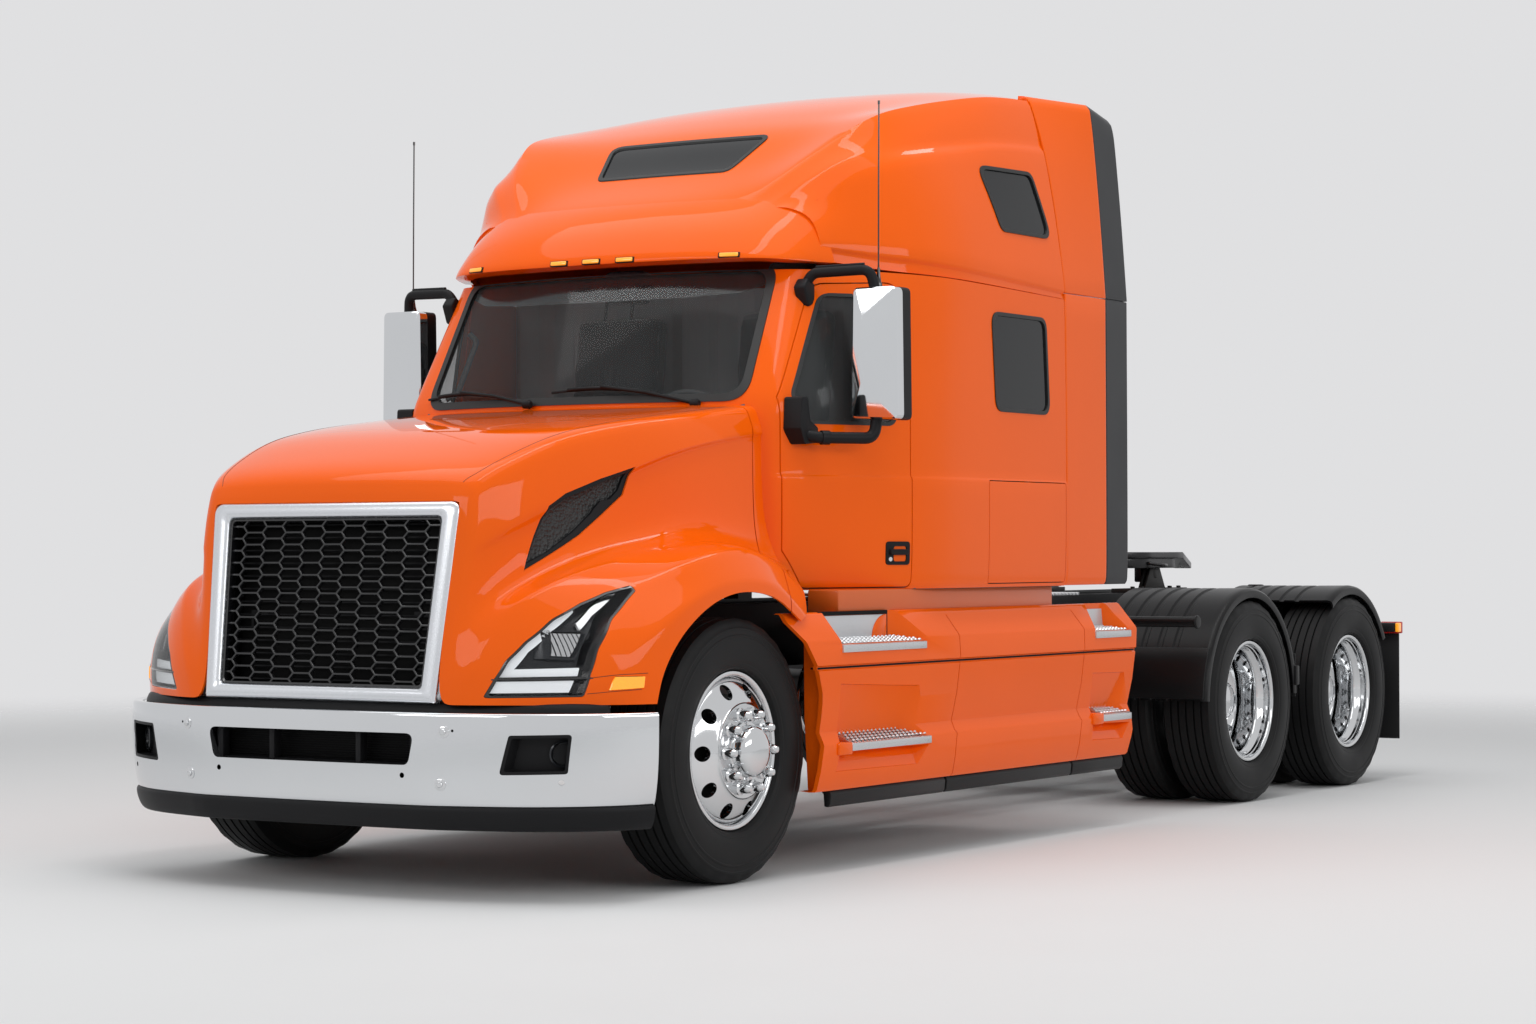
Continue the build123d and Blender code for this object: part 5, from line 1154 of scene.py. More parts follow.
    def _louvre(self, surface: bpy.types.Object, low: float, high: float, side: str) -> None:
        """One side vent: its frame and its mesh.

        Args:
            surface: The open master surface.
            low: Where the cutters begin across the truck, m.
            high: Where they end, m.
            side: "left" or "right".
        """
        sign = 1 if side == "left" else -1
        near = patch(surface, "vent_patch", lambda p: p.y * sign > 0.6 and 0.1 < p.x < 0.9 and 1.05 < p.z < 1.66)
        frame_piece = strip(near, f"hood_vent_frame_{side}", side_cutter("cut", grown(LOUVRE, -0.001), low, high),
                            -0.006, 0.012, side_cutter("hole", LOUVRE_MESH, low, high))
        dress(frame_piece, PLASTIC, "hood", "black_plastic")
        mesh = strip(near, f"hood_vent_mesh_{side}", side_cutter("cut", grown(LOUVRE_MESH, 0.003), low, high),
                     -0.016, 0.004)
        dress(mesh, VENT_MESH, "hood", "black_plastic")
        bpy.data.objects.remove(near)

    def _seams(self, surface: bpy.types.Object) -> None:
        """Fine joint lines in the hood's moulding."""
        lines = []
        for sign in (1, -1):
            over = [(0.925, 0.575 * sign, 2.0), (0.86, 0.615 * sign, 2.0), (0.70, 0.655 * sign, 2.0),
                    (0.45, 0.70 * sign, 2.0), (0.15, 0.735 * sign, 2.0), (-0.15, 0.755 * sign, 2.0),
                    (-0.50, 0.775 * sign, 2.0)]
            lines.append(tube("seam", wrapped(surface, [tuple(p) for p in along_line(over, 60)], (0, 0, -1)),
                              0.0012, resolution=1))
            for outline in ([(0.803, 0.799), (0.731, 0.809), (0.638, 0.813)],
                            [(0.814, 0.742), (0.746, 0.750), (0.665, 0.756)]):
                side = [(x, 1.6 * sign, z) for x, z in outline]
                lines.append(tube("seam", wrapped(surface, [tuple(p) for p in along_line(side, 24)],
                                                  (0, -sign, 0)), 0.0012, resolution=1))
        dress(joined("hood_joint_lines", lines), SEAM_SHADOW, "hood", "orange_paint")

    def _surround(self) -> None:
        """The bright moulding round the grille."""
        outer = rounded(SURROUND_OUTER, (0.008, 0.045, 0.045, 0.008), 8)
        inner = rounded(SURROUND_INNER, 0.022, 8)
        section = [(0, -0.020), (0, 0.012), (0.05, 0.021), (0.16, 0.027), (0.35, 0.031), (0.6, 0.032),
                   (0.82, 0.029), (0.94, 0.023), (1.0, 0.014), (1.0, -0.020)]
        frame_piece = band("grille_surround_trim", outer, inner, section, on_nose)
        dress(frame_piece, SATIN, "hood", "bright_aluminium", "grille_surround")
        lip = rounded([(0.466, 0.769), (0.494, 1.362), (-0.494, 1.362), (-0.466, 0.769)], 0.018, 8)
        section = [(0, -0.03), (0, 0.006), (0.3, 0.010), (0.8, 0.008), (1.0, 0.0), (1.0, -0.03)]
        dress(band("grille_inner_frame", inner, lip, section, on_nose), GLOSS_BLACK, "hood", "black_plastic")

    def _mesh(self) -> None:
        """Long hexagonal openings in a plate, each cut by insetting its face."""
        across, up = self.cell
        points: list[Point] = []
        wide, narrow = across / 2 + self.slant / 2, across / 2 - self.slant / 2
        rows, columns = 14, 6
        bpy.ops.object.select_all(action="DESELECT")
        count = 0
        for column in range(-columns, columns + 1):
            for row in range(-1, rows + 1):
                y, z = column * across, 0.757 + (row + (0.5 if column % 2 else 0.0)) * up
                points += [(0.0, y + a, z + b) for a, b in ((wide, 0.0), (narrow, up / 2), (-narrow, up / 2),
                                                            (-wide, 0.0), (-narrow, -up / 2), (narrow, -up / 2))]
                count += 1
        mesh = bpy.data.meshes.new("grille_bars")
        mesh.from_pydata(points, [], [tuple(range(6 * k, 6 * k + 6)) for k in range(count)])
        bars = bpy.data.objects.new("grille_bars", mesh)
        bpy.context.scene.collection.objects.link(bars)
        in_edit(bars, lambda: bpy.ops.mesh.remove_doubles(threshold=0.0005))
        in_edit(bars, lambda: bpy.ops.mesh.inset(thickness=self.web / 2, use_individual=True),
                lambda: bpy.ops.mesh.delete(type="FACE"))
        carve(bars, [front_cutter("grille_edge", rounded([(0.474, 0.761), (0.502, 1.370), (-0.502, 1.370),
                                                          (-0.474, 0.761)], 0.02, 4), -0.1, 0.1)], "INTERSECT")
        apply_modifier(bars, "SOLIDIFY", thickness=0.018, offset=0)
        apply_modifier(bars, "BEVEL", width=0.0016, segments=2, limit_method="ANGLE")
        for vertex in bars.data.vertices:
            x, y, z = vertex.co
            vertex.co = on_nose(y, z, x - 0.006)
        outward(bars)
        smooth(bars)
        dress(bars, GRILLE_BLACK, "hood", "black_plastic", "grille_mesh")
        back = prism("grille_backing", [on_nose(y, z, -0.075) for y, z in SURROUND_INNER], (-0.006, 0, 0), 0.002)
        dress(back, CORE_BLACK, "hood", "black_plastic")
        slats = [bar("slat", (0.0, -0.48, z), (0.010, 0.48, z + 0.006), 0.001, 1)
                 for z in [0.78 + 0.0478 * k for k in range(13)]]
        shroud = band("grille_shroud", rounded(SURROUND_INNER, 0.01, 8),
                      rounded([(y * 0.97, 1.066 + (z - 1.066) * 0.96) for y, z in SURROUND_INNER], 0.01, 8),
                      [(0, -0.080), (0, -0.022), (1.0, -0.022), (1.0, -0.080)], on_nose)
        dress(shroud, CORE_BLACK, "hood", "black_plastic")
        core = joined("grille_slats", slats)
        for vertex in core.data.vertices:
            x, y, z = vertex.co
            vertex.co = on_nose(y, z, x - 0.055)
        dress(core, PLASTIC, "hood", "black_plastic")


# ------------------------------------------------------------------ bumper
BUMPER_PLAN = [(1.112, 0.0), (1.110, 0.24), (1.102, 0.47), (1.092, 0.56), (1.078, 0.625), (1.042, 0.76),
               (1.002, 0.88), (0.955, 0.975), (0.892, 1.065), (0.805, 1.15), (0.725, 1.205), (0.65, 1.240)]
SLOT = [(-0.486, 0.600), (0.486, 0.600), (0.460, 0.486), (-0.460, 0.486)]
FOG_HOLE = [(0.808, 0.457), (0.845, 0.598), (1.045, 0.602), (1.030, 0.462)]


@dataclass
class BumperGroup:
    """Bright bumper with its slot, fog lamps and the air dam below.

    Args:
        sheet: Thickness of the bumper's metal.
        washers: (y, z) of the mounting bolts.
        holes: (y, z, radius) of the plain holes.
    """

    sheet: float = 0.006
    washers: tuple[Flat, ...] = ((0.607, 0.608), (0.592, 0.420))
    holes: tuple[tuple[float, float, float], ...] = ((0.434, 0.449, 0.010), (1.01, 0.432, 0.009),
                                                     (0.640, 0.612, 0.005))

    def build(self) -> None:
        """Makes the bumper, its fittings and the air dam."""
        face = self._face()
        self._bumper(face)
        self._slot()
        self._fog_lamps(face)
        self._fasteners(face)
        bpy.data.objects.remove(face)
        self._dam()

    @staticmethod
    def _sweep(name: str, levels: Sequence[tuple[float, float, float]], samples: int = 49,
               plan: Sequence[Flat] = tuple(BUMPER_PLAN), subdivide: int = 1) -> bpy.types.Object:
        """Sheet along the bumper's plan through (z, inset, taper) levels."""
        lines = []
        for z, inset, taper in levels:
            row = []
            for i, (x, y) in enumerate(plan):
                a, b = Vector(plan[max(i - 1, 0)]), Vector(plan[min(i + 1, len(plan) - 1)])
                if i == 0:
                    a = Vector((b.x, -b.y))
                along = (b - a).normalized()
                normal = Vector((along.y, -along.x))
                share = i / (len(plan) - 1)
                spot = Vector((x, y)) - normal * (inset + taper * share ** 2)
                row.append((spot.x, max(0.0, spot.y), z))
            lines.append(row)
        return skin(name, lines, samples, {}, levels=subdivide)

    def _face(self) -> bpy.types.Object:
        """The open front face of the bumper.

        Returns:
            The open sheet.
        """
        levels = [(0.672, 0.040, 0), (0.676, 0.016, 0), (0.6745, 0.006, 0), (0.667, 0.001, 0), (0.655, 0.0, 0),
                  (0.60, 0.0, 0), (0.53, 0.0, 0.002), (0.46, 0.001, 0.006), (0.41, 0.003, 0.012),
                  (0.365, 0.006, 0.020), (0.348, 0.008, 0.024), (0.339, 0.013, 0.026), (0.336, 0.022, 0.028),
                  (0.340, 0.045, 0.028)]
        return self._sweep("bumper_face", levels)

    def _bumper(self, face: bpy.types.Object) -> None:
        """The bright shell with its slot, lamp openings and holes.

        Args:
            face: The bumper's open face.
        """
        bumper = copied(face, "bumper_shell")
        carve(bumper, [front_cutter("slot_cut", rounded(SLOT, 0.030, 6), 0.7, 1.3)])
        for sign in (1, -1):
            hole = [(y * sign, z) for y, z in FOG_HOLE]
            carve(bumper, [front_cutter("fog_cut", rounded(hole, 0.012, 4), 0.6, 1.3)])
            cutters = [front_cutter("hole", [(sign * y + r * math.cos(a), z + r * math.sin(a))
                                             for a in (2 * math.pi * k / 16 for k in range(16))], 0.6, 1.3)
                       for y, z, r in self.holes]
            carve(bumper, [joined("holes", cutters)])
        walled(bumper, self.sheet)
        smooth(bumper, 30)
        dress(bumper, CHROME, "chassis", "polished_metal", "bumper")

    def _slot(self) -> None:
        """The liner, brackets and cooler fins in the middle opening."""
        ring = rounded(grown(SLOT, 0.004), 0.032, 6)
        inner = rounded(grown(SLOT, -0.004), 0.026, 6)
        place = lambda y, z, out: (1.104 - 0.052 * (abs(y) / 0.6) ** 2 + out, y, z)
        section = [(0, -0.080), (0, -0.014), (0.5, -0.008), (1, -0.014), (1, -0.080)]
        liner = band("bumper_slot_liner", ring, inner, section, place)
        back = prism("slot_back", front_outline(grown(SLOT, 0.02), 1.0), (0.004, 0, 0), 0.002)
        brackets = [bar("slot_bracket", (1.03, y - 0.012, 0.487), (1.07, y + 0.012, 0.6), 0.004)
                    for y in (-0.205, 0.205, -0.455, 0.455)]
        dress(joined("bumper_slot_liner", [liner, back, *brackets]), PLASTIC, "chassis", "black_plastic")
        fins = [bar("core_fin", (1.012, -0.45, 0.492 + 0.0085 * k), (1.024, 0.45, 0.4945 + 0.0085 * k), 0, 1)
                for k in range(13)]
        dress(joined("bumper_slot_core", fins), CORE_BLACK, "chassis", "black_plastic")

    def _fog_lamps(self, face: bpy.types.Object) -> None:
        """Both fog lamps with their recesses.

        Args:
            face: The bumper's open face.
        """
        for sign, side in ((1, "left"), (-1, "right")):
            hole = [(y * sign, z) for y, z in FOG_HOLE]
            near = patch(face, "fog_patch", lambda p: p.y * sign > 0.7 and 0.36 < p.z < 0.668)
            rim = strip(near, f"fog_lamp_rim_{side}",
                        front_cutter("cut", rounded(grown(hole, -0.0005), 0.012, 4), 0.6, 1.3), -0.003, 0.060,
                        front_cutter("hole", rounded(grown(hole, -0.011), 0.008, 4), 0.6, 1.3))
            back = strip(near, "fog_back", front_cutter("cut", grown(hole, -0.004), 0.6, 1.3), -0.055, 0.004)
            bpy.data.objects.remove(near)
            nodes = ("fog_lamps",) if sign > 0 else ()
            dress(joined(f"fog_lamp_rim_{side}", [rim, back]), PLASTIC, "chassis", "black_plastic", *nodes)
            profile = [(0.0, 0.0), (0.034, 0.0), (0.046, 0.004), (0.050, 0.020), (0.050, 0.032), (0.0445, 0.035),
                       (0.042, 0.030), (0.036, 0.020), (0.020, 0.014), (0.0, 0.012)]
            centre = (0.862, 0.972, 0.530)
            cup = turned(f"fog_lamp_reflector_{side}", profile, centre, 36)
            lens = turned(f"fog_lamp_lens_{side}", [(0.0, 0.028), (0.0425, 0.026), (0.0425, 0.030), (0.030, 0.036),
                                                    (0.012, 0.040), (0.0, 0.0405)], centre, 36)
            turn = Matrix.Translation(Vector(centre)) @ Matrix.Rotation(math.radians(-52), 4, "Z") @ \
                Matrix.Translation(-Vector(centre))
            for part in (cup, lens):
                part.data.transform(turn)
                if sign < 0:
                    part.data.transform(Matrix.Diagonal((1, -1, 1, 1)))
                    in_edit(part, lambda: bpy.ops.mesh.flip_normals())
            dress(cup, LAMP_BLACK, "chassis", "gloss_black")
            dress(lens, LAMP_LENS, "chassis", "lamp_lens")

    def _fasteners(self, face: bpy.types.Object) -> None:
        """The bolts with washers on the bright face.

        Args:
            face: The bumper's open face.
        """
        parts = []
        for sign in (1, -1):
            for y, z in self.washers:
                _, spot, normal, _ = face.ray_cast(Vector((2.0, y * sign, z)), Vector((-1, 0, 0)))
                pad = turned("washer", [(0.0, -0.002), (0.020, -0.002), (0.022, 0.001), (0.019, 0.003),
                                        (0.011, 0.0035), (0.011, 0.009), (0.009, 0.011), (0.0, 0.012)],
                             (0, 0, 0), 24)
                pad.data.transform(Matrix.Translation(spot) @ normal.to_track_quat("Y", "Z").to_matrix().to_4x4())
                parts.append(pad)
        dress(joined("bumper_bolts", parts), ALLOY, "chassis", "polished_metal")

    def _dam(self) -> None:
        """The air dam below the bumper and the strip above it."""
        levels = [(0.345, 0.060, 0.02), (0.3445, 0.020, 0.02), (0.338, 0.006, 0.02), (0.325, 0.004, 0.02),
                  (0.30, 0.008, 0.022), (0.275, 0.016, 0.024), (0.258, 0.028, 0.026), (0.252, 0.042, 0.026),
                  (0.256, 0.070, 0.026)]
        dam = self._sweep("air_dam_lip", levels)
        walled(dam, 0.008)
        smooth(dam, 35)
        dress(dam, PLASTIC, "chassis", "black_plastic", "air_dam")
        levels = [(0.712, 0.085, 0), (0.700, 0.060, 0), (0.660, 0.050, 0), (0.600, 0.055, 0)]
        valance = self._sweep("nose_valance", levels, plan=BUMPER_PLAN[:10])
        walled(valance, 0.006)
        dress(valance, PLASTIC, "hood", "black_plastic")


# ------------------------------------------------------------------ cab, sleeper and roof
SLEEPER_REAR = -2.585
DOOR_CORNERS = (0.02, 0.02, 0.10, 0.05, 0.03, 0.03)
DOOR_GAP = 0.005
FAIRING_REAR, EXTENDER_REAR = -2.990, -3.210
SHADE = [(0.80, 2.42), (0.787, 2.377), (0.745, 2.331), (0.650, 2.298), (0.42, 2.283), (0.0, 2.279),
         (-0.42, 2.283), (-0.650, 2.298), (-0.745, 2.331), (-0.787, 2.377), (-0.80, 2.42)]
SKYLIGHT = [(-1.200, -0.335), (-1.200, 0.335), (-1.436, 0.414), (-1.436, -0.414)]
# z, half width at the front and at the rear of the panels behind the sleeper, crease weight
REAR_PANEL_LEVELS = [(1.094, 1.208, 1.206, 0), (1.112, 1.222, 1.220, 0.3), (1.30, 1.226, 1.222, 0),
                     (1.90, 1.222, 1.221, 0), (2.389, 1.218, 1.220, 0), (2.73, 1.177, 1.196, 0),
                     (3.018, 1.119, 1.170, 0.2), (3.158, 1.077, 1.156, 0.2), (3.250, 1.044, 1.143, 0.5),
                     (3.276, 1.020, 1.122, 0.5), (3.280, 0.985, 1.085, 0)]


@dataclass
class CabGroup:
    """Cab and sleeper body with doors, windows, gaskets and wipers.

    Args:
        wall: Thickness of a body side.
        door_wall: Thickness of a door.
        seal: Width of a window's rubber.
    """

    wall: float = 0.022
    door_wall: float = 0.018
    seal: float = 0.016

    def build(self) -> None:
        """Makes every panel and pane of the cab."""
        surface = cab_master()
        self._body(surface)
        for sign, side in ((1, "left"), (-1, "right")):
            self._door(surface, sign, side)
            self._side_panes(surface, sign, side)
        self._windscreen(surface)
        self._wipers(surface)
        bpy.data.objects.remove(surface)
        self._floor()

    @staticmethod
    def _span(sign: int) -> dict[str, float]:
        """Reach of a side cutter across the truck.

        Args:
            sign: 1 on the left side, -1 on the right.

        Returns:
            The cutter's low and high ends, m.
        """
        return {"low": 0.6, "high": 1.5} if sign > 0 else {"low": -1.5, "high": -0.6}

    def _body(self, surface: bpy.types.Object) -> None:
        """The cab and sleeper shell with its openings.

        Args:
            surface: The open master surface.
        """
        body = copied(surface, "cab_body")
        walled(body, self.wall, lined=True)
        carve(body, [front_cutter("screen_hole", rounded(WINDSCREEN, 0.085, 8), -1.05, 0.0)])
        for sign in (1, -1):
            span = self._span(sign)
            carve(body, [side_cutter("doorway", rounded(DOOR, DOOR_CORNERS, 5), **span),
                         side_cutter("window_hole", rounded(SLEEPER_WINDOW, 0.06, 6), **span),
                         side_cutter("locker_hole", rounded(LOCKER, 0.015, 4), **span)])
        smooth(body, 35)
        dress(body, ORANGE, "chassis", "orange_paint", "cab_shell", inner=CABIN_LINER)
        for sign, side in ((1, "left"), (-1, "right")):
            span = self._span(sign)
            near = patch(surface, "side_patch", lambda p: p.y * sign > 0.8 and p.x < -0.62)
            locker = strip(near, f"locker_door_{side}",
                           side_cutter("cut", rounded(grown(LOCKER, -0.004), 0.012, 4), **span), 0.0, 0.02)
            apply_modifier(locker, "BEVEL", width=0.0025, segments=2, limit_method="ANGLE",
                           angle_limit=math.radians(50))
            dress(locker, ORANGE, "chassis", "orange_paint")
            jamb = strip(near, f"doorway_seal_{side}",
                         side_cutter("cut", rounded(grown(DOOR, 0.004), 0.03, 4), **span), -0.024, 0.020,
                         side_cutter("hole", rounded(grown(DOOR, -0.030), 0.05, 4), **span))
            back = strip(near, "locker_seal", side_cutter("cut", grown(LOCKER, 0.004), **span), -0.024, 0.006,
                         side_cutter("hole", grown(LOCKER, -0.02), **span))
            dress(joined(f"doorway_seal_{side}", [jamb, back]), GASKET, "chassis", "black_plastic")
            bpy.data.objects.remove(near)

    def _door(self, surface: bpy.types.Object, sign: int, side: str) -> None:
        """One door with its seal, glass and handle.

        Args:
            surface: The open master surface.
            sign: 1 on the left side, -1 on the right.
            side: "left" or "right".
        """
        span, body = self._span(sign), f"door_{side}_panel"
        near = patch(surface, "door_patch", lambda p: p.y * sign > 0.85 and -1.45 < p.x < -0.60)
        window = rounded(DOOR_WINDOW, (0.05, 0.05, 0.05, 0.05, 0.09), 6)
        door = strip(near, f"door_skin_{side}",
                     side_cutter("cut", rounded(grown(DOOR, -DOOR_GAP), DOOR_CORNERS, 5), **span), 0.0,
                     self.door_wall, side_cutter("hole", window, **span), lined=True)
        apply_modifier(door, "BEVEL", width=0.0025, segments=2, limit_method="ANGLE",
                       angle_limit=math.radians(50))
        smooth(door, 30)
        dress(door, ORANGE, body, "orange_paint", f"door_{side}", inner=CABIN_TRIM)
        seal = strip(near, f"door_window_seal_{side}", side_cutter("cut", window, **span), 0.002, 0.014,
                     side_cutter("hole", rounded(grown(DOOR_WINDOW, -0.014), 0.045, 6), **span))
        dress(seal, GASKET, body, "black_plastic")
        pane = strip(near, f"door_pane_{side}",
                     side_cutter("cut", rounded(grown(DOOR_WINDOW, -0.009), 0.045, 6), **span), -0.006, 0.005)
        dress(pane, GLASS if side == "right" else SIDE_GLASS, body, "glass", f"door_glass_{side}")
        self._handle(near, sign, side, body)
        bpy.data.objects.remove(near)

    def _handle(self, near: bpy.types.Object, sign: int, side: str, body: str) -> None:
        """The door's handle in its pocket.

        Args:
            near: The door's own surface.
            sign: 1 on the left side, -1 on the right.
            side: "left" or "right".
            body: The body that the door turns with.
        """
        plate = [(-1.270, 1.192), (-1.147, 1.192), (-1.147, 1.287), (-1.270, 1.287)]
        pocket = [(-1.252, 1.206), (-1.185, 1.206), (-1.185, 1.268), (-1.252, 1.268)]
        span = self._span(sign)
        base = strip(near, "plate", side_cutter("cut", rounded(plate, 0.016, 5), **span), 0.004, 0.02,
                     side_cutter("hole", rounded(pocket, 0.010, 4), **span))
        apply_modifier(base, "BEVEL", width=0.0015, segments=2, limit_method="ANGLE")
        back = strip(near, "pocket", side_cutter("cut", grown(pocket, 0.004), **span), -0.016, 0.004)
        grip = strip(near, "grip", side_cutter("cut", rounded(
            [(-1.250, 1.232), (-1.160, 1.232), (-1.160, 1.256), (-1.250, 1.256)], 0.010, 5), **span), 0.016, 0.012)
        apply_modifier(grip, "BEVEL", width=0.003, segments=3, limit_method="ANGLE")
        dress(joined(f"door_handle_{side}", [base, back, grip]), PLASTIC, body, "black_plastic")
        key = strip(near, f"door_key_{side}", side_cutter("cut", [
            (-1.166 + 0.009 * math.cos(a), 1.215 + 0.009 * math.sin(a))
            for a in (2 * math.pi * k / 16 for k in range(16))], **span), 0.007, 0.006)
        dress(key, CHROME, body, "polished_metal")

    def _side_panes(self, surface: bpy.types.Object, sign: int, side: str) -> None:
        """The sleeper's side window and its seal.

        Args:
            surface: The open master surface.
            sign: 1 on the left side, -1 on the right.
            side: "left" or "right".
        """
        span = self._span(sign)
        near = patch(surface, "pane_patch", lambda p: p.y * sign > 1.1 and p.x < -1.8 and p.z > 1.7)
        outline = rounded(SLEEPER_WINDOW, 0.06, 6)
        seal = strip(near, f"sleeper_window_seal_{side}", side_cutter("cut", outline, **span), 0.005, 0.020,
                     side_cutter("hole", rounded(grown(SLEEPER_WINDOW, -self.seal), 0.05, 6), **span))
        apply_modifier(seal, "BEVEL", width=0.003, segments=2, limit_method="ANGLE")
        dress(seal, GASKET, "chassis", "black_plastic")
        pane = strip(near, f"sleeper_pane_{side}",
                     side_cutter("cut", rounded(grown(SLEEPER_WINDOW, -0.011), 0.05, 6), **span), -0.003, 0.005)
        nodes = ("sleeper_windows",) if sign > 0 else ()
        dress(pane, DARK_GLASS, "chassis", "glass", *nodes)
        bpy.data.objects.remove(near)

    def _windscreen(self, surface: bpy.types.Object) -> None:
        """The windscreen with its seal and dark border.

        Args:
            surface: The open master surface.
        """
        near = patch(surface, "screen_patch", lambda p: p.x > -1.02 and p.z > 1.72 and abs(p.y) < 0.93)
        span = {"low": -1.10, "high": 0.0}
        outline, inner = grown(WINDSCREEN, 0.016), grown(WINDSCREEN, -0.016)
        seal = strip(near, "windscreen_seal", front_cutter("cut", rounded(outline, 0.095, 8), **span), 0.005,
                     0.022, front_cutter("hole", rounded(inner, 0.075, 8), **span))
        apply_modifier(seal, "BEVEL", width=0.004, segments=3, limit_method="ANGLE")
        dress(seal, GASKET, "chassis", "black_plastic")
        pane = strip(near, "windscreen_pane",
                     front_cutter("cut", rounded(grown(WINDSCREEN, -0.008), 0.08, 8), **span), -0.004, 0.006)
        dress(pane, GLASS, "chassis", "glass", "windscreen")
        shade = strip(near, "windscreen_shade_band", front_cutter("cut", SHADE, **span), -0.012, 0.003)
        carve(shade, [front_cutter("trim", rounded(grown(WINDSCREEN, 0.004), 0.085, 8), **span)], "INTERSECT")
        dress(shade, GLOSS_BLACK, "chassis", "gloss_black")
        bpy.data.objects.remove(near)

    def _wipers(self, surface: bpy.types.Object) -> None:
        """Both wipers, parked along the foot of the windscreen.

        Args:
            surface: The open master surface.
        """
        parts = []
        # blade ends and pivot as (y, z)
        for start, end, pivot in (((-0.80, 1.892), (-0.33, 1.884), (-0.16, 1.852)),
                                  ((-0.06, 1.896), (0.44, 1.880), (0.62, 1.838))):
            run = [(0.2, start[0] + (end[0] - start[0]) * k / 12,
                    start[1] + (end[1] - start[1]) * k / 12 + 0.016 * math.sin(math.pi * k / 12))
                   for k in range(13)]
            on_glass = wrapped(surface, run, (-1, 0, 0))
            blade = [p + Vector((0.012, 0, 0.002)) for p in on_glass]
            holder = [p + Vector((0.021, 0, 0.006)) for p in on_glass[2:11]]
            parts += [tube("blade", blade, 0.0055, resolution=2), tube("holder", holder, 0.0065, resolution=2)]
            middle = on_glass[6] + Vector((0.032, 0, 0.012))
            root = wrapped(surface, [(0.2, *pivot)], (-1, 0, 0))[0] + Vector((0.03, 0, 0))
            bend = middle.lerp(root, 0.5) + Vector((0.012, 0, 0.010))
            parts.append(tube("arm", [middle, bend, root], 0.0075, bend=0.05, resolution=3))
            parts.append(turned("pivot", [(0, -0.02), (0.017, -0.02), (0.019, 0.008), (0.012, 0.016), (0, 0.017)],
                                tuple(root), 20))
        dress(joined("wipers", parts), PLASTIC, "chassis", "black_plastic")

    def _floor(self) -> None:
        """Floor, back wall and sills, which close the cab below and behind; the sills are in a darker orange that
        paints the shade under the cab.
        """
        side = [(-0.50, 0.0), (-0.52, 0.42), (-0.62, 0.80), (-0.72, 0.90), (-1.05, 1.06), (-1.32, 1.17),
                (-1.62, 1.20), (SLEEPER_REAR, 1.20)]
        outline = side + [(x, -y) for x, y in reversed(side[1:])]
        floor = prism("cab_floor", plan_outline(outline, 1.092), (0, 0, 0.045), 0.004)
        dress(floor, CABIN_TRIM, "chassis", "black_plastic")
        wall = prism("cab_back_wall", front_outline([(-1.215, 1.10), (1.215, 1.10), (1.214, 2.36), (-1.214, 2.36)],
                                                    SLEEPER_REAR + 0.002), (0.022, 0, 0), 0.003)
        ribs = [prism("rib", [(SLEEPER_REAR - 0.012, y - 0.02, 1.20), (SLEEPER_REAR - 0.012, y + 0.02, 1.20),
                              (SLEEPER_REAR - 0.012, y + 0.02, 2.26), (SLEEPER_REAR - 0.012, y - 0.02, 2.26)],
                      (0.016, 0, 0), 0.006, 3) for y in (-0.9, -0.6, -0.3, 0.0, 0.3, 0.6, 0.9)]
        dress(joined("cab_back_wall", [wall, *ribs]), ORANGE, "chassis", "orange_paint")
        sills = []
        for sign in (1, -1):
            sills.append(bar("sill", (-2.56, 1.02 * sign, 1.004), (-0.72, 1.165 * sign, 1.095), 0.008))
        # the sills carry the orange paint darkened as painted shade under the cab
        dress(joined("cab_sills", sills), SHADED_SILL_ORANGE, "chassis", "orange_paint")


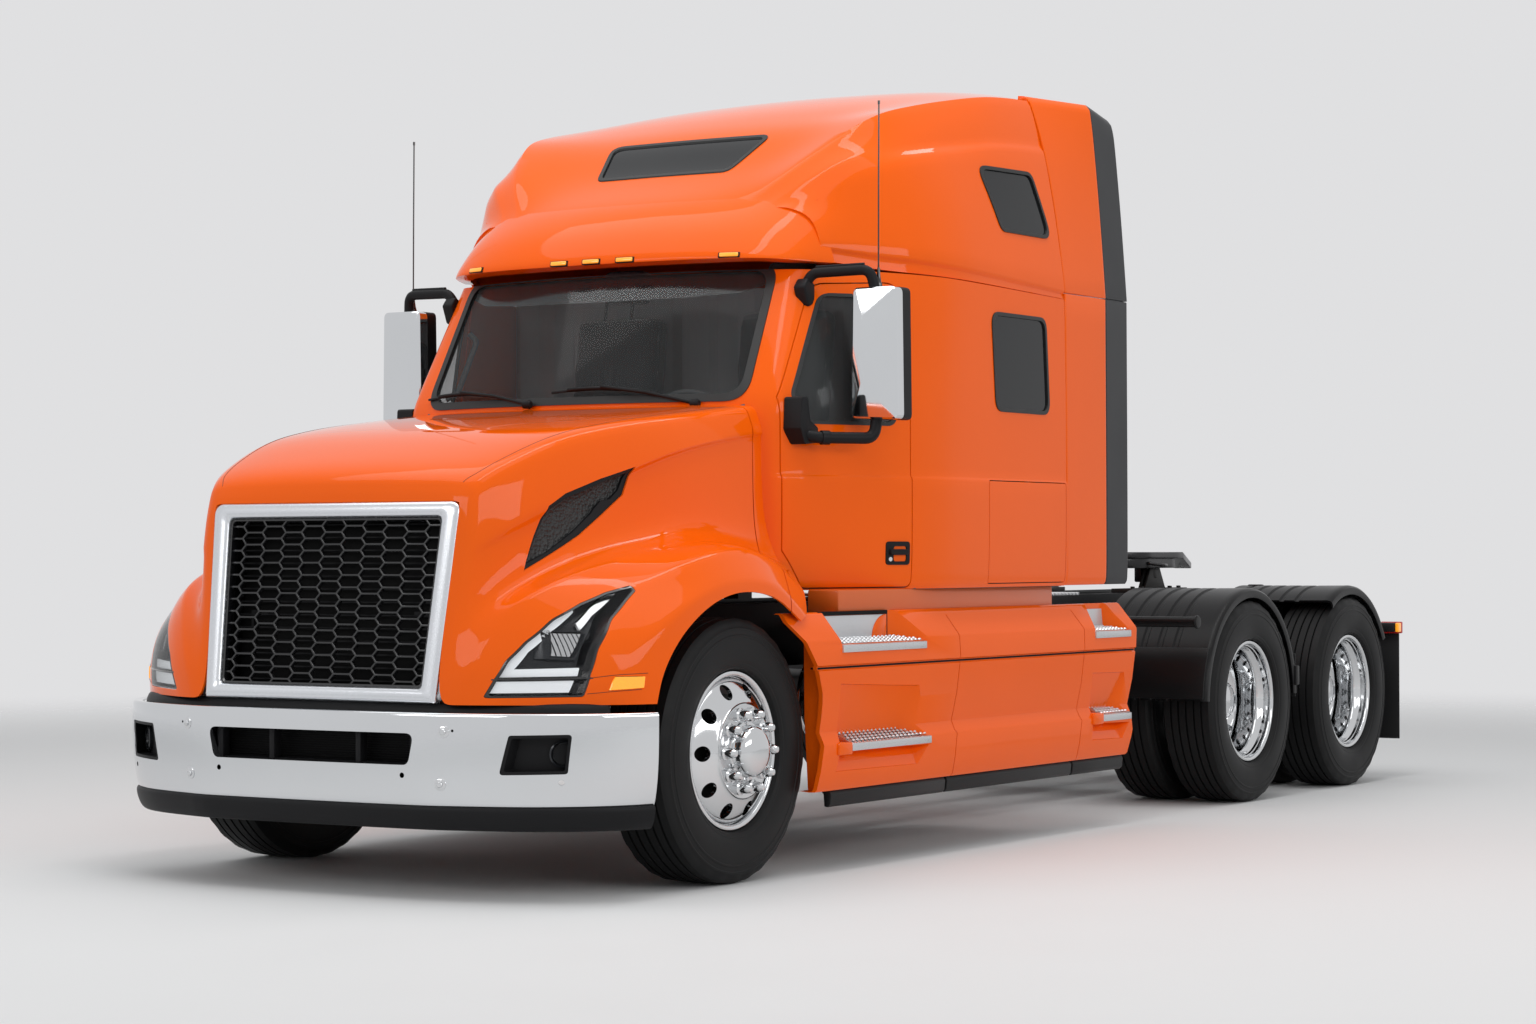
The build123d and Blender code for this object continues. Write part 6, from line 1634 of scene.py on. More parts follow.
@dataclass
class RoofGroup:
    """High roof with its visor, windows, marker lamps, side fairings and extenders.

    Args:
        wall: Thickness of the moulding.
    """

    wall: float = 0.012

    def build(self) -> None:
        """Makes the roof and the panels behind the sleeper."""
        surface = master("roof_master", ROOF_LINES, ROOF_SHARP, 21)
        roof = strip(surface, "roof_shell", plan_cutter("cut", [(-0.5, -1.4), (-0.5, 1.4), (SLEEPER_REAR, 1.4),
                                                               (SLEEPER_REAR, -1.4)], 2.2, 3.5), 0.0, self.wall,
                     plan_cutter("hole", rounded(SKYLIGHT, 0.045, 6), 2.6, 3.4), lined=True)
        for low, high in ((0.6, 1.5), (-1.5, -0.6)):
            carve(roof, [side_cutter("window_hole", rounded(UPPER_WINDOW, 0.055, 6), low, high)])
        smooth(roof, 35)
        dress(roof, ORANGE, "chassis", "orange_paint", "roof_fairing", inner=CABIN_LINER)
        self._panes(surface)
        bpy.data.objects.remove(surface)
        self._visor()
        self._back()
        self._rear_panels()

    def _panes(self, surface: bpy.types.Object) -> None:
        """The skylight and the upper side windows.

        Args:
            surface: The open master surface.
        """
        top = patch(surface, "top_patch", lambda p: -1.7 < p.x < -1.0 and abs(p.y) < 0.62)
        seal = strip(top, "skylight_seal", plan_cutter("cut", rounded(grown(SKYLIGHT, 0.004), 0.05, 6), 2.6, 3.4),
                     0.005, 0.018, plan_cutter("hole", rounded(grown(SKYLIGHT, -0.014), 0.035, 6), 2.6, 3.4))
        apply_modifier(seal, "BEVEL", width=0.003, segments=2, limit_method="ANGLE")
        pane = strip(top, "skylight_pane", plan_cutter("cut", rounded(grown(SKYLIGHT, -0.009), 0.04, 6), 2.6, 3.4),
                     -0.002, 0.005)
        bpy.data.objects.remove(top)
        seals = [seal]
        for sign, side in ((1, "left"), (-1, "right")):
            low, high = (0.6, 1.5) if sign > 0 else (-1.5, -0.6)
            near = patch(surface, "upper_patch", lambda p: p.y * sign > 0.9 and p.x < -1.8 and 2.5 < p.z < 3.12)
            outline = rounded(UPPER_WINDOW, 0.055, 6)
            ring = strip(near, "seal", side_cutter("cut", outline, low, high), 0.005, 0.020,
                         side_cutter("hole", rounded(grown(UPPER_WINDOW, -0.016), 0.045, 6), low, high))
            apply_modifier(ring, "BEVEL", width=0.003, segments=2, limit_method="ANGLE")
            seals.append(ring)
            glass = strip(near, f"upper_pane_{side}",
                          side_cutter("cut", rounded(grown(UPPER_WINDOW, -0.011), 0.045, 6), low, high),
                          -0.003, 0.005)
            dress(glass, DARK_GLASS, "chassis", "glass")
            bpy.data.objects.remove(near)
        dress(joined("roof_window_seals", seals), GASKET, "chassis", "black_plastic")
        dress(pane, DARK_GLASS, "chassis", "glass", "roof_windows")

    def _visor(self) -> None:
        """The visor over the windscreen and its five marker lamps."""
        visor = master("visor_shell", VISOR_LINES, VISOR_SHARP, 21)
        lamps, seats = [], []
        for y in (-0.640, -0.166, 0.0, 0.166, 0.640):
            _, spot, normal, _ = visor.ray_cast(Vector((0.0, y, 2.446)), Vector((-1, 0, 0)))
            turn = Matrix.Translation(spot) @ normal.to_track_quat("X", "Z").to_matrix().to_4x4()
            seat = bar("seat", (-0.012, -0.046, -0.0115), (0.004, 0.046, 0.0115), 0.003)
            lamp = bar("lamp", (-0.006, -0.040, -0.0085), (0.009, 0.040, 0.0085), 0.004, 3)
            for part in (seat, lamp):
                part.data.transform(turn)
            seats.append(seat)
            lamps.append(lamp)
        walled(visor, self.wall)
        smooth(visor, 35)
        dress(visor, ORANGE, "chassis", "orange_paint")
        dress(joined("visor_lamp_seats", seats), PLASTIC, "chassis", "black_plastic")
        dress(joined("visor_marker_lamps", lamps), AMBER, "chassis", "lamp_lens")

    def _back(self) -> None:
        """Wall that closes the roof behind."""
        rear = [line[-1] for line in ROOF_LINES.values()]
        half = [(y - 0.006, z - 0.008) for _, y, z in rear if y > 0.1]
        outline = [(0.0, rear[0][2] - 0.008)] + half
        outline += [(-y, z) for y, z in reversed(outline[1:])]
        wall = prism("roof_back_wall", front_outline(outline, SLEEPER_REAR + 0.002), (0.018, 0, 0), 0.003)
        dress(wall, ORANGE, "chassis", "orange_paint")

    def _rear_panels(self) -> None:
        """The fairings and the black extenders behind the sleeper."""
        def sheet(name: str, x0: float, x1: float, low: float, high: float, drop: float) -> bpy.types.Object:
            lines, sharp = [], {}
            for z, front_y, rear_y, weight in REAR_PANEL_LEVELS:
                if not low <= z <= high:
                    continue
                row = []
                for x in (x0, x0 + (x1 - x0) * 0.35, x0 + (x1 - x0) * 0.7, x1):
                    t = min(1.0, (x - SLEEPER_REAR) / (FAIRING_REAR - SLEEPER_REAR))
                    fall = drop * max(0.0, (x0 - x) / (x0 - x1)) if z > 3.2 else 0.0
                    row.append((x, front_y + (rear_y - front_y) * t, z - fall))
                sharp[len(lines)] = weight
                lines.append(row)
            panel = skin(name, lines, 9, sharp, levels=2, mirror=False)
            if panel.data.polygons[0].normal.y < 0:
                in_edit(panel, lambda: bpy.ops.mesh.flip_normals())
            walled(panel, 0.026)
            apply_modifier(panel, "BEVEL", width=0.004, segments=2, limit_method="ANGLE",
                           angle_limit=math.radians(50))
            return panel

        for name, low, high in (("lower", 1.0, 2.389), ("upper", 2.389, 3.4)):
            panel = sheet(f"side_fairing_{name}", SLEEPER_REAR - 0.004, FAIRING_REAR, low, high, 0.0)
            if name == "upper":
                panel.data.transform(Matrix.Translation((0, 0, 0.004)))
            nodes = ("side_fairings",) if name == "lower" else ()
            twin = mirrored(panel, f"side_fairing_{name}_right")
            dress(joined(f"side_fairings_{name}", [panel, twin]), ORANGE, "chassis", "orange_paint", *nodes)
            blade = sheet(f"side_extender_{name}", FAIRING_REAR - 0.003, EXTENDER_REAR, low, high, 0.045)
            if name == "upper":
                blade.data.transform(Matrix.Translation((0, 0, 0.004)))
            nodes = ("side_extenders",) if name == "lower" else ()
            twin = mirrored(blade, f"side_extender_{name}_right")
            dress(joined(f"side_extenders_{name}", [blade, twin]), EXTENDER_BLACK, "chassis", "black_plastic",
                  *nodes)


@dataclass
class MirrorGroup:
    """Mirror head on its two arms, with the aerial.

    Args:
        inner: y of the head's inner side.
        outer: y of the head's outer side.
        low: z of the head's foot.
        high: z of the head's top.
        front: x of the head's front corners.
    """

    inner: float = 1.095
    outer: float = 1.310
    low: float = 1.772
    high: float = 2.305
    front: float = -0.940

    def build(self) -> None:
        """Makes the left mirror and its right-hand twin on the doors."""
        bodies = ("door_left_panel", "door_right_panel")
        both_sides(self._cap(), CHROME, bodies, "polished_metal", ("mirror_left", "mirror_right"))
        both_sides(self._shell(), PLASTIC, bodies, "black_plastic")
        both_sides(self._panes(), MIRROR_GLASS, bodies, "glass")
        both_sides(self._arms(), PLASTIC, bodies, "black_plastic")
        both_sides(self._aerial(), GLOSS_BLACK, bodies, "black_plastic")

    def _outline(self, shrink: float = 0.0) -> list[Flat]:
        """Outline of the mirror's head, seen from the front.

        Args:
            shrink: How far it draws in, m.

        Returns:
            The outline's points.
        """
        box = [(self.inner + shrink, self.low + 0.01 + shrink), (self.outer - shrink, self.low + shrink),
               (self.outer - 0.006 - shrink, self.high - shrink), (self.inner + 0.008 + shrink, self.high - shrink)]
        return rounded(box, 0.026, 5)

    def _cap(self) -> bpy.types.Object:
        """Bright faceted cap with a ridge and four hips."""
        cap = loop("mirror_cap", front_outline(self._outline(), self.front - 0.058), fill=True)
        ridge_y, ridge = self.inner + 0.060, (self.low + 0.165, self.high - 0.115)
        in_edit(cap, lambda: bpy.ops.mesh.extrude_region_move(TRANSFORM_OT_translate={"value": (0.058, 0, 0)}))
        face = max(cap.data.polygons, key=lambda p: (p.center.x, p.area))
        centre = face.center.x
        pick(cap, lambda middle: abs(middle.x - centre) < 1e-5)
        in_edit(cap, lambda: bpy.ops.mesh.inset(thickness=0.007),
                lambda: bpy.ops.transform.translate(value=(0.006, 0, 0)), select="KEEP")
        in_edit(cap, lambda: bpy.ops.mesh.extrude_region_move(TRANSFORM_OT_translate={"value": (0.001, 0, 0)}),
                select="KEEP")
        top = max(v.co.x for v in cap.data.vertices)
        for vertex in cap.data.vertices:
            if vertex.co.x > top - 1e-5:
                y, z = vertex.co.y, vertex.co.z
                vertex.co = (self.front + 0.018, ridge_y + (y - ridge_y) * 0.02, min(max(z, ridge[0]), ridge[1]))
        outward(cap)
        smooth(cap, 14)
        return cap

    def _shell(self) -> bpy.types.Object:
        """Black housing behind the cap, hollow towards the glass."""
        outer, inner = self._outline(-0.001), self._outline(0.010)
        section = [(0, -0.112), (0, -0.104), (0, -0.052), (0.4, -0.048), (1, -0.052), (1, -0.096), (0.6, -0.110)]
        shell = band("mirror_shell", outer, inner, section, lambda y, z, h: (self.front + h, y, z))
        divider = bar("divider", (self.front - 0.106, self.inner + 0.005, self.low + 0.172),
                      (self.front - 0.085, self.outer - 0.005, self.low + 0.182), 0.002)
        return joined("mirror_shell", [shell, divider])

    def _panes(self) -> bpy.types.Object:
        """The main and the wide-angle glass.

        Returns:
            The joined panes.
        """
        low = [(self.inner + 0.014, self.low + 0.018), (self.outer - 0.014, self.low + 0.014),
               (self.outer - 0.014, self.low + 0.168), (self.inner + 0.014, self.low + 0.168)]
        high = [(self.inner + 0.014, self.low + 0.186), (self.outer - 0.014, self.low + 0.186),
                (self.outer - 0.018, self.high - 0.014), (self.inner + 0.018, self.high - 0.014)]
        parts = [prism("pane", front_outline(rounded(shape, 0.016, 4), self.front - 0.100), (0.006, 0, 0), 0.0015)
                 for shape in (low, high)]
        return joined("mirror_glass", parts)

    def _arms(self) -> bpy.types.Object:
        """The two arms that carry the head.

        Returns:
            The joined arms.
        """
        upper = tube("upper", [(-0.915, 0.872, 2.300), (-0.918, 0.930, 2.372), (-0.955, 1.175, 2.378),
                               (-0.972, 1.190, 2.290)], 0.0215, bend=0.055, resolution=5)
        rib = tube("rib", [(-0.918, 0.945, 2.394), (-0.952, 1.150, 2.399)], 0.007, resolution=3)
        foot = prism("foot", side_outline(rounded([(-0.895, 2.235), (-0.862, 2.315), (-0.895, 2.352),
                                                   (-0.945, 2.330), (-0.945, 2.245)], 0.015, 4), 0.868),
                     (0, 0.055, 0), 0.008, 3)
        lower = tube("lower", [(-0.720, 0.985, 1.712), (-0.765, 1.050, 1.700), (-0.960, 1.188, 1.700),
                               (-0.975, 1.195, 1.790)], 0.024, bend=0.06, resolution=5)
        block = prism("block", side_outline(rounded([(-0.680, 1.862), (-0.672, 1.735), (-0.705, 1.672),
                                                     (-0.800, 1.680), (-0.805, 1.742), (-0.745, 1.770),
                                                     (-0.728, 1.862)], 0.014, 4), 0.938), (0, 0.085, 0), 0.010, 3)
        collar = tube("collar", [(-0.772, 1.054, 1.700), (-0.800, 1.074, 1.700)], 0.029, resolution=5)
        return joined("mirror_arms", [upper, rib, foot, lower, block, collar])

    def _aerial(self) -> bpy.types.Object:
        """The whip aerial beside the door.

        Returns:
            The joined aerial.
        """
        x, y = -1.0, 1.188
        base = turned("base", [(0.0, 0.0), (0.014, 0.0), (0.016, 0.012), (0.011, 0.030), (0.008, 0.052),
                               (0.0055, 0.085), (0.0, 0.087)], (0, 0, 0), 20)
        base.data.transform(Matrix.Translation((x, y, 2.302)) @ Matrix.Rotation(math.radians(90), 4, "X"))
        whip = tube("whip", [(x, y, 2.38), (x - 0.002, y, 2.70), (x - 0.006, y, 3.050)], 0.0032, resolution=3)
        tip = tube("tip", [(x - 0.006, y, 3.045), (x - 0.006, y, 3.060)], 0.0050, resolution=3)
        return joined("aerial", [base, whip, tip])


@dataclass
class InteriorGroup:
    """Seats, bunk, dashboard and steering wheel seen through the glass.

    Args:
        seat_y: How far each seat's middle stands from the centre line.
        seat_x: Middle of the seat cushion.
        floor: Top of the floor.
    """

    seat_y: float = 0.43
    seat_x: float = -1.15
    floor: float = 1.14

    def build(self) -> None:
        """Makes the furniture."""
        for sign, side in ((1, "left"), (-1, "right")):
            self._seat(sign, side)
        self._dashboard()
        self._steering_wheel()
        self._bunk()
        self._far_details()

    @staticmethod
    def cushion(name: str, low: Point, high: Point, crown: float, axis: int, radius: float = 0.04,
                channels: int = 0) -> bpy.types.Object:
        """Crowned pad between two corners, with sewn channels.

        Args:
            name: Name of the pad.
            low: Lowest corner.
            high: Highest corner.
            crown: How far its middle swells.
            axis: Direction of the crown, 0 for X and 2 for Z.
            radius: Roundness of its edges.
            channels: Number of sewn channels across it.

        Returns:
            The padded mesh.
        """
        pad = bar(name, low, high, radius, 3)
        in_edit(pad, lambda: bpy.ops.mesh.subdivide(number_cuts=3))
        apply_modifier(pad, "SUBSURF", levels=1, render_levels=1)
        middle = [(a + b) / 2 for a, b in zip(low, high)]
        half = [(b - a) / 2 for a, b in zip(low, high)]
        across = [i for i in range(3) if i != axis]
        for vertex in pad.data.vertices:
            spot = vertex.co
            u, v = ((spot[i] - middle[i]) / half[i] for i in across)
            swell = max(0.0, (1 - u * u) * (1 - v * v))
            side = 1 if spot[axis] > middle[axis] else -0.3
            dent = 0.0
            if channels:
                phase = (v if axis == 0 else u) * channels / 2
                dent = 0.012 * math.exp(-((phase - round(phase)) / 0.09) ** 2)
            spot[axis] += side * (crown * swell - dent * (1 if swell > 0.02 else 0))
            for i, share in zip(across, (u, v)):
                spot[i] -= share * 0.02 * (1 - swell)
        smooth(pad, 80)
        return pad

    def _seat(self, sign: int, side: str) -> None:
        """One cab seat on its base.

        Args:
            sign: 1 on the left side, -1 on the right.
            side: "left" or "right".
        """
        x, y, z = self.seat_x, self.seat_y * sign, self.floor
        base = self.cushion(f"seat_cushion_{side}", (x - 0.26, y - 0.25, z + 0.36), (x + 0.26, y + 0.25, z + 0.50),
                            0.030, 2, 0.045, 3)
        back = self.cushion(f"seat_back_{side}", (x - 0.36, y - 0.24, z + 0.50), (x - 0.24, y + 0.24, z + 1.16),
                            0.035, 0, 0.045, 5)
        lean = Matrix.Translation((x - 0.3, y, z + 0.5)) @ Matrix.Rotation(math.radians(-8), 4, "Y") @ \
            Matrix.Translation((-(x - 0.3), -y, -(z + 0.5)))
        head = self.cushion(f"seat_headrest_{side}", (x - 0.36, y - 0.13, z + 1.19), (x - 0.26, y + 0.13, z + 1.38),
                            0.020, 0, 0.04, 0)
        for pad in (back, head):
            pad.data.transform(lean)
        nodes = ("seats",) if sign > 0 else ()
        for pad in (base, back, head):
            dress(pad, CLOTH, "chassis", "cloth", *(nodes if pad is base else ()))
        posts = [tube("post", [(x - 0.33, y + dy, z + 1.05), (x - 0.36, y + dy, z + 1.25)], 0.007, resolution=2)
                 for dy in (-0.07, 0.07)]
        pedestal = prism("pedestal", plan_outline(rounded([(x - 0.2, y - 0.18), (x + 0.2, y - 0.18),
                                                           (x + 0.2, y + 0.18), (x - 0.2, y + 0.18)], 0.04), z),
                         (0, 0, 0.37), 0.012, 3)
        dress(joined(f"seat_pedestal_{side}", [pedestal, *posts]), CABIN_TRIM, "chassis", "black_plastic")

    def _dashboard(self) -> None:
        """The dashboard's moulding."""
        profile = [(-0.555, 1.15), (-0.60, 1.55), (-0.575, 1.81), (-0.62, 1.842), (-0.72, 1.835), (-0.835, 1.795),
                   (-0.862, 1.74), (-0.835, 1.62), (-0.74, 1.55), (-0.70, 1.15)]
        dash = prism("dashboard_moulding", side_outline(rounded(profile, 0.02, 4), -0.80), (0, 1.60, 0), 0.012, 3)
        dress(dash, CABIN_TRIM, "chassis", "black_plastic", "dashboard")
        hood_shape = [(-0.70, 1.83), (-0.845, 1.80), (-0.86, 1.855), (-0.83, 1.878), (-0.74, 1.87)]
        cover = prism("instrument_hood", side_outline(rounded(hood_shape, 0.012, 4), 0.22), (0, 0.42, 0), 0.010, 3)
        screen = prism("dash_screen", [(-0.862, 0.05, 1.70), (-0.862, -0.19, 1.70), (-0.850, -0.19, 1.80),
                                       (-0.850, 0.05, 1.80)], (0.012, 0, 0), 0.004)
        dress(joined("instrument_hood", [cover, screen]), CABIN_TRIM, "chassis", "black_plastic")

    def _steering_wheel(self) -> None:
        """The steering wheel and its column."""
        centre = Vector((-0.885, 0.43, 1.745))
        axis = Vector((0.72, 0, -0.69)).normalized()
        turn = Matrix.Translation(centre) @ axis.to_track_quat("Y", "Z").to_matrix().to_4x4()
        ring = [(0.208 * math.cos(a), 0, 0.208 * math.sin(a)) for a in (2 * math.pi * k / 64 for k in range(64))]
        rim = tube("rim", ring, 0.0145, closed=True, resolution=4)
        parts = [rim, turned("hub", [(0.0, -0.03), (0.055, -0.03), (0.070, -0.015), (0.066, 0.03), (0.04, 0.05),
                                     (0.0, 0.05)], (0, 0, 0), 32)]
        for degrees in (0, 180, 250, 290):
            a = math.radians(degrees)
            parts.append(tube("spoke", [(0.05 * math.cos(a), 0.0, 0.05 * math.sin(a)),
                                        (0.205 * math.cos(a), -0.003, 0.205 * math.sin(a))], 0.012, resolution=2))
        for part in parts:
            part.data.transform(turn)
        column = tube("column", [centre, centre + axis * 0.26], 0.035, resolution=4)
        dress(joined("steering_wheel_rim", [*parts, column]), CABIN_TRIM, "chassis", "black_plastic",
              "steering_wheel")

    def _bunk(self) -> None:
        """The mattress and the curtain in front of it."""
        mattress = self.cushion("bunk_mattress", (-2.52, -1.12, 1.50), (-1.82, 1.12, 1.63), 0.02, 2, 0.05, 0)
        dress(mattress, CLOTH, "chassis", "cloth", "bunk")
        base = prism("bunk_base", plan_outline([(-2.55, -1.15), (-1.80, -1.15), (-1.80, 1.15), (-2.55, 1.15)],
                                               self.floor), (0, 0, 0.355), 0.01)
        curtain = []
        for k in range(61):
            curtain.append((-1.72 + 0.022 * math.sin(k * 1.35), -1.16 + 2.32 * k / 60))
        back = curtain + [(x - 0.006, y) for x, y in reversed(curtain)]
        drape = prism("sleeper_curtain", plan_outline(back, self.floor + 0.01), (0, 0, 1.25))
        dress(drape, CABIN_LINER, "chassis", "cloth")
        dress(base, CABIN_TRIM, "chassis", "black_plastic")

    def _far_details(self) -> None:
        """Grab handles on the front pillars."""
        grips = []
        for sign in (1, -1):
            grips.append(tube("grip", [(-0.735, 0.800 * sign, 1.90), (-0.765, 0.760 * sign, 1.925),
                                       (-0.862, 0.730 * sign, 2.155), (-0.855, 0.765 * sign, 2.185)], 0.0125,
                              bend=0.03, resolution=4))
        dress(joined("pillar_grips", grips), CABIN_TRIM, "chassis", "black_plastic")


# ------------------------------------------------------------------ wheels
@dataclass
class WheelSet:
    """Road tyres and polished rims.

    Args:
        tyre_radius: Outside of the tread's middle.
        half: Half of the tyre's width; not used.
        tread_half: Half of the tread's width.
        grooves: Middle of each tread groove.
        disc: Rim centre to the disc's mating face.
        steer_y: Middle of a steered tyre.
        dual_y: Where the discs of a dual pair meet.
        drive_x: The two drive axles.
        steps: Facets round a wheel.
    """

    tyre_radius: float = 0.500
    half: float = 0.143
    tread_half: float = 0.118
    grooves: tuple[float, ...] = (-0.080, -0.041, 0.0, 0.041, 0.080)
    disc: float = 0.168
    steer_y: float = 1.018
    dual_y: float = 0.907
    drive_x: tuple[float, float] = (-4.645, -5.945)
    steps: int = 120

    def build(self) -> None:
        """Makes all ten wheels."""
        knuckle_bodies = ("steer_wheel_left", "steer_wheel_right")
        tyre = self._tyre("steer_road_tyre", (0.0, self.steer_y, 0.5))
        both_sides(tyre, TYRE, knuckle_bodies, "tyre", ("steer_tyre_left", "steer_tyre_right"))
        both_sides(self._steer_rim(), ALLOY, knuckle_bodies, "bright_aluminium",
                   ("steer_rim_left", "steer_rim_right"))
        both_sides(self._steer_drum(), CAST_STEEL, knuckle_bodies, "cast_steel")
        for x, pair in zip(self.drive_x, ("front", "rear")):
            bodies = (f"{pair}_drive_wheels_left", f"{pair}_drive_wheels_right")
            tyres = [self._tyre("tyre", (x, self.dual_y + side * self.disc, 0.5)) for side in (1, -1)]
            both_sides(joined(f"{pair}_drive_road_tyre", tyres), TYRE, bodies, "tyre",
                       (f"{pair}_drive_tyres_left", f"{pair}_drive_tyres_right"))
            both_sides(self._dual_rims(x, pair), ALLOY, bodies, "bright_aluminium",
                       (f"{pair}_drive_rims_left", f"{pair}_drive_rims_right"))
            drum = turned(f"{pair}_drive_drum", [(0.14, -0.22), (0.205, -0.22), (0.212, -0.20), (0.212, -0.03),
                                                 (0.20, -0.015), (0.14, -0.012)], (x, self.dual_y, 0.5), 64)
            both_sides(drum, CAST_STEEL, bodies, "cast_steel")

    def _tyre(self, name: str, centre: Point) -> bpy.types.Object:
        """Tyre with ribs, moulded rings and shoulder notches."""
        crown = [(self._crown(self.tread_half), self.tread_half)]
        for middle in reversed(self.grooves):
            for offset, deep in ((0.0048, False), (0.0030, True), (-0.0030, True), (-0.0048, False)):
                spot = middle + offset
                crown.append((0.4885 if deep else self._crown(spot), spot))
        crown.append((self._crown(-self.tread_half), -self.tread_half))
        side = [(0.2845, 0.1035), (0.300, 0.1052), (0.3055, 0.118), (0.312, 0.1285), (0.322, 0.1335),
                (0.326, 0.1352), (0.331, 0.1352), (0.334, 0.1368), (0.352, 0.1402), (0.372, 0.1424),
                (0.395, 0.1430), (0.412, 0.1424), (0.426, 0.1410), (0.4285, 0.1428), (0.434, 0.1424),
                (0.4365, 0.1400), (0.452, 0.1380), (0.4545, 0.1394), (0.460, 0.1386), (0.4625, 0.1360),
                (0.474, 0.1325), (0.483, 0.1288), (0.4895, 0.1240)]
        profile = side + crown + [(r, -d) for r, d in reversed(side)]
        tyre = turned(name, profile, centre, self.steps)
        pitch = 2 * math.pi / self.steps
        for vertex in tyre.data.vertices:
            x, y, z = vertex.co.x - centre[0], vertex.co.y - centre[1], vertex.co.z - centre[2]
            radius = math.hypot(x, z)
            if radius > 0.472 and abs(y) > self.tread_half - 0.002:
                step = round(math.atan2(z, x) / pitch)
                if step % 4 in (0, 1):
                    share = (radius - 0.0018) / radius
                    vertex.co.x, vertex.co.z = centre[0] + x * share, centre[2] + z * share
                    vertex.co.y = centre[1] + y - math.copysign(0.0014, y)
        smooth(tyre, 28)
        return tyre

    def _crown(self, depth: float) -> float:
        """Radius of the tread at a distance from its middle.

        Args:
            depth: Distance from the tread's middle, m.

        Returns:
            The radius, m.
        """
        return self.tyre_radius - 0.0035 * (depth / self.tread_half) ** 2

    @staticmethod
    def _barrel(outward_y: float, centre: Point) -> bpy.types.Object:
        """Rolled flange and stepped barrel of a rim."""
        half = [(0.2840, 0.1035), (0.2975, 0.1035), (0.3000, 0.1060), (0.3005, 0.1110), (0.2985, 0.1155),
                (0.2940, 0.1180), (0.2880, 0.1175), (0.2830, 0.1145), (0.2800, 0.1095), (0.2785, 0.1020),
                (0.2785, 0.0880), (0.2745, 0.0860), (0.2745, 0.0720), (0.2690, 0.0660), (0.2640, 0.0560),
                (0.2610, 0.0540), (0.2550, 0.0450), (0.2530, 0.0300), (0.2530, 0.0)]
        outside = [(0.2585, 0.0), (0.2585, 0.045), (0.2800, 0.070)]
        profile = [*half, *[(r, -d) for r, d in reversed(half[:-1])], (0.2800, -0.070), (0.2585, -0.045),
                   *outside]
        return turned("barrel", profile, centre, 96, outward_y=outward_y)

    def _disc(self, outward_y: float, centre: Point) -> bpy.types.Object:
        """Dished disc with its ring of hand holes."""
        face = [(0.2765, 0.088), (0.2730, 0.099), (0.2670, 0.108), (0.2560, 0.118), (0.2420, 0.1275),
                (0.2260, 0.1365), (0.2080, 0.1455), (0.1920, 0.1530), (0.1830, 0.1570), (0.1795, 0.1600),
                (0.1775, 0.1665), (0.1755, 0.1680), (0.0500, 0.1680)]
        back = [(0.0500, 0.1470), (0.1700, 0.1470), (0.1950, 0.1330), (0.2200, 0.1200), (0.2400, 0.1080),
                (0.2560, 0.0950), (0.2650, 0.0700)]
        disc = turned("disc", face + back, centre, 96, outward_y=outward_y)
        cutters = []
        for k in range(10):
            angle = 2 * math.pi * k / 10
            x, z = centre[0] + 0.232 * math.cos(angle), centre[2] + 0.232 * math.sin(angle)
            outline = [(x + 0.029 * math.cos(a), z + 0.029 * math.sin(a))
                       for a in (2 * math.pi * j / 28 for j in range(28))]
            low, high = sorted((centre[1] + outward_y * 0.02, centre[1] + outward_y * 0.19))
            cutters.append(side_cutter("hand_hole", outline, low, high))
        carve(disc, [joined("hand_holes", cutters)])
        apply_modifier(disc, "BEVEL", width=0.0035, segments=3, limit_method="ANGLE",
                       angle_limit=math.radians(38))
        smooth(disc, 40)
        return disc

    @staticmethod
    def _ring_of_nuts(centre: Point, height: float, radius: float, count: int = 10) -> bpy.types.Object:
        """Tall domed nut covers on their bolt circle."""
        nuts = []
        for k in range(count):
            angle = 2 * math.pi * k / count
            spot = (centre[0] + 0.1428 * math.cos(angle), centre[1], centre[2] + 0.1428 * math.sin(angle))
            nuts.append(turned("nut", [(0.0, -0.002), (radius + 0.007, -0.002), (radius + 0.007, 0.010),
                                       (radius + 0.003, 0.013), (radius, 0.015), (radius - 0.001, height * 0.60),
                                       (radius - 0.004, height * 0.80), (radius - 0.009, height * 0.95),
                                       (0.0, height)], spot, 18))
        return joined("nuts", nuts)

    def _steer_rim(self) -> bpy.types.Object:
        """The left steered rim with its disc, nuts and cap.

        Returns:
            The joined rim.
        """
        centre = (0.0, self.steer_y, 0.5)
        face = (0.0, self.steer_y + self.disc, 0.5)
        cap = turned("cap", [(0.0, -0.006), (0.112, -0.006), (0.113, 0.003), (0.110, 0.009), (0.100, 0.012),
                             (0.097, 0.018), (0.0965, 0.034), (0.0945, 0.044), (0.089, 0.054), (0.079, 0.0625),
                             (0.064, 0.0695), (0.044, 0.0745), (0.022, 0.0765), (0.0, 0.077)], face, 80)
        studs = []
        for k in range(6):
            angle = 2 * math.pi * (k + 0.5) / 6
            studs.append(turned("stud", [(0.0, 0.0), (0.0075, 0.0), (0.0075, 0.006), (0.0, 0.007)],
                                (0.104 * math.cos(angle), face[1] + 0.009, 0.5 + 0.104 * math.sin(angle)), 12))
        parts = [self._barrel(1, centre), self._disc(1, centre), self._ring_of_nuts(face, 0.058, 0.0205), cap]
        return joined("steer_rim_polished", parts + studs)

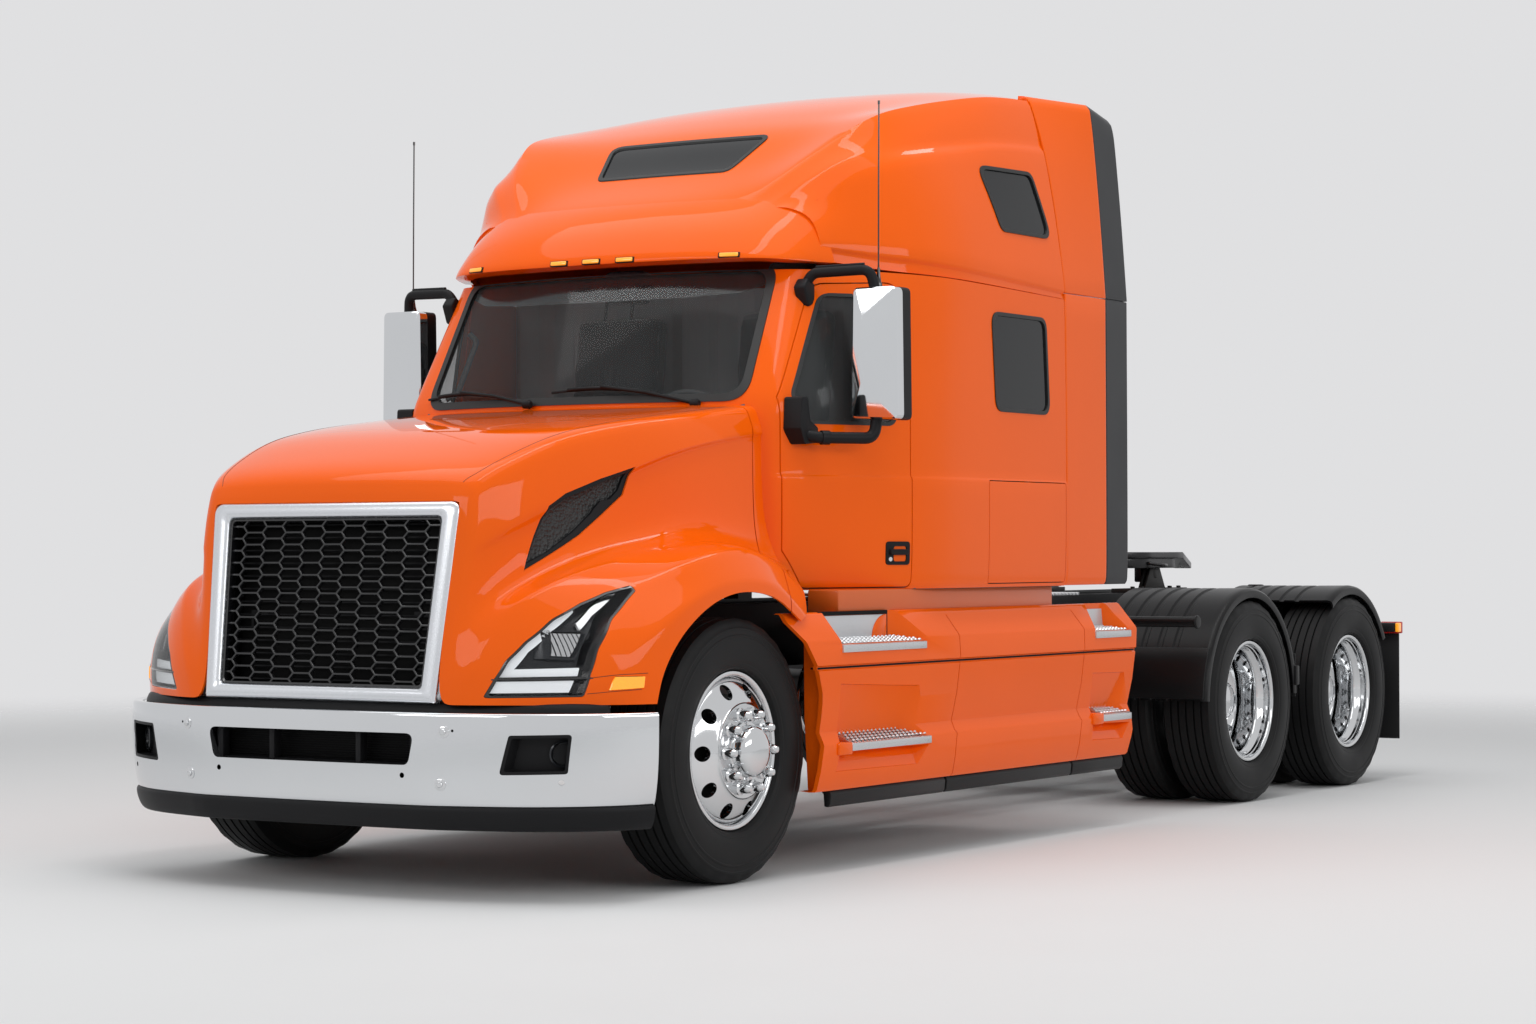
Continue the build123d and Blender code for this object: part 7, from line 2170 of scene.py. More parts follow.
    def _steer_drum(self) -> bpy.types.Object:
        """The brake drum behind the steered rim.

        Returns:
            The drum.
        """
        return turned("steer_drum", [(0.052, -0.070), (0.205, -0.070), (0.212, -0.055), (0.212, 0.075),
                                     (0.16, 0.082), (0.115, 0.10), (0.112, 0.145), (0.052, 0.145)],
                      (0.0, self.steer_y, 0.5), 64)

    def _dual_rims(self, x: float, pair: str) -> bpy.types.Object:
        """A pair of drive rims with the outer disc, nuts and cap.

        Args:
            x: Place of the axle along the truck, m.
            pair: Name of the pair.

        Returns:
            The joined rims.
        """
        outer, inner = (x, self.dual_y + self.disc, 0.5), (x, self.dual_y - self.disc, 0.5)
        face = (x, self.dual_y, 0.5)
        disc = self._disc(-1, outer)
        parts = [self._barrel(1, outer), disc, self._barrel(1, inner), self._disc(1, inner)]
        nuts = self._ring_of_nuts((x, self.dual_y + 0.021, 0.5), 0.050, 0.0190)
        hub = turned("hub", [(0.0, 0.020), (0.118, 0.020), (0.119, 0.034), (0.112, 0.040), (0.1, 0.043),
                             (0.094, 0.050), (0.092, 0.150), (0.089, 0.160), (0.080, 0.168), (0.064, 0.1735),
                             (0.040, 0.1765), (0.0, 0.178)], face, 64)
        studs = []
        for k in range(8):
            angle = 2 * math.pi * (k + 0.5) / 8
            studs.append(turned("stud", [(0.0, 0.0), (0.007, 0.0), (0.007, 0.008), (0.0, 0.009)],
                                (x + 0.074 * math.cos(angle), self.dual_y + 0.168, 0.5 + 0.074 * math.sin(angle)),
                                12))
        return joined(f"{pair}_drive_rim_polished", [*parts, nuts, hub, *studs])


# ------------------------------------------------------------------ skirts and steps
SKIRT_LEVELS = [(1.010, 1.150), (1.010, 1.172), (1.005, 1.180), (0.905, 1.235), (0.895, 1.2385),
                (0.805, 1.240), (0.800, 1.231), (0.789, 1.231), (0.784, 1.237), (0.66, 1.231),
                (0.555, 1.216), (0.545, 1.215), (0.503, 1.236), (0.493, 1.240), (0.40, 1.238),
                (0.328, 1.230), (0.317, 1.222), (0.316, 1.195)]
SKIRT_EDGE = [(-0.275, 1.02), (-0.285, 0.975), (-0.36, 0.90), (-0.445, 0.80), (-0.486, 0.70), (-0.492, 0.60),
              (-0.488, 0.503), (-0.472, 0.43), (-0.440, 0.30), (-3.165, 0.30), (-3.215, 0.43), (-3.198, 0.495),
              (-3.250, 0.79), (-3.262, 0.888), (-3.185, 1.02)]
# x, z down each slanted joint between the skirt's panels
SKIRT_SPLITS = [[(-1.524, 1.03), (-1.574, 0.895), (-1.582, 0.795), (-1.538, 0.510), (-1.549, 0.493),
                 (-1.519, 0.30)],
                [(-2.661, 1.03), (-2.728, 0.899), (-2.729, 0.796), (-2.687, 0.513), (-2.697, 0.493),
                 (-2.656, 0.30)]]
# outline on the skirt's face, outline at its back, depth of each corner
POCKETS = [([(-0.525, 1.03), (-0.622, 0.886), (-1.330, 0.886), (-1.300, 1.03)],
            [(-0.560, 1.03), (-0.622, 0.886), (-1.150, 0.886), (-1.110, 1.03)], (0.074, 0.074, 0.074, 0.074)),
           ([(-0.619, 0.735), (-0.600, 0.497), (-1.330, 0.497), (-1.262, 0.712)],
            [(-0.626, 0.728), (-0.640, 0.497), (-1.130, 0.497), (-1.235, 0.700)], (0.014, 0.074, 0.074, 0.014)),
           ([(-2.835, 1.03), (-2.835, 0.888), (-3.192, 0.888), (-3.140, 1.03)],
            [(-2.850, 1.03), (-2.850, 0.888), (-3.060, 0.888), (-3.040, 1.03)], (0.074, 0.074, 0.074, 0.074)),
           ([(-2.815, 0.705), (-2.800, 0.522), (-3.195, 0.512), (-3.150, 0.700)],
            [(-2.822, 0.698), (-2.840, 0.522), (-3.050, 0.512), (-3.135, 0.692)], (0.014, 0.070, 0.070, 0.014)),
           ([(-0.600, 0.470), (-0.560, 0.385), (-1.235, 0.380), (-1.330, 0.459)],
            [(-0.640, 0.468), (-0.580, 0.392), (-1.215, 0.386), (-1.240, 0.462)], (0.048, 0.006, 0.006, 0.048)),
           ([(-2.800, 0.475), (-2.790, 0.395), (-3.120, 0.390), (-3.192, 0.465)],
            [(-2.840, 0.472), (-2.805, 0.402), (-3.105, 0.396), (-3.120, 0.466)], (0.045, 0.006, 0.006, 0.045))]
# x of both ends, height of the front edge, rise to the back edge
TREADS = [(-0.625, -1.285, 0.885, 0.026), (-0.690, -1.322, 0.498, 0.042), (-2.835, -3.190, 0.888, 0.022),
          (-2.880, -3.190, 0.512, 0.036)]
RUBBER_RUNS = ((-1.490, -0.575), (-2.640, -1.505), (-3.160, -2.655))


@dataclass
class SkirtGroup:
    """Side skirts with their step pockets, treads and rubber edges.

    Args:
        depth: Thickness of the skirt's box section; not used.
        pocket: Depth of a step pocket; not used.
        joint: Width of a joint between panels.
        tread_height: Height of a tread's front edge.
    """

    depth: float = 0.085
    pocket: float = 0.074
    joint: float = 0.005
    tread_height: float = 0.033

    def build(self) -> None:
        """Makes the left skirt and its right-hand twin."""
        bodies = ("chassis", "chassis")
        skirt = self._skirt()
        both_sides(skirt, ORANGE, bodies, "orange_paint", ("side_skirts", "side_skirts"))
        both_sides(self._treads(), TREADPLATE, bodies, "bright_aluminium", ("step_treads", "step_treads"))
        both_sides(self._risers(), RISER_GREY, bodies, "bright_aluminium")
        both_sides(self._shadow_lines(), CORE_BLACK, bodies, "black_plastic")
        both_sides(self._cheeks(), ORANGE, bodies, "orange_paint")
        both_sides(self._rubber(), RUBBER, bodies, "flap_rubber", ("skirt_trim", "skirt_trim"))

    def _skirt(self) -> bpy.types.Object:
        """The skirt's panels with their pockets and joints.

        Returns:
            The panels, left side.
        """
        section = [(y, z) for z, y in SKIRT_LEVELS] + [(1.150, 0.320), (1.135, 0.600), (1.132, 1.000)]
        sheet = prism("skirt_panels", [(-0.20, y, z) for y, z in section], (-3.10, 0, 0))
        carve(sheet, [side_cutter("edge", SKIRT_EDGE, 1.0, 1.4)], "INTERSECT")
        hollow = [(y - 0.018, z) for z, y in SKIRT_LEVELS[2:-1]] + [(1.0, 0.33), (1.0, 1.005)]
        carve(sheet, [facing_out(prism("hollow", [(0.0, y, z) for y, z in hollow], (-0.51, 0, 0)))])
        carve(sheet, [self._pocket(*shape) for shape in POCKETS])
        for split in SKIRT_SPLITS:
            half = self.joint / 2
            outline = [(x - half, z) for x, z in split] + [(x + half, z) for x, z in reversed(split)]
            carve(sheet, [side_cutter("joint", outline, 1.19, 1.4)])
        in_edit(sheet, lambda: bpy.ops.mesh.dissolve_limited(angle_limit=math.radians(0.6)))
        apply_modifier(sheet, "BEVEL", width=0.005, segments=3, limit_method="ANGLE",
                       angle_limit=math.radians(38), use_clamp_overlap=True)
        smooth(sheet, 32)
        return sheet

    @staticmethod
    def _pocket(face: Sequence[Flat], back: Sequence[Flat], depths: Sequence[float]) -> bpy.types.Object:
        """Tapered cutter between an outline on the skirt's face and one behind it."""
        cutter = loop("pocket", side_outline(back, 1.2), fill=True)
        in_edit(cutter, lambda: bpy.ops.mesh.extrude_region_move(TRANSFORM_OT_translate={"value": (0, 0.05, 0)}))
        for vertex, (x, z), deep in zip(cutter.data.vertices[:len(back)], back, depths):
            vertex.co = (x, 1.238 - deep, z)
        for vertex, (x, z) in zip(cutter.data.vertices[len(back):], face):
            vertex.co = (x, 1.252, z)
        in_edit(cutter, lambda: bpy.ops.mesh.quads_convert_to_tris(),
                lambda: bpy.ops.mesh.normals_make_consistent(inside=False))
        return facing_out(cutter)

    def _shadow_lines(self) -> bpy.types.Object:
        """Dark strips at the bottom of the joints, the long groove and the slot over the upper step."""
        parts = []
        for split in SKIRT_SPLITS:
            half = self.joint / 2 + 0.001
            path = split[1:-1]
            outline = [(x - half, z) for x, z in path] + [(x + half, z) for x, z in reversed(path)]
            parts.append(prism("strip", side_outline(outline, 1.186), (0, 0.0235, 0)))
        parts.append(bar("groove", (-3.245, 1.20, 0.7905), (-0.45, 1.2318, 0.7985), 0.0005, 1))
        parts.append(bar("slot", (-1.085, 1.150, 0.996), (-0.545, 1.176, 1.011), 0.001, 1))
        parts.append(bar("line", (-1.096, 1.160, 0.902), (-1.086, 1.1695, 1.005), 0.001, 1))
        return joined("skirt_shadow_lines", parts)

    def _cheeks(self) -> bpy.types.Object:
        """Blocks that hold the front ends of the lower treads."""
        parts = []
        for x0, z in ((-0.585, 0.452), (-2.800, 0.468)):
            outline = [(x0, z), (x0 - 0.105, z), (x0 - 0.105, z + 0.047), (x0 - 0.012, z + 0.052), (x0, z + 0.044)]
            parts.append(prism("cheek", side_outline(outline, 1.19), (0, 0.058, 0), 0.006, 3))
        fan = [(-1.085, 0.905)] + [(-1.085 + 0.115 * math.sin(a), 0.905 + 0.090 * math.cos(a))
                                   for a in (math.radians(7.5 * k) for k in range(13))]
        parts.append(prism("corner", side_outline(fan, 1.158), (0, 0.014, 0), 0.002))
        return joined("skirt_cheeks", parts)

    def _treads(self) -> bpy.types.Object:
        """Gripping treads with a deep front edge and rows of raised teeth."""
        parts = []
        for x0, x1, top, rise in TREADS:
            back, front = 1.150, 1.247
            section = [(back, top + rise), (front - 0.012, top), (front, top - 0.004),
                       (front, top - self.tread_height), (front - 0.010, top - self.tread_height),
                       (back, top - 0.012)]
            parts.append(prism("tread", [(x0, y, z) for y, z in section], (x1 - x0, 0, 0), 0.002))
            count = max(4, round((x0 - x1) / 0.031))
            for row, y in enumerate((1.170, 1.190, 1.210, 1.229)):
                height = top + rise * (1 - (y - back) / (front - back))
                for k in range(count - row % 2):
                    x = x0 - 0.018 - (k + (0.5 if row % 2 else 0.0)) * (x0 - x1 - 0.036) / (count - 1)
                    bpy.ops.object.select_all(action="DESELECT")
                    bpy.ops.mesh.primitive_cone_add(vertices=8, radius1=0.0095, radius2=0.0055, depth=0.006,
                                                    location=(x, y, height + 0.0015))
                    tooth = bpy.context.object
                    bpy.ops.object.transform_apply(location=True, rotation=True, scale=True)
                    in_edit(tooth, lambda: None, select="DESELECT")
                    pick(tooth, lambda middle, h=height: middle.z > h + 0.0035)
                    in_edit(tooth, lambda: bpy.ops.mesh.inset(thickness=0.002),
                            lambda: bpy.ops.transform.translate(value=(0, 0, -0.005)), select="KEEP")
                    parts.append(tooth)
        return joined("step_tread_plates", parts)

    def _risers(self) -> bpy.types.Object:
        """Smooth light panels behind and beside the treads."""
        panels = []
        for outline in ([(-0.560, 0.994), (-0.640, 0.900), (-1.085, 0.900), (-1.085, 0.994)],
                        [(-0.645, 0.560), (-0.645, 0.516), (-1.075, 0.516), (-1.060, 0.545), (-1.010, 0.560)],
                        [(-2.852, 0.985), (-2.852, 0.905), (-3.050, 0.905), (-3.036, 0.985)],
                        [(-2.845, 0.560), (-2.845, 0.530), (-3.020, 0.530), (-3.010, 0.560)]):
            panels.append(prism("riser", side_outline(outline, 1.166), (0, 0.004, 0), 0.001))
        return joined("step_risers", panels)

    def _rubber(self) -> bpy.types.Object:
        """The rubber strips below the skirt.

        Returns:
            The joined strips.
        """
        parts = []
        for x0, x1 in RUBBER_RUNS:
            section = [(1.205, 0.322), (1.216, 0.300), (1.212, 0.262), (1.200, 0.250), (1.184, 0.252),
                       (1.180, 0.300), (1.160, 0.322)]
            parts.append(prism("rubber", [(x0, y, z) for y, z in section], (x1 - x0, 0, 0), 0.003))
        return joined("skirt_rubber", parts)


# ------------------------------------------------------------------ rear end
@dataclass
class RearGroup:
    """Fenders, mudflaps, lamps, deck plate and coupling plate behind the cab.

    Args:
        radius: Outer radius of a drive fender.
        ribs: Ribs along a fender's top.
    """

    radius: float = 0.562
    ribs: int = 5

    def build(self) -> None:
        """Makes every piece of the rear end."""
        bodies = ("chassis", "chassis")
        nodes = ("drive_fenders", "drive_fenders")
        fenders = [self._fender(-4.645, 2.0, 178.0, "fore"), self._fender(-5.945, 60.0, 150.0, "aft")]
        both_sides(joined("drive_fender", fenders), FENDER_PLASTIC, bodies, "black_plastic", nodes)
        both_sides(self._front_panel(), FENDER_PLASTIC, bodies, "black_plastic")
        both_sides(self._flap(), RUBBER, bodies, "flap_rubber", ("mudflaps", "mudflaps"))
        both_sides(self._hanger(), FRAME_BLACK, bodies, "black_frame_paint")
        both_sides(self._tail_lamp(), RED_LENS, bodies, "red_lens", ("tail_lamps", "tail_lamps"))
        both_sides(self._side_lamp(), AMBER, bodies, "lamp_lens")
        self._coupling_plate()
        self._coupling_base()
        self._deck()
        self._lines()

    def _fender(self, x: float, start: float, end: float, name: str) -> bpy.types.Object:
        """Ribbed arc with a rolled outer lip."""
        r = self.radius
        y0, y1 = 0.585, 1.213
        top = [(r - 0.010, y0), (r - 0.002, y0 + 0.004)]
        ridge = (y1 - y0 - 0.20) / self.ribs
        for k in range(self.ribs):
            a = y0 + 0.07 + k * ridge
            top += [(r - 0.002, a), (r - 0.010, a + 0.008), (r - 0.010, a + 0.026), (r - 0.002, a + 0.034)]
        top += [(r - 0.001, y1 - 0.055), (r, y1 - 0.030), (r - 0.004, y1 - 0.012), (r - 0.014, y1 - 0.002),
                (r - 0.030, y1), (r - 0.048, y1 - 0.004), (r - 0.048, y1 - 0.010), (r - 0.020, y1 - 0.012),
                (r - 0.014, y1 - 0.030), (r - 0.014, y0)]
        centre = (x, 0.0, 0.5)
        sweep = end - start
        arc = turned(f"fender_{name}", top, centre, max(16, round(sweep / 3.5)), sweep)
        for vertex in arc.data.vertices:
            dx, dz = vertex.co.x - x, vertex.co.z - 0.5
            angle = math.atan2(dz, dx)
            radius = math.hypot(dx, dz)
            turned_by = (math.pi / 2 - angle) % (2 * math.pi)
            if turned_by > 2 * math.pi - 1e-3:
                turned_by = 0.0
            swept = turned_by if turned_by <= math.radians(sweep) + 1e-3 else 2 * math.pi - turned_by
            real = math.radians(start) + swept
            vertex.co.x, vertex.co.z = x + radius * math.cos(real), 0.5 + radius * math.sin(real)
        in_edit(arc, lambda: bpy.ops.mesh.select_mode(type="EDGE"),
                lambda: bpy.ops.mesh.select_non_manifold(extend=False),
                lambda: bpy.ops.mesh.edge_face_add(), select="DESELECT")
        outward(arc)
        smooth(arc, 35)
        return arc

    def _front_panel(self) -> bpy.types.Object:
        """Closing panel and stay in front of the first drive wheels, and the clip behind."""
        edge = [(-4.645 + 0.552 * math.cos(math.radians(a)), 0.5 + 0.552 * math.sin(math.radians(a)))
                for a in (3, 12, 21, 30)]
        stay = tube("stay", [(-3.98, 0.62, 0.905), (-3.98, 1.175, 0.905), (-3.985, 1.205, 0.905)], 0.026,
                    resolution=5)
        cap = turned("cap", [(0, 0), (0.031, 0), (0.033, 0.006), (0.028, 0.014), (0, 0.016)],
                     (-3.985, 1.205, 0.905), 24)
        plate = [(x + 0.006, z) for x, z in edge]
        outline = plate + [(x + 0.018, z) for x, z in reversed(plate)]
        panel = prism("panel", side_outline(outline, 0.60), (0, 0.60, 0), 0.003)
        clip = bar("clip", (-5.21, 1.185, 0.56), (-5.165, 1.222, 0.66), 0.006)
        arm = bar("arm", (-5.97, 0.62, 1.02), (-5.92, 0.70, 1.065), 0.008)
        return joined("fender_stay", [stay, cap, panel, clip, arm])

    def _flap(self) -> bpy.types.Object:
        """Hanging flap with stiffening ribs, and the narrow flap between the axles."""
        flap = prism("flap", [(-6.628, 0.60, 0.214), (-6.628, 1.213, 0.214), (-6.628, 1.213, 0.85),
                              (-6.628, 0.60, 0.85)], (0.010, 0, 0), 0.003)
        ribs = [bar("rib", (-6.634, 0.63 + 0.075 * k, 0.24), (-6.626, 0.642 + 0.075 * k, 0.79), 0.002)
                for k in range(8)]
        middle = prism("middle", [(-5.235, 0.62, 0.50), (-5.235, 1.19, 0.50), (-5.235, 1.19, 0.72),
                                  (-5.235, 0.62, 0.72)], (0.008, 0, 0), 0.003)
        return joined("mudflap_sheet", [flap, *ribs, middle])

    def _hanger(self) -> bpy.types.Object:
        """The rail and bolts that a flap hangs from.

        Returns:
            The joined hanger.
        """
        rail = bar("rail", (-6.62, 0.36, 0.80), (-6.56, 1.21, 0.85), 0.006)
        link = bar("link", (-6.62, 0.36, 0.80), (-6.50, 0.42, 0.905), 0.006)
        bolts = [turned("bolt", [(0, 0), (0.011, 0), (0.011, 0.008), (0, 0.009)], (0, 0, 0), 6) for _ in range(5)]
        for k, bolt in enumerate(bolts):
            bolt.data.transform(Matrix.Translation((-6.62, 0.66 + 0.125 * k, 0.826)) @
                                Matrix.Rotation(math.radians(90), 4, "Z"))
        return joined("mudflap_hanger", [rail, link, *bolts])

    def _tail_lamp(self) -> bpy.types.Object:
        """The red lamps at the tail.

        Returns:
            The joined lamps.
        """
        lamp = bar("lamp", (-6.622, 1.1155, 0.792), (-6.600, 1.236, 0.856), 0.006, 3)
        inner = [bar("lamp", (-6.630, 0.66 + 0.19 * k, 0.800), (-6.618, 0.78 + 0.19 * k, 0.850), 0.005, 3)
                 for k in range(2)]
        return joined("tail_lamp", [lamp, *inner])

    def _side_lamp(self) -> bpy.types.Object:
        """The amber lamp at the tail's corner.

        Returns:
            The lamp.
        """
        lamp = bar("lamp", (-6.598, 1.216, 0.800), (-6.555, 1.236, 0.850), 0.005, 3)
        return joined("tail_side_lamp", [lamp])

    def _coupling_plate(self) -> None:
        """Greased plate with its ramps, jaw slot and rim."""
        x, top = -5.240, 1.242
        ring = [(x + 0.478 * math.cos(a), 0.478 * math.sin(a)) for a in
                (math.radians(-112 + 224 * k / 40) for k in range(41))]
        ring = [(px, max(-0.443, min(0.443, py))) for px, py in ring]
        outline = [*ring, (x - 0.26, 0.438), (x - 0.598, 0.330), (x - 0.598, 0.235), (x - 0.262, 0.072),
                   (x - 0.07, 0.030), (x - 0.045, 0.028), (x - 0.02, 0.026), (x + 0.012, 0.022), (x + 0.026, 0.0),
                   (x + 0.012, -0.022), (x - 0.02, -0.026), (x - 0.045, -0.028), (x - 0.07, -0.030),
                   (x - 0.262, -0.072), (x - 0.598, -0.235), (x - 0.598, -0.330), (x - 0.26, -0.438)]
        plate = prism("coupling_plate_top", plan_outline(outline, top - 0.034), (0, 0, 0.033), 0.005, 2)
        for vertex in plate.data.vertices:
            if vertex.co.x < x - 0.34:
                vertex.co.z -= (x - 0.34 - vertex.co.x) * 0.22
        skirt = [(px * 0.97 + x * 0.03, py * 0.97) for px, py in ring]
        rim_outer = prism("rim", plan_outline(skirt + [(px * 0.94 + x * 0.06, py * 0.94) for px, py in
                                                       reversed(ring)], top - 0.085), (0, 0, 0.055), 0.003)
        lugs = [bar("lug", (x - 0.06, 0.302 * s, 1.083), (x + 0.06, 0.344 * s, top - 0.03), 0.008) for s in (1, -1)]
        ribs = [bar("rib", (x - 0.40, y - 0.008, top - 0.075), (x + 0.40, y + 0.008, top - 0.03), 0.002)
                for y in (-0.24, -0.12, 0.12, 0.24)]
        handle = tube("handle", [(x + 0.10, 0.20, top - 0.06), (x + 0.16, 0.44, top - 0.06),
                                 (x + 0.12, 0.50, top - 0.07), (x + 0.06, 0.49, top - 0.07)], 0.009, bend=0.03)
        dress(joined("coupling_plate_top", [plate, rim_outer, *lugs, *ribs, handle]), GREASED, "coupling_plate",
              "cast_steel", "fifth_wheel_plate")

    def _coupling_base(self) -> None:
        """The pedestals under the coupling plate."""
        x = -5.240
        parts = []
        for s in (1, -1):
            parts.append(bar("foot", (x - 0.33, 0.30 * s, 1.030), (x + 0.33, 0.43 * s, 1.052), 0.004))
            for y in (0.355, 0.384):
                ear = [(x - 0.125, 1.05), (x + 0.125, 1.05), (x + 0.052, 1.165), (x + 0.02, 1.178),
                       (x - 0.02, 1.178), (x - 0.052, 1.165)]
                parts.append(prism("ear", side_outline(ear, y * s), (0, 0.014 * s, 0), 0.004))
            for bx in (-0.28, -0.17, 0.17, 0.28):
                bolt = turned("bolt", [(0, 0), (0.013, 0), (0.013, 0.010), (0, 0.011)], (0, 0, 0), 6)
                bolt.data.transform(Matrix.Translation((x + bx, 0.40 * s, 1.052)) @
                                    Matrix.Rotation(math.radians(90), 4, "X"))
                parts.append(bolt)
            parts.append(turned("pin", [(0, 0), (0.0255, 0), (0.0255, 0.098), (0.020, 0.10), (0, 0.10)],
                                (x, 0.30 * s if s > 0 else -0.40, 1.128), 32))
        dress(joined("coupling_pedestals", parts), CAST_STEEL, "chassis", "cast_steel", "fifth_wheel_base")

    def _deck(self) -> None:
        """Walkway of bars and bearers over the rails."""
        parts = [bar("bearer", (-3.95, y - 0.018, 1.030), (-3.0, y + 0.018, 1.044), 0.002)
                 for y in (-0.58, -0.29, 0.0, 0.29, 0.58)]
        parts += [bar("slat", (-3.95 + 0.0365 * k, -0.60, 1.032), (-3.932 + 0.0365 * k, 0.60, 1.046), 0.002, 1)
                  for k in range(26)]
        dress(joined("deck_grating", parts), TREADPLATE, "chassis", "bright_aluminium", "deck_plate")

    def _lines(self) -> None:
        """Air and light couplings on the back wall, plugged into their park sockets."""
        post = bar("post", (-2.640, -0.30, 1.45), (-2.600, 0.30, 1.56), 0.006)
        parts = [post]
        for y in (-0.2, -0.07, 0.07, 0.2):
            head = turned("head", [(0, 0), (0.022, 0), (0.026, 0.010), (0.026, 0.030), (0.016, 0.040),
                                   (0.012, 0.060), (0, 0.060)], (0, 0, 0), 24)
            head.data.transform(Matrix.Translation((-2.640, y, 1.505)) @
                                Matrix.Rotation(math.radians(90), 4, "Z"))
            parts.append(head)
        dress(joined("park_sockets", parts), CAST_STEEL, "chassis", "cast_steel")


# ------------------------------------------------------------------ chassis finishes
@dataclass
class ChassisFinish:
    """Finishes of the CAD nodes that keep their own shape.

    Args:
        nodes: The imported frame's nodes by name.
        finishes: Finish of each node.
    """

    nodes: dict[str, bpy.types.Object]
    finishes: dict[str, Finish] = field(default_factory=lambda: {
        "frame": FRAME_BLACK, "front_springs": FRAME_BLACK, "front_axle": CAST_STEEL,
        "drive_axles": FRAME_BLACK, "rear_suspension": FRAME_BLACK, "driveshafts": CAST_STEEL,
        "engine": ENGINE_PAINT, "radiator": CORE_BLACK, "fuel_tanks": ALLOY,
        "knuckle_left": CAST_STEEL, "knuckle_right": CAST_STEEL})

    def build(self) -> None:
        """Paints every node that scene.py leaves showing."""
        for name, finish in self.finishes.items():
            obj = self.nodes[name]
            obj.data.materials.clear()
            obj.data.materials.append(finish.material())
            smooth(obj, 30) if not obj.data.has_custom_normals else None
            LOG.info("%s: finish %s", name, finish.name)


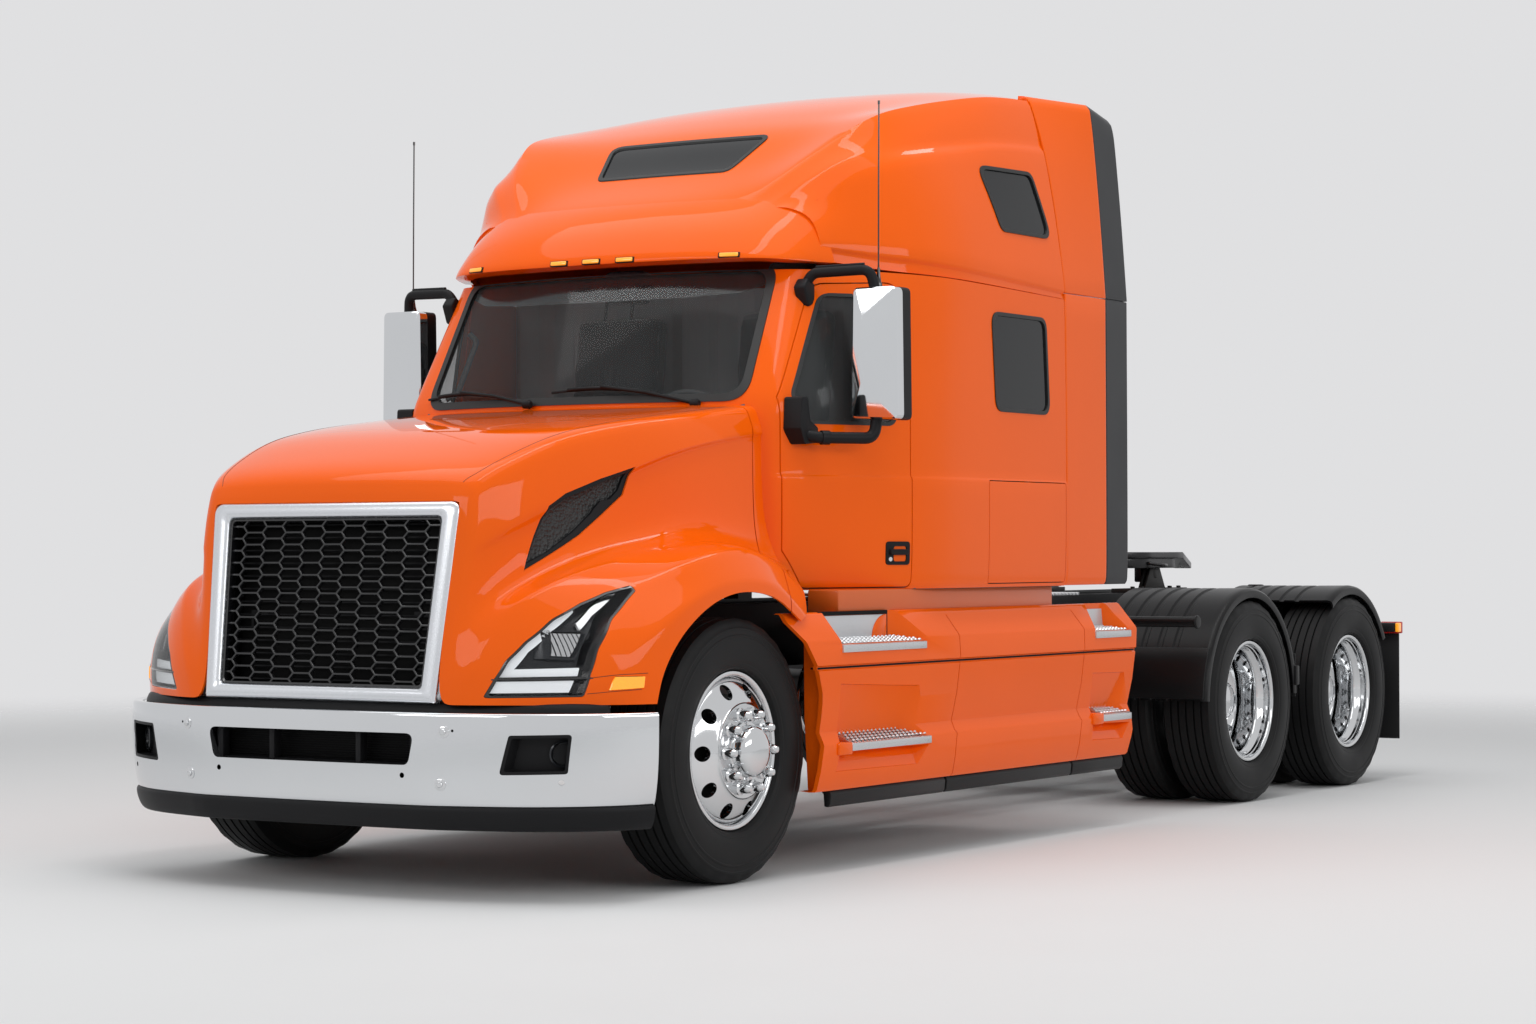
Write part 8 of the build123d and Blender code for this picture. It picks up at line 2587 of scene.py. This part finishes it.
# ------------------------------------------------------------------ studio
@dataclass
class Studio:
    """Pale floor, soft light and the camera.

    Args:
        grey: Linear level of the floor.
        fade: Distances between which the floor fades into the backdrop.
        camera_at: Camera place in the row frame.
        right: Camera's right-hand direction.
        up: Camera's upward direction.
        forward: Viewing direction.
        lens: Focal length on a 36 mm sensor.
    """

    grey: float = 0.72
    fade: Flat = (7.0, 15.0)
    camera_at: Point = (12.8463, 7.6507, 1.2443)
    right: Point = (-0.53344, 0.84584, -0.00215)
    up: Point = (0.00951, 0.00854, 0.99992)
    forward: Point = (-0.84579, -0.53337, 0.01260)
    lens: float = 74.886

    def build(self) -> None:
        """Makes the floor, the world, the lights and the camera."""
        bpy.context.scene.view_settings.view_transform = "Standard"
        self._floor()
        self._world()
        # name, place, size, watts, target
        for name, place, size, watts, target in (
                ("overhead", (3.0, 0.0, 9.5), (13.0, 7.0), 360.0, (1.0, 0.0, 0.0)),
                ("overhead_strip", (1.0, 1.6, 8.0), (10.0, 0.8), 130.0, (1.0, 0.6, 0.0)),
                ("left_wall", (4.0, 13.0, 5.5), (11.0, 2.6), 330.0, (0.0, 0.0, 1.2)),
                ("front_wall", (15.0, -3.5, 6.5), (8.0, 3.0), 250.0, (2.0, 0.0, 1.2))):
            self._softbox(name, Vector(place), size, watts, Vector(target))
        self._camera()

    def _floor(self) -> None:
        """The round floor, fading out at its edge."""
        bpy.ops.object.select_all(action="DESELECT")
        bpy.ops.mesh.primitive_circle_add(vertices=96, radius=60, fill_type="NGON")
        floor = bpy.context.object
        floor.name = floor.data.name = "studio_floor"
        material = Finish("studio_floor", (self.grey,) * 3, 0.7, grain=Grain.CAST, scale=40, vary=0.004,
                          bump=0.0).material()
        tree = material.node_tree
        shader, out = tree.nodes["Principled BSDF"], tree.nodes["Material Output"]
        shader.inputs["Specular IOR Level"].default_value = 0.1
        place = tree.nodes.new("ShaderNodeTexCoord")
        away = tree.nodes.new("ShaderNodeVectorMath")
        away.operation = "LENGTH"
        fade = tree.nodes.new("ShaderNodeMapRange")
        fade.interpolation_type = "SMOOTHSTEP"
        fade.inputs["From Min"].default_value, fade.inputs["From Max"].default_value = self.fade
        clear, mix = tree.nodes.new("ShaderNodeBsdfTransparent"), tree.nodes.new("ShaderNodeMixShader")
        tree.links.new(place.outputs["Object"], away.inputs[0])
        tree.links.new(away.outputs["Value"], fade.inputs["Value"])
        tree.links.new(fade.outputs["Result"], mix.inputs["Fac"])
        tree.links.new(shader.outputs["BSDF"], mix.inputs[1])
        tree.links.new(clear.outputs["BSDF"], mix.inputs[2])
        tree.links.new(mix.outputs["Shader"], out.inputs["Surface"])
        floor.data.materials.append(material)

    def _world(self) -> None:
        """The plain light from all round and the pale backdrop."""
        world = bpy.data.worlds.new("studio")
        world.use_nodes = True
        tree = world.node_tree
        tree.nodes.clear()
        out = tree.nodes.new("ShaderNodeOutputWorld")
        seen, light = tree.nodes.new("ShaderNodeBackground"), tree.nodes.new("ShaderNodeBackground")
        seen.inputs["Color"].default_value = (0.745, 0.745, 0.755, 1)
        light.inputs["Color"].default_value = (0.97, 0.985, 1.0, 1)
        light.inputs["Strength"].default_value = 0.56
        path = tree.nodes.new("ShaderNodeLightPath")
        total = None
        for ray in ("Is Camera Ray", "Is Glossy Ray", "Is Transmission Ray"):
            if total is None:
                total = path.outputs[ray]
                continue
            add = tree.nodes.new("ShaderNodeMath")
            add.operation = "MAXIMUM"
            tree.links.new(total, add.inputs[0])
            tree.links.new(path.outputs[ray], add.inputs[1])
            total = add.outputs["Value"]
        mix = tree.nodes.new("ShaderNodeMixShader")
        tree.links.new(total, mix.inputs["Fac"])
        tree.links.new(light.outputs["Background"], mix.inputs[1])
        tree.links.new(seen.outputs["Background"], mix.inputs[2])
        tree.links.new(mix.outputs["Shader"], out.inputs["Surface"])
        bpy.context.scene.world = world

    def _softbox(self, name: str, place: Vector, size: Flat, watts: float, target: Vector) -> None:
        """One large soft lamp.

        Args:
            name: Its name.
            place: Where it stands, m.
            size: Width and height, m.
            watts: Its power.
            target: What it points at, m.
        """
        lamp = bpy.data.lights.new(name, "AREA")
        lamp.shape = "RECTANGLE"
        lamp.size, lamp.size_y = size
        lamp.energy = watts
        obj = bpy.data.objects.new(name, lamp)
        bpy.context.scene.collection.objects.link(obj)
        obj.location = place
        obj.rotation_euler = (target - place).to_track_quat("-Z", "Y").to_euler()
        obj.visible_camera = False

    def _camera(self) -> None:
        """The three-quarter view from the front left."""
        camera = bpy.data.cameras.new("camera")
        camera.lens, camera.sensor_width, camera.clip_end = self.lens, 36, 200
        obj = bpy.data.objects.new("camera", camera)
        bpy.context.scene.collection.objects.link(obj)
        columns = (self.right, self.up, tuple(-v for v in self.forward), self.camera_at)
        matrix = Matrix.Identity(4)
        for column, values in enumerate(columns):
            for row in range(3):
                matrix[row][column] = values[row]
        obj.matrix_world = matrix
        bpy.context.scene.camera = obj


def main() -> None:
    """Builds every sub-assembly, then the studio round it."""
    logging.basicConfig(level=logging.INFO, format="%(message)s")
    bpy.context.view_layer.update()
    ChassisFinish(frame["nodes"]).build()
    groups = (FrontEnd(), BumperGroup(), CabGroup(), RoofGroup(), MirrorGroup(), InteriorGroup(),
              WheelSet(), SkirtGroup(), RearGroup())
    for group in groups:
        LOG.info("building %s", type(group).__name__)
        group.build()
    Studio().build()


if __name__ == "__main__":
    main()
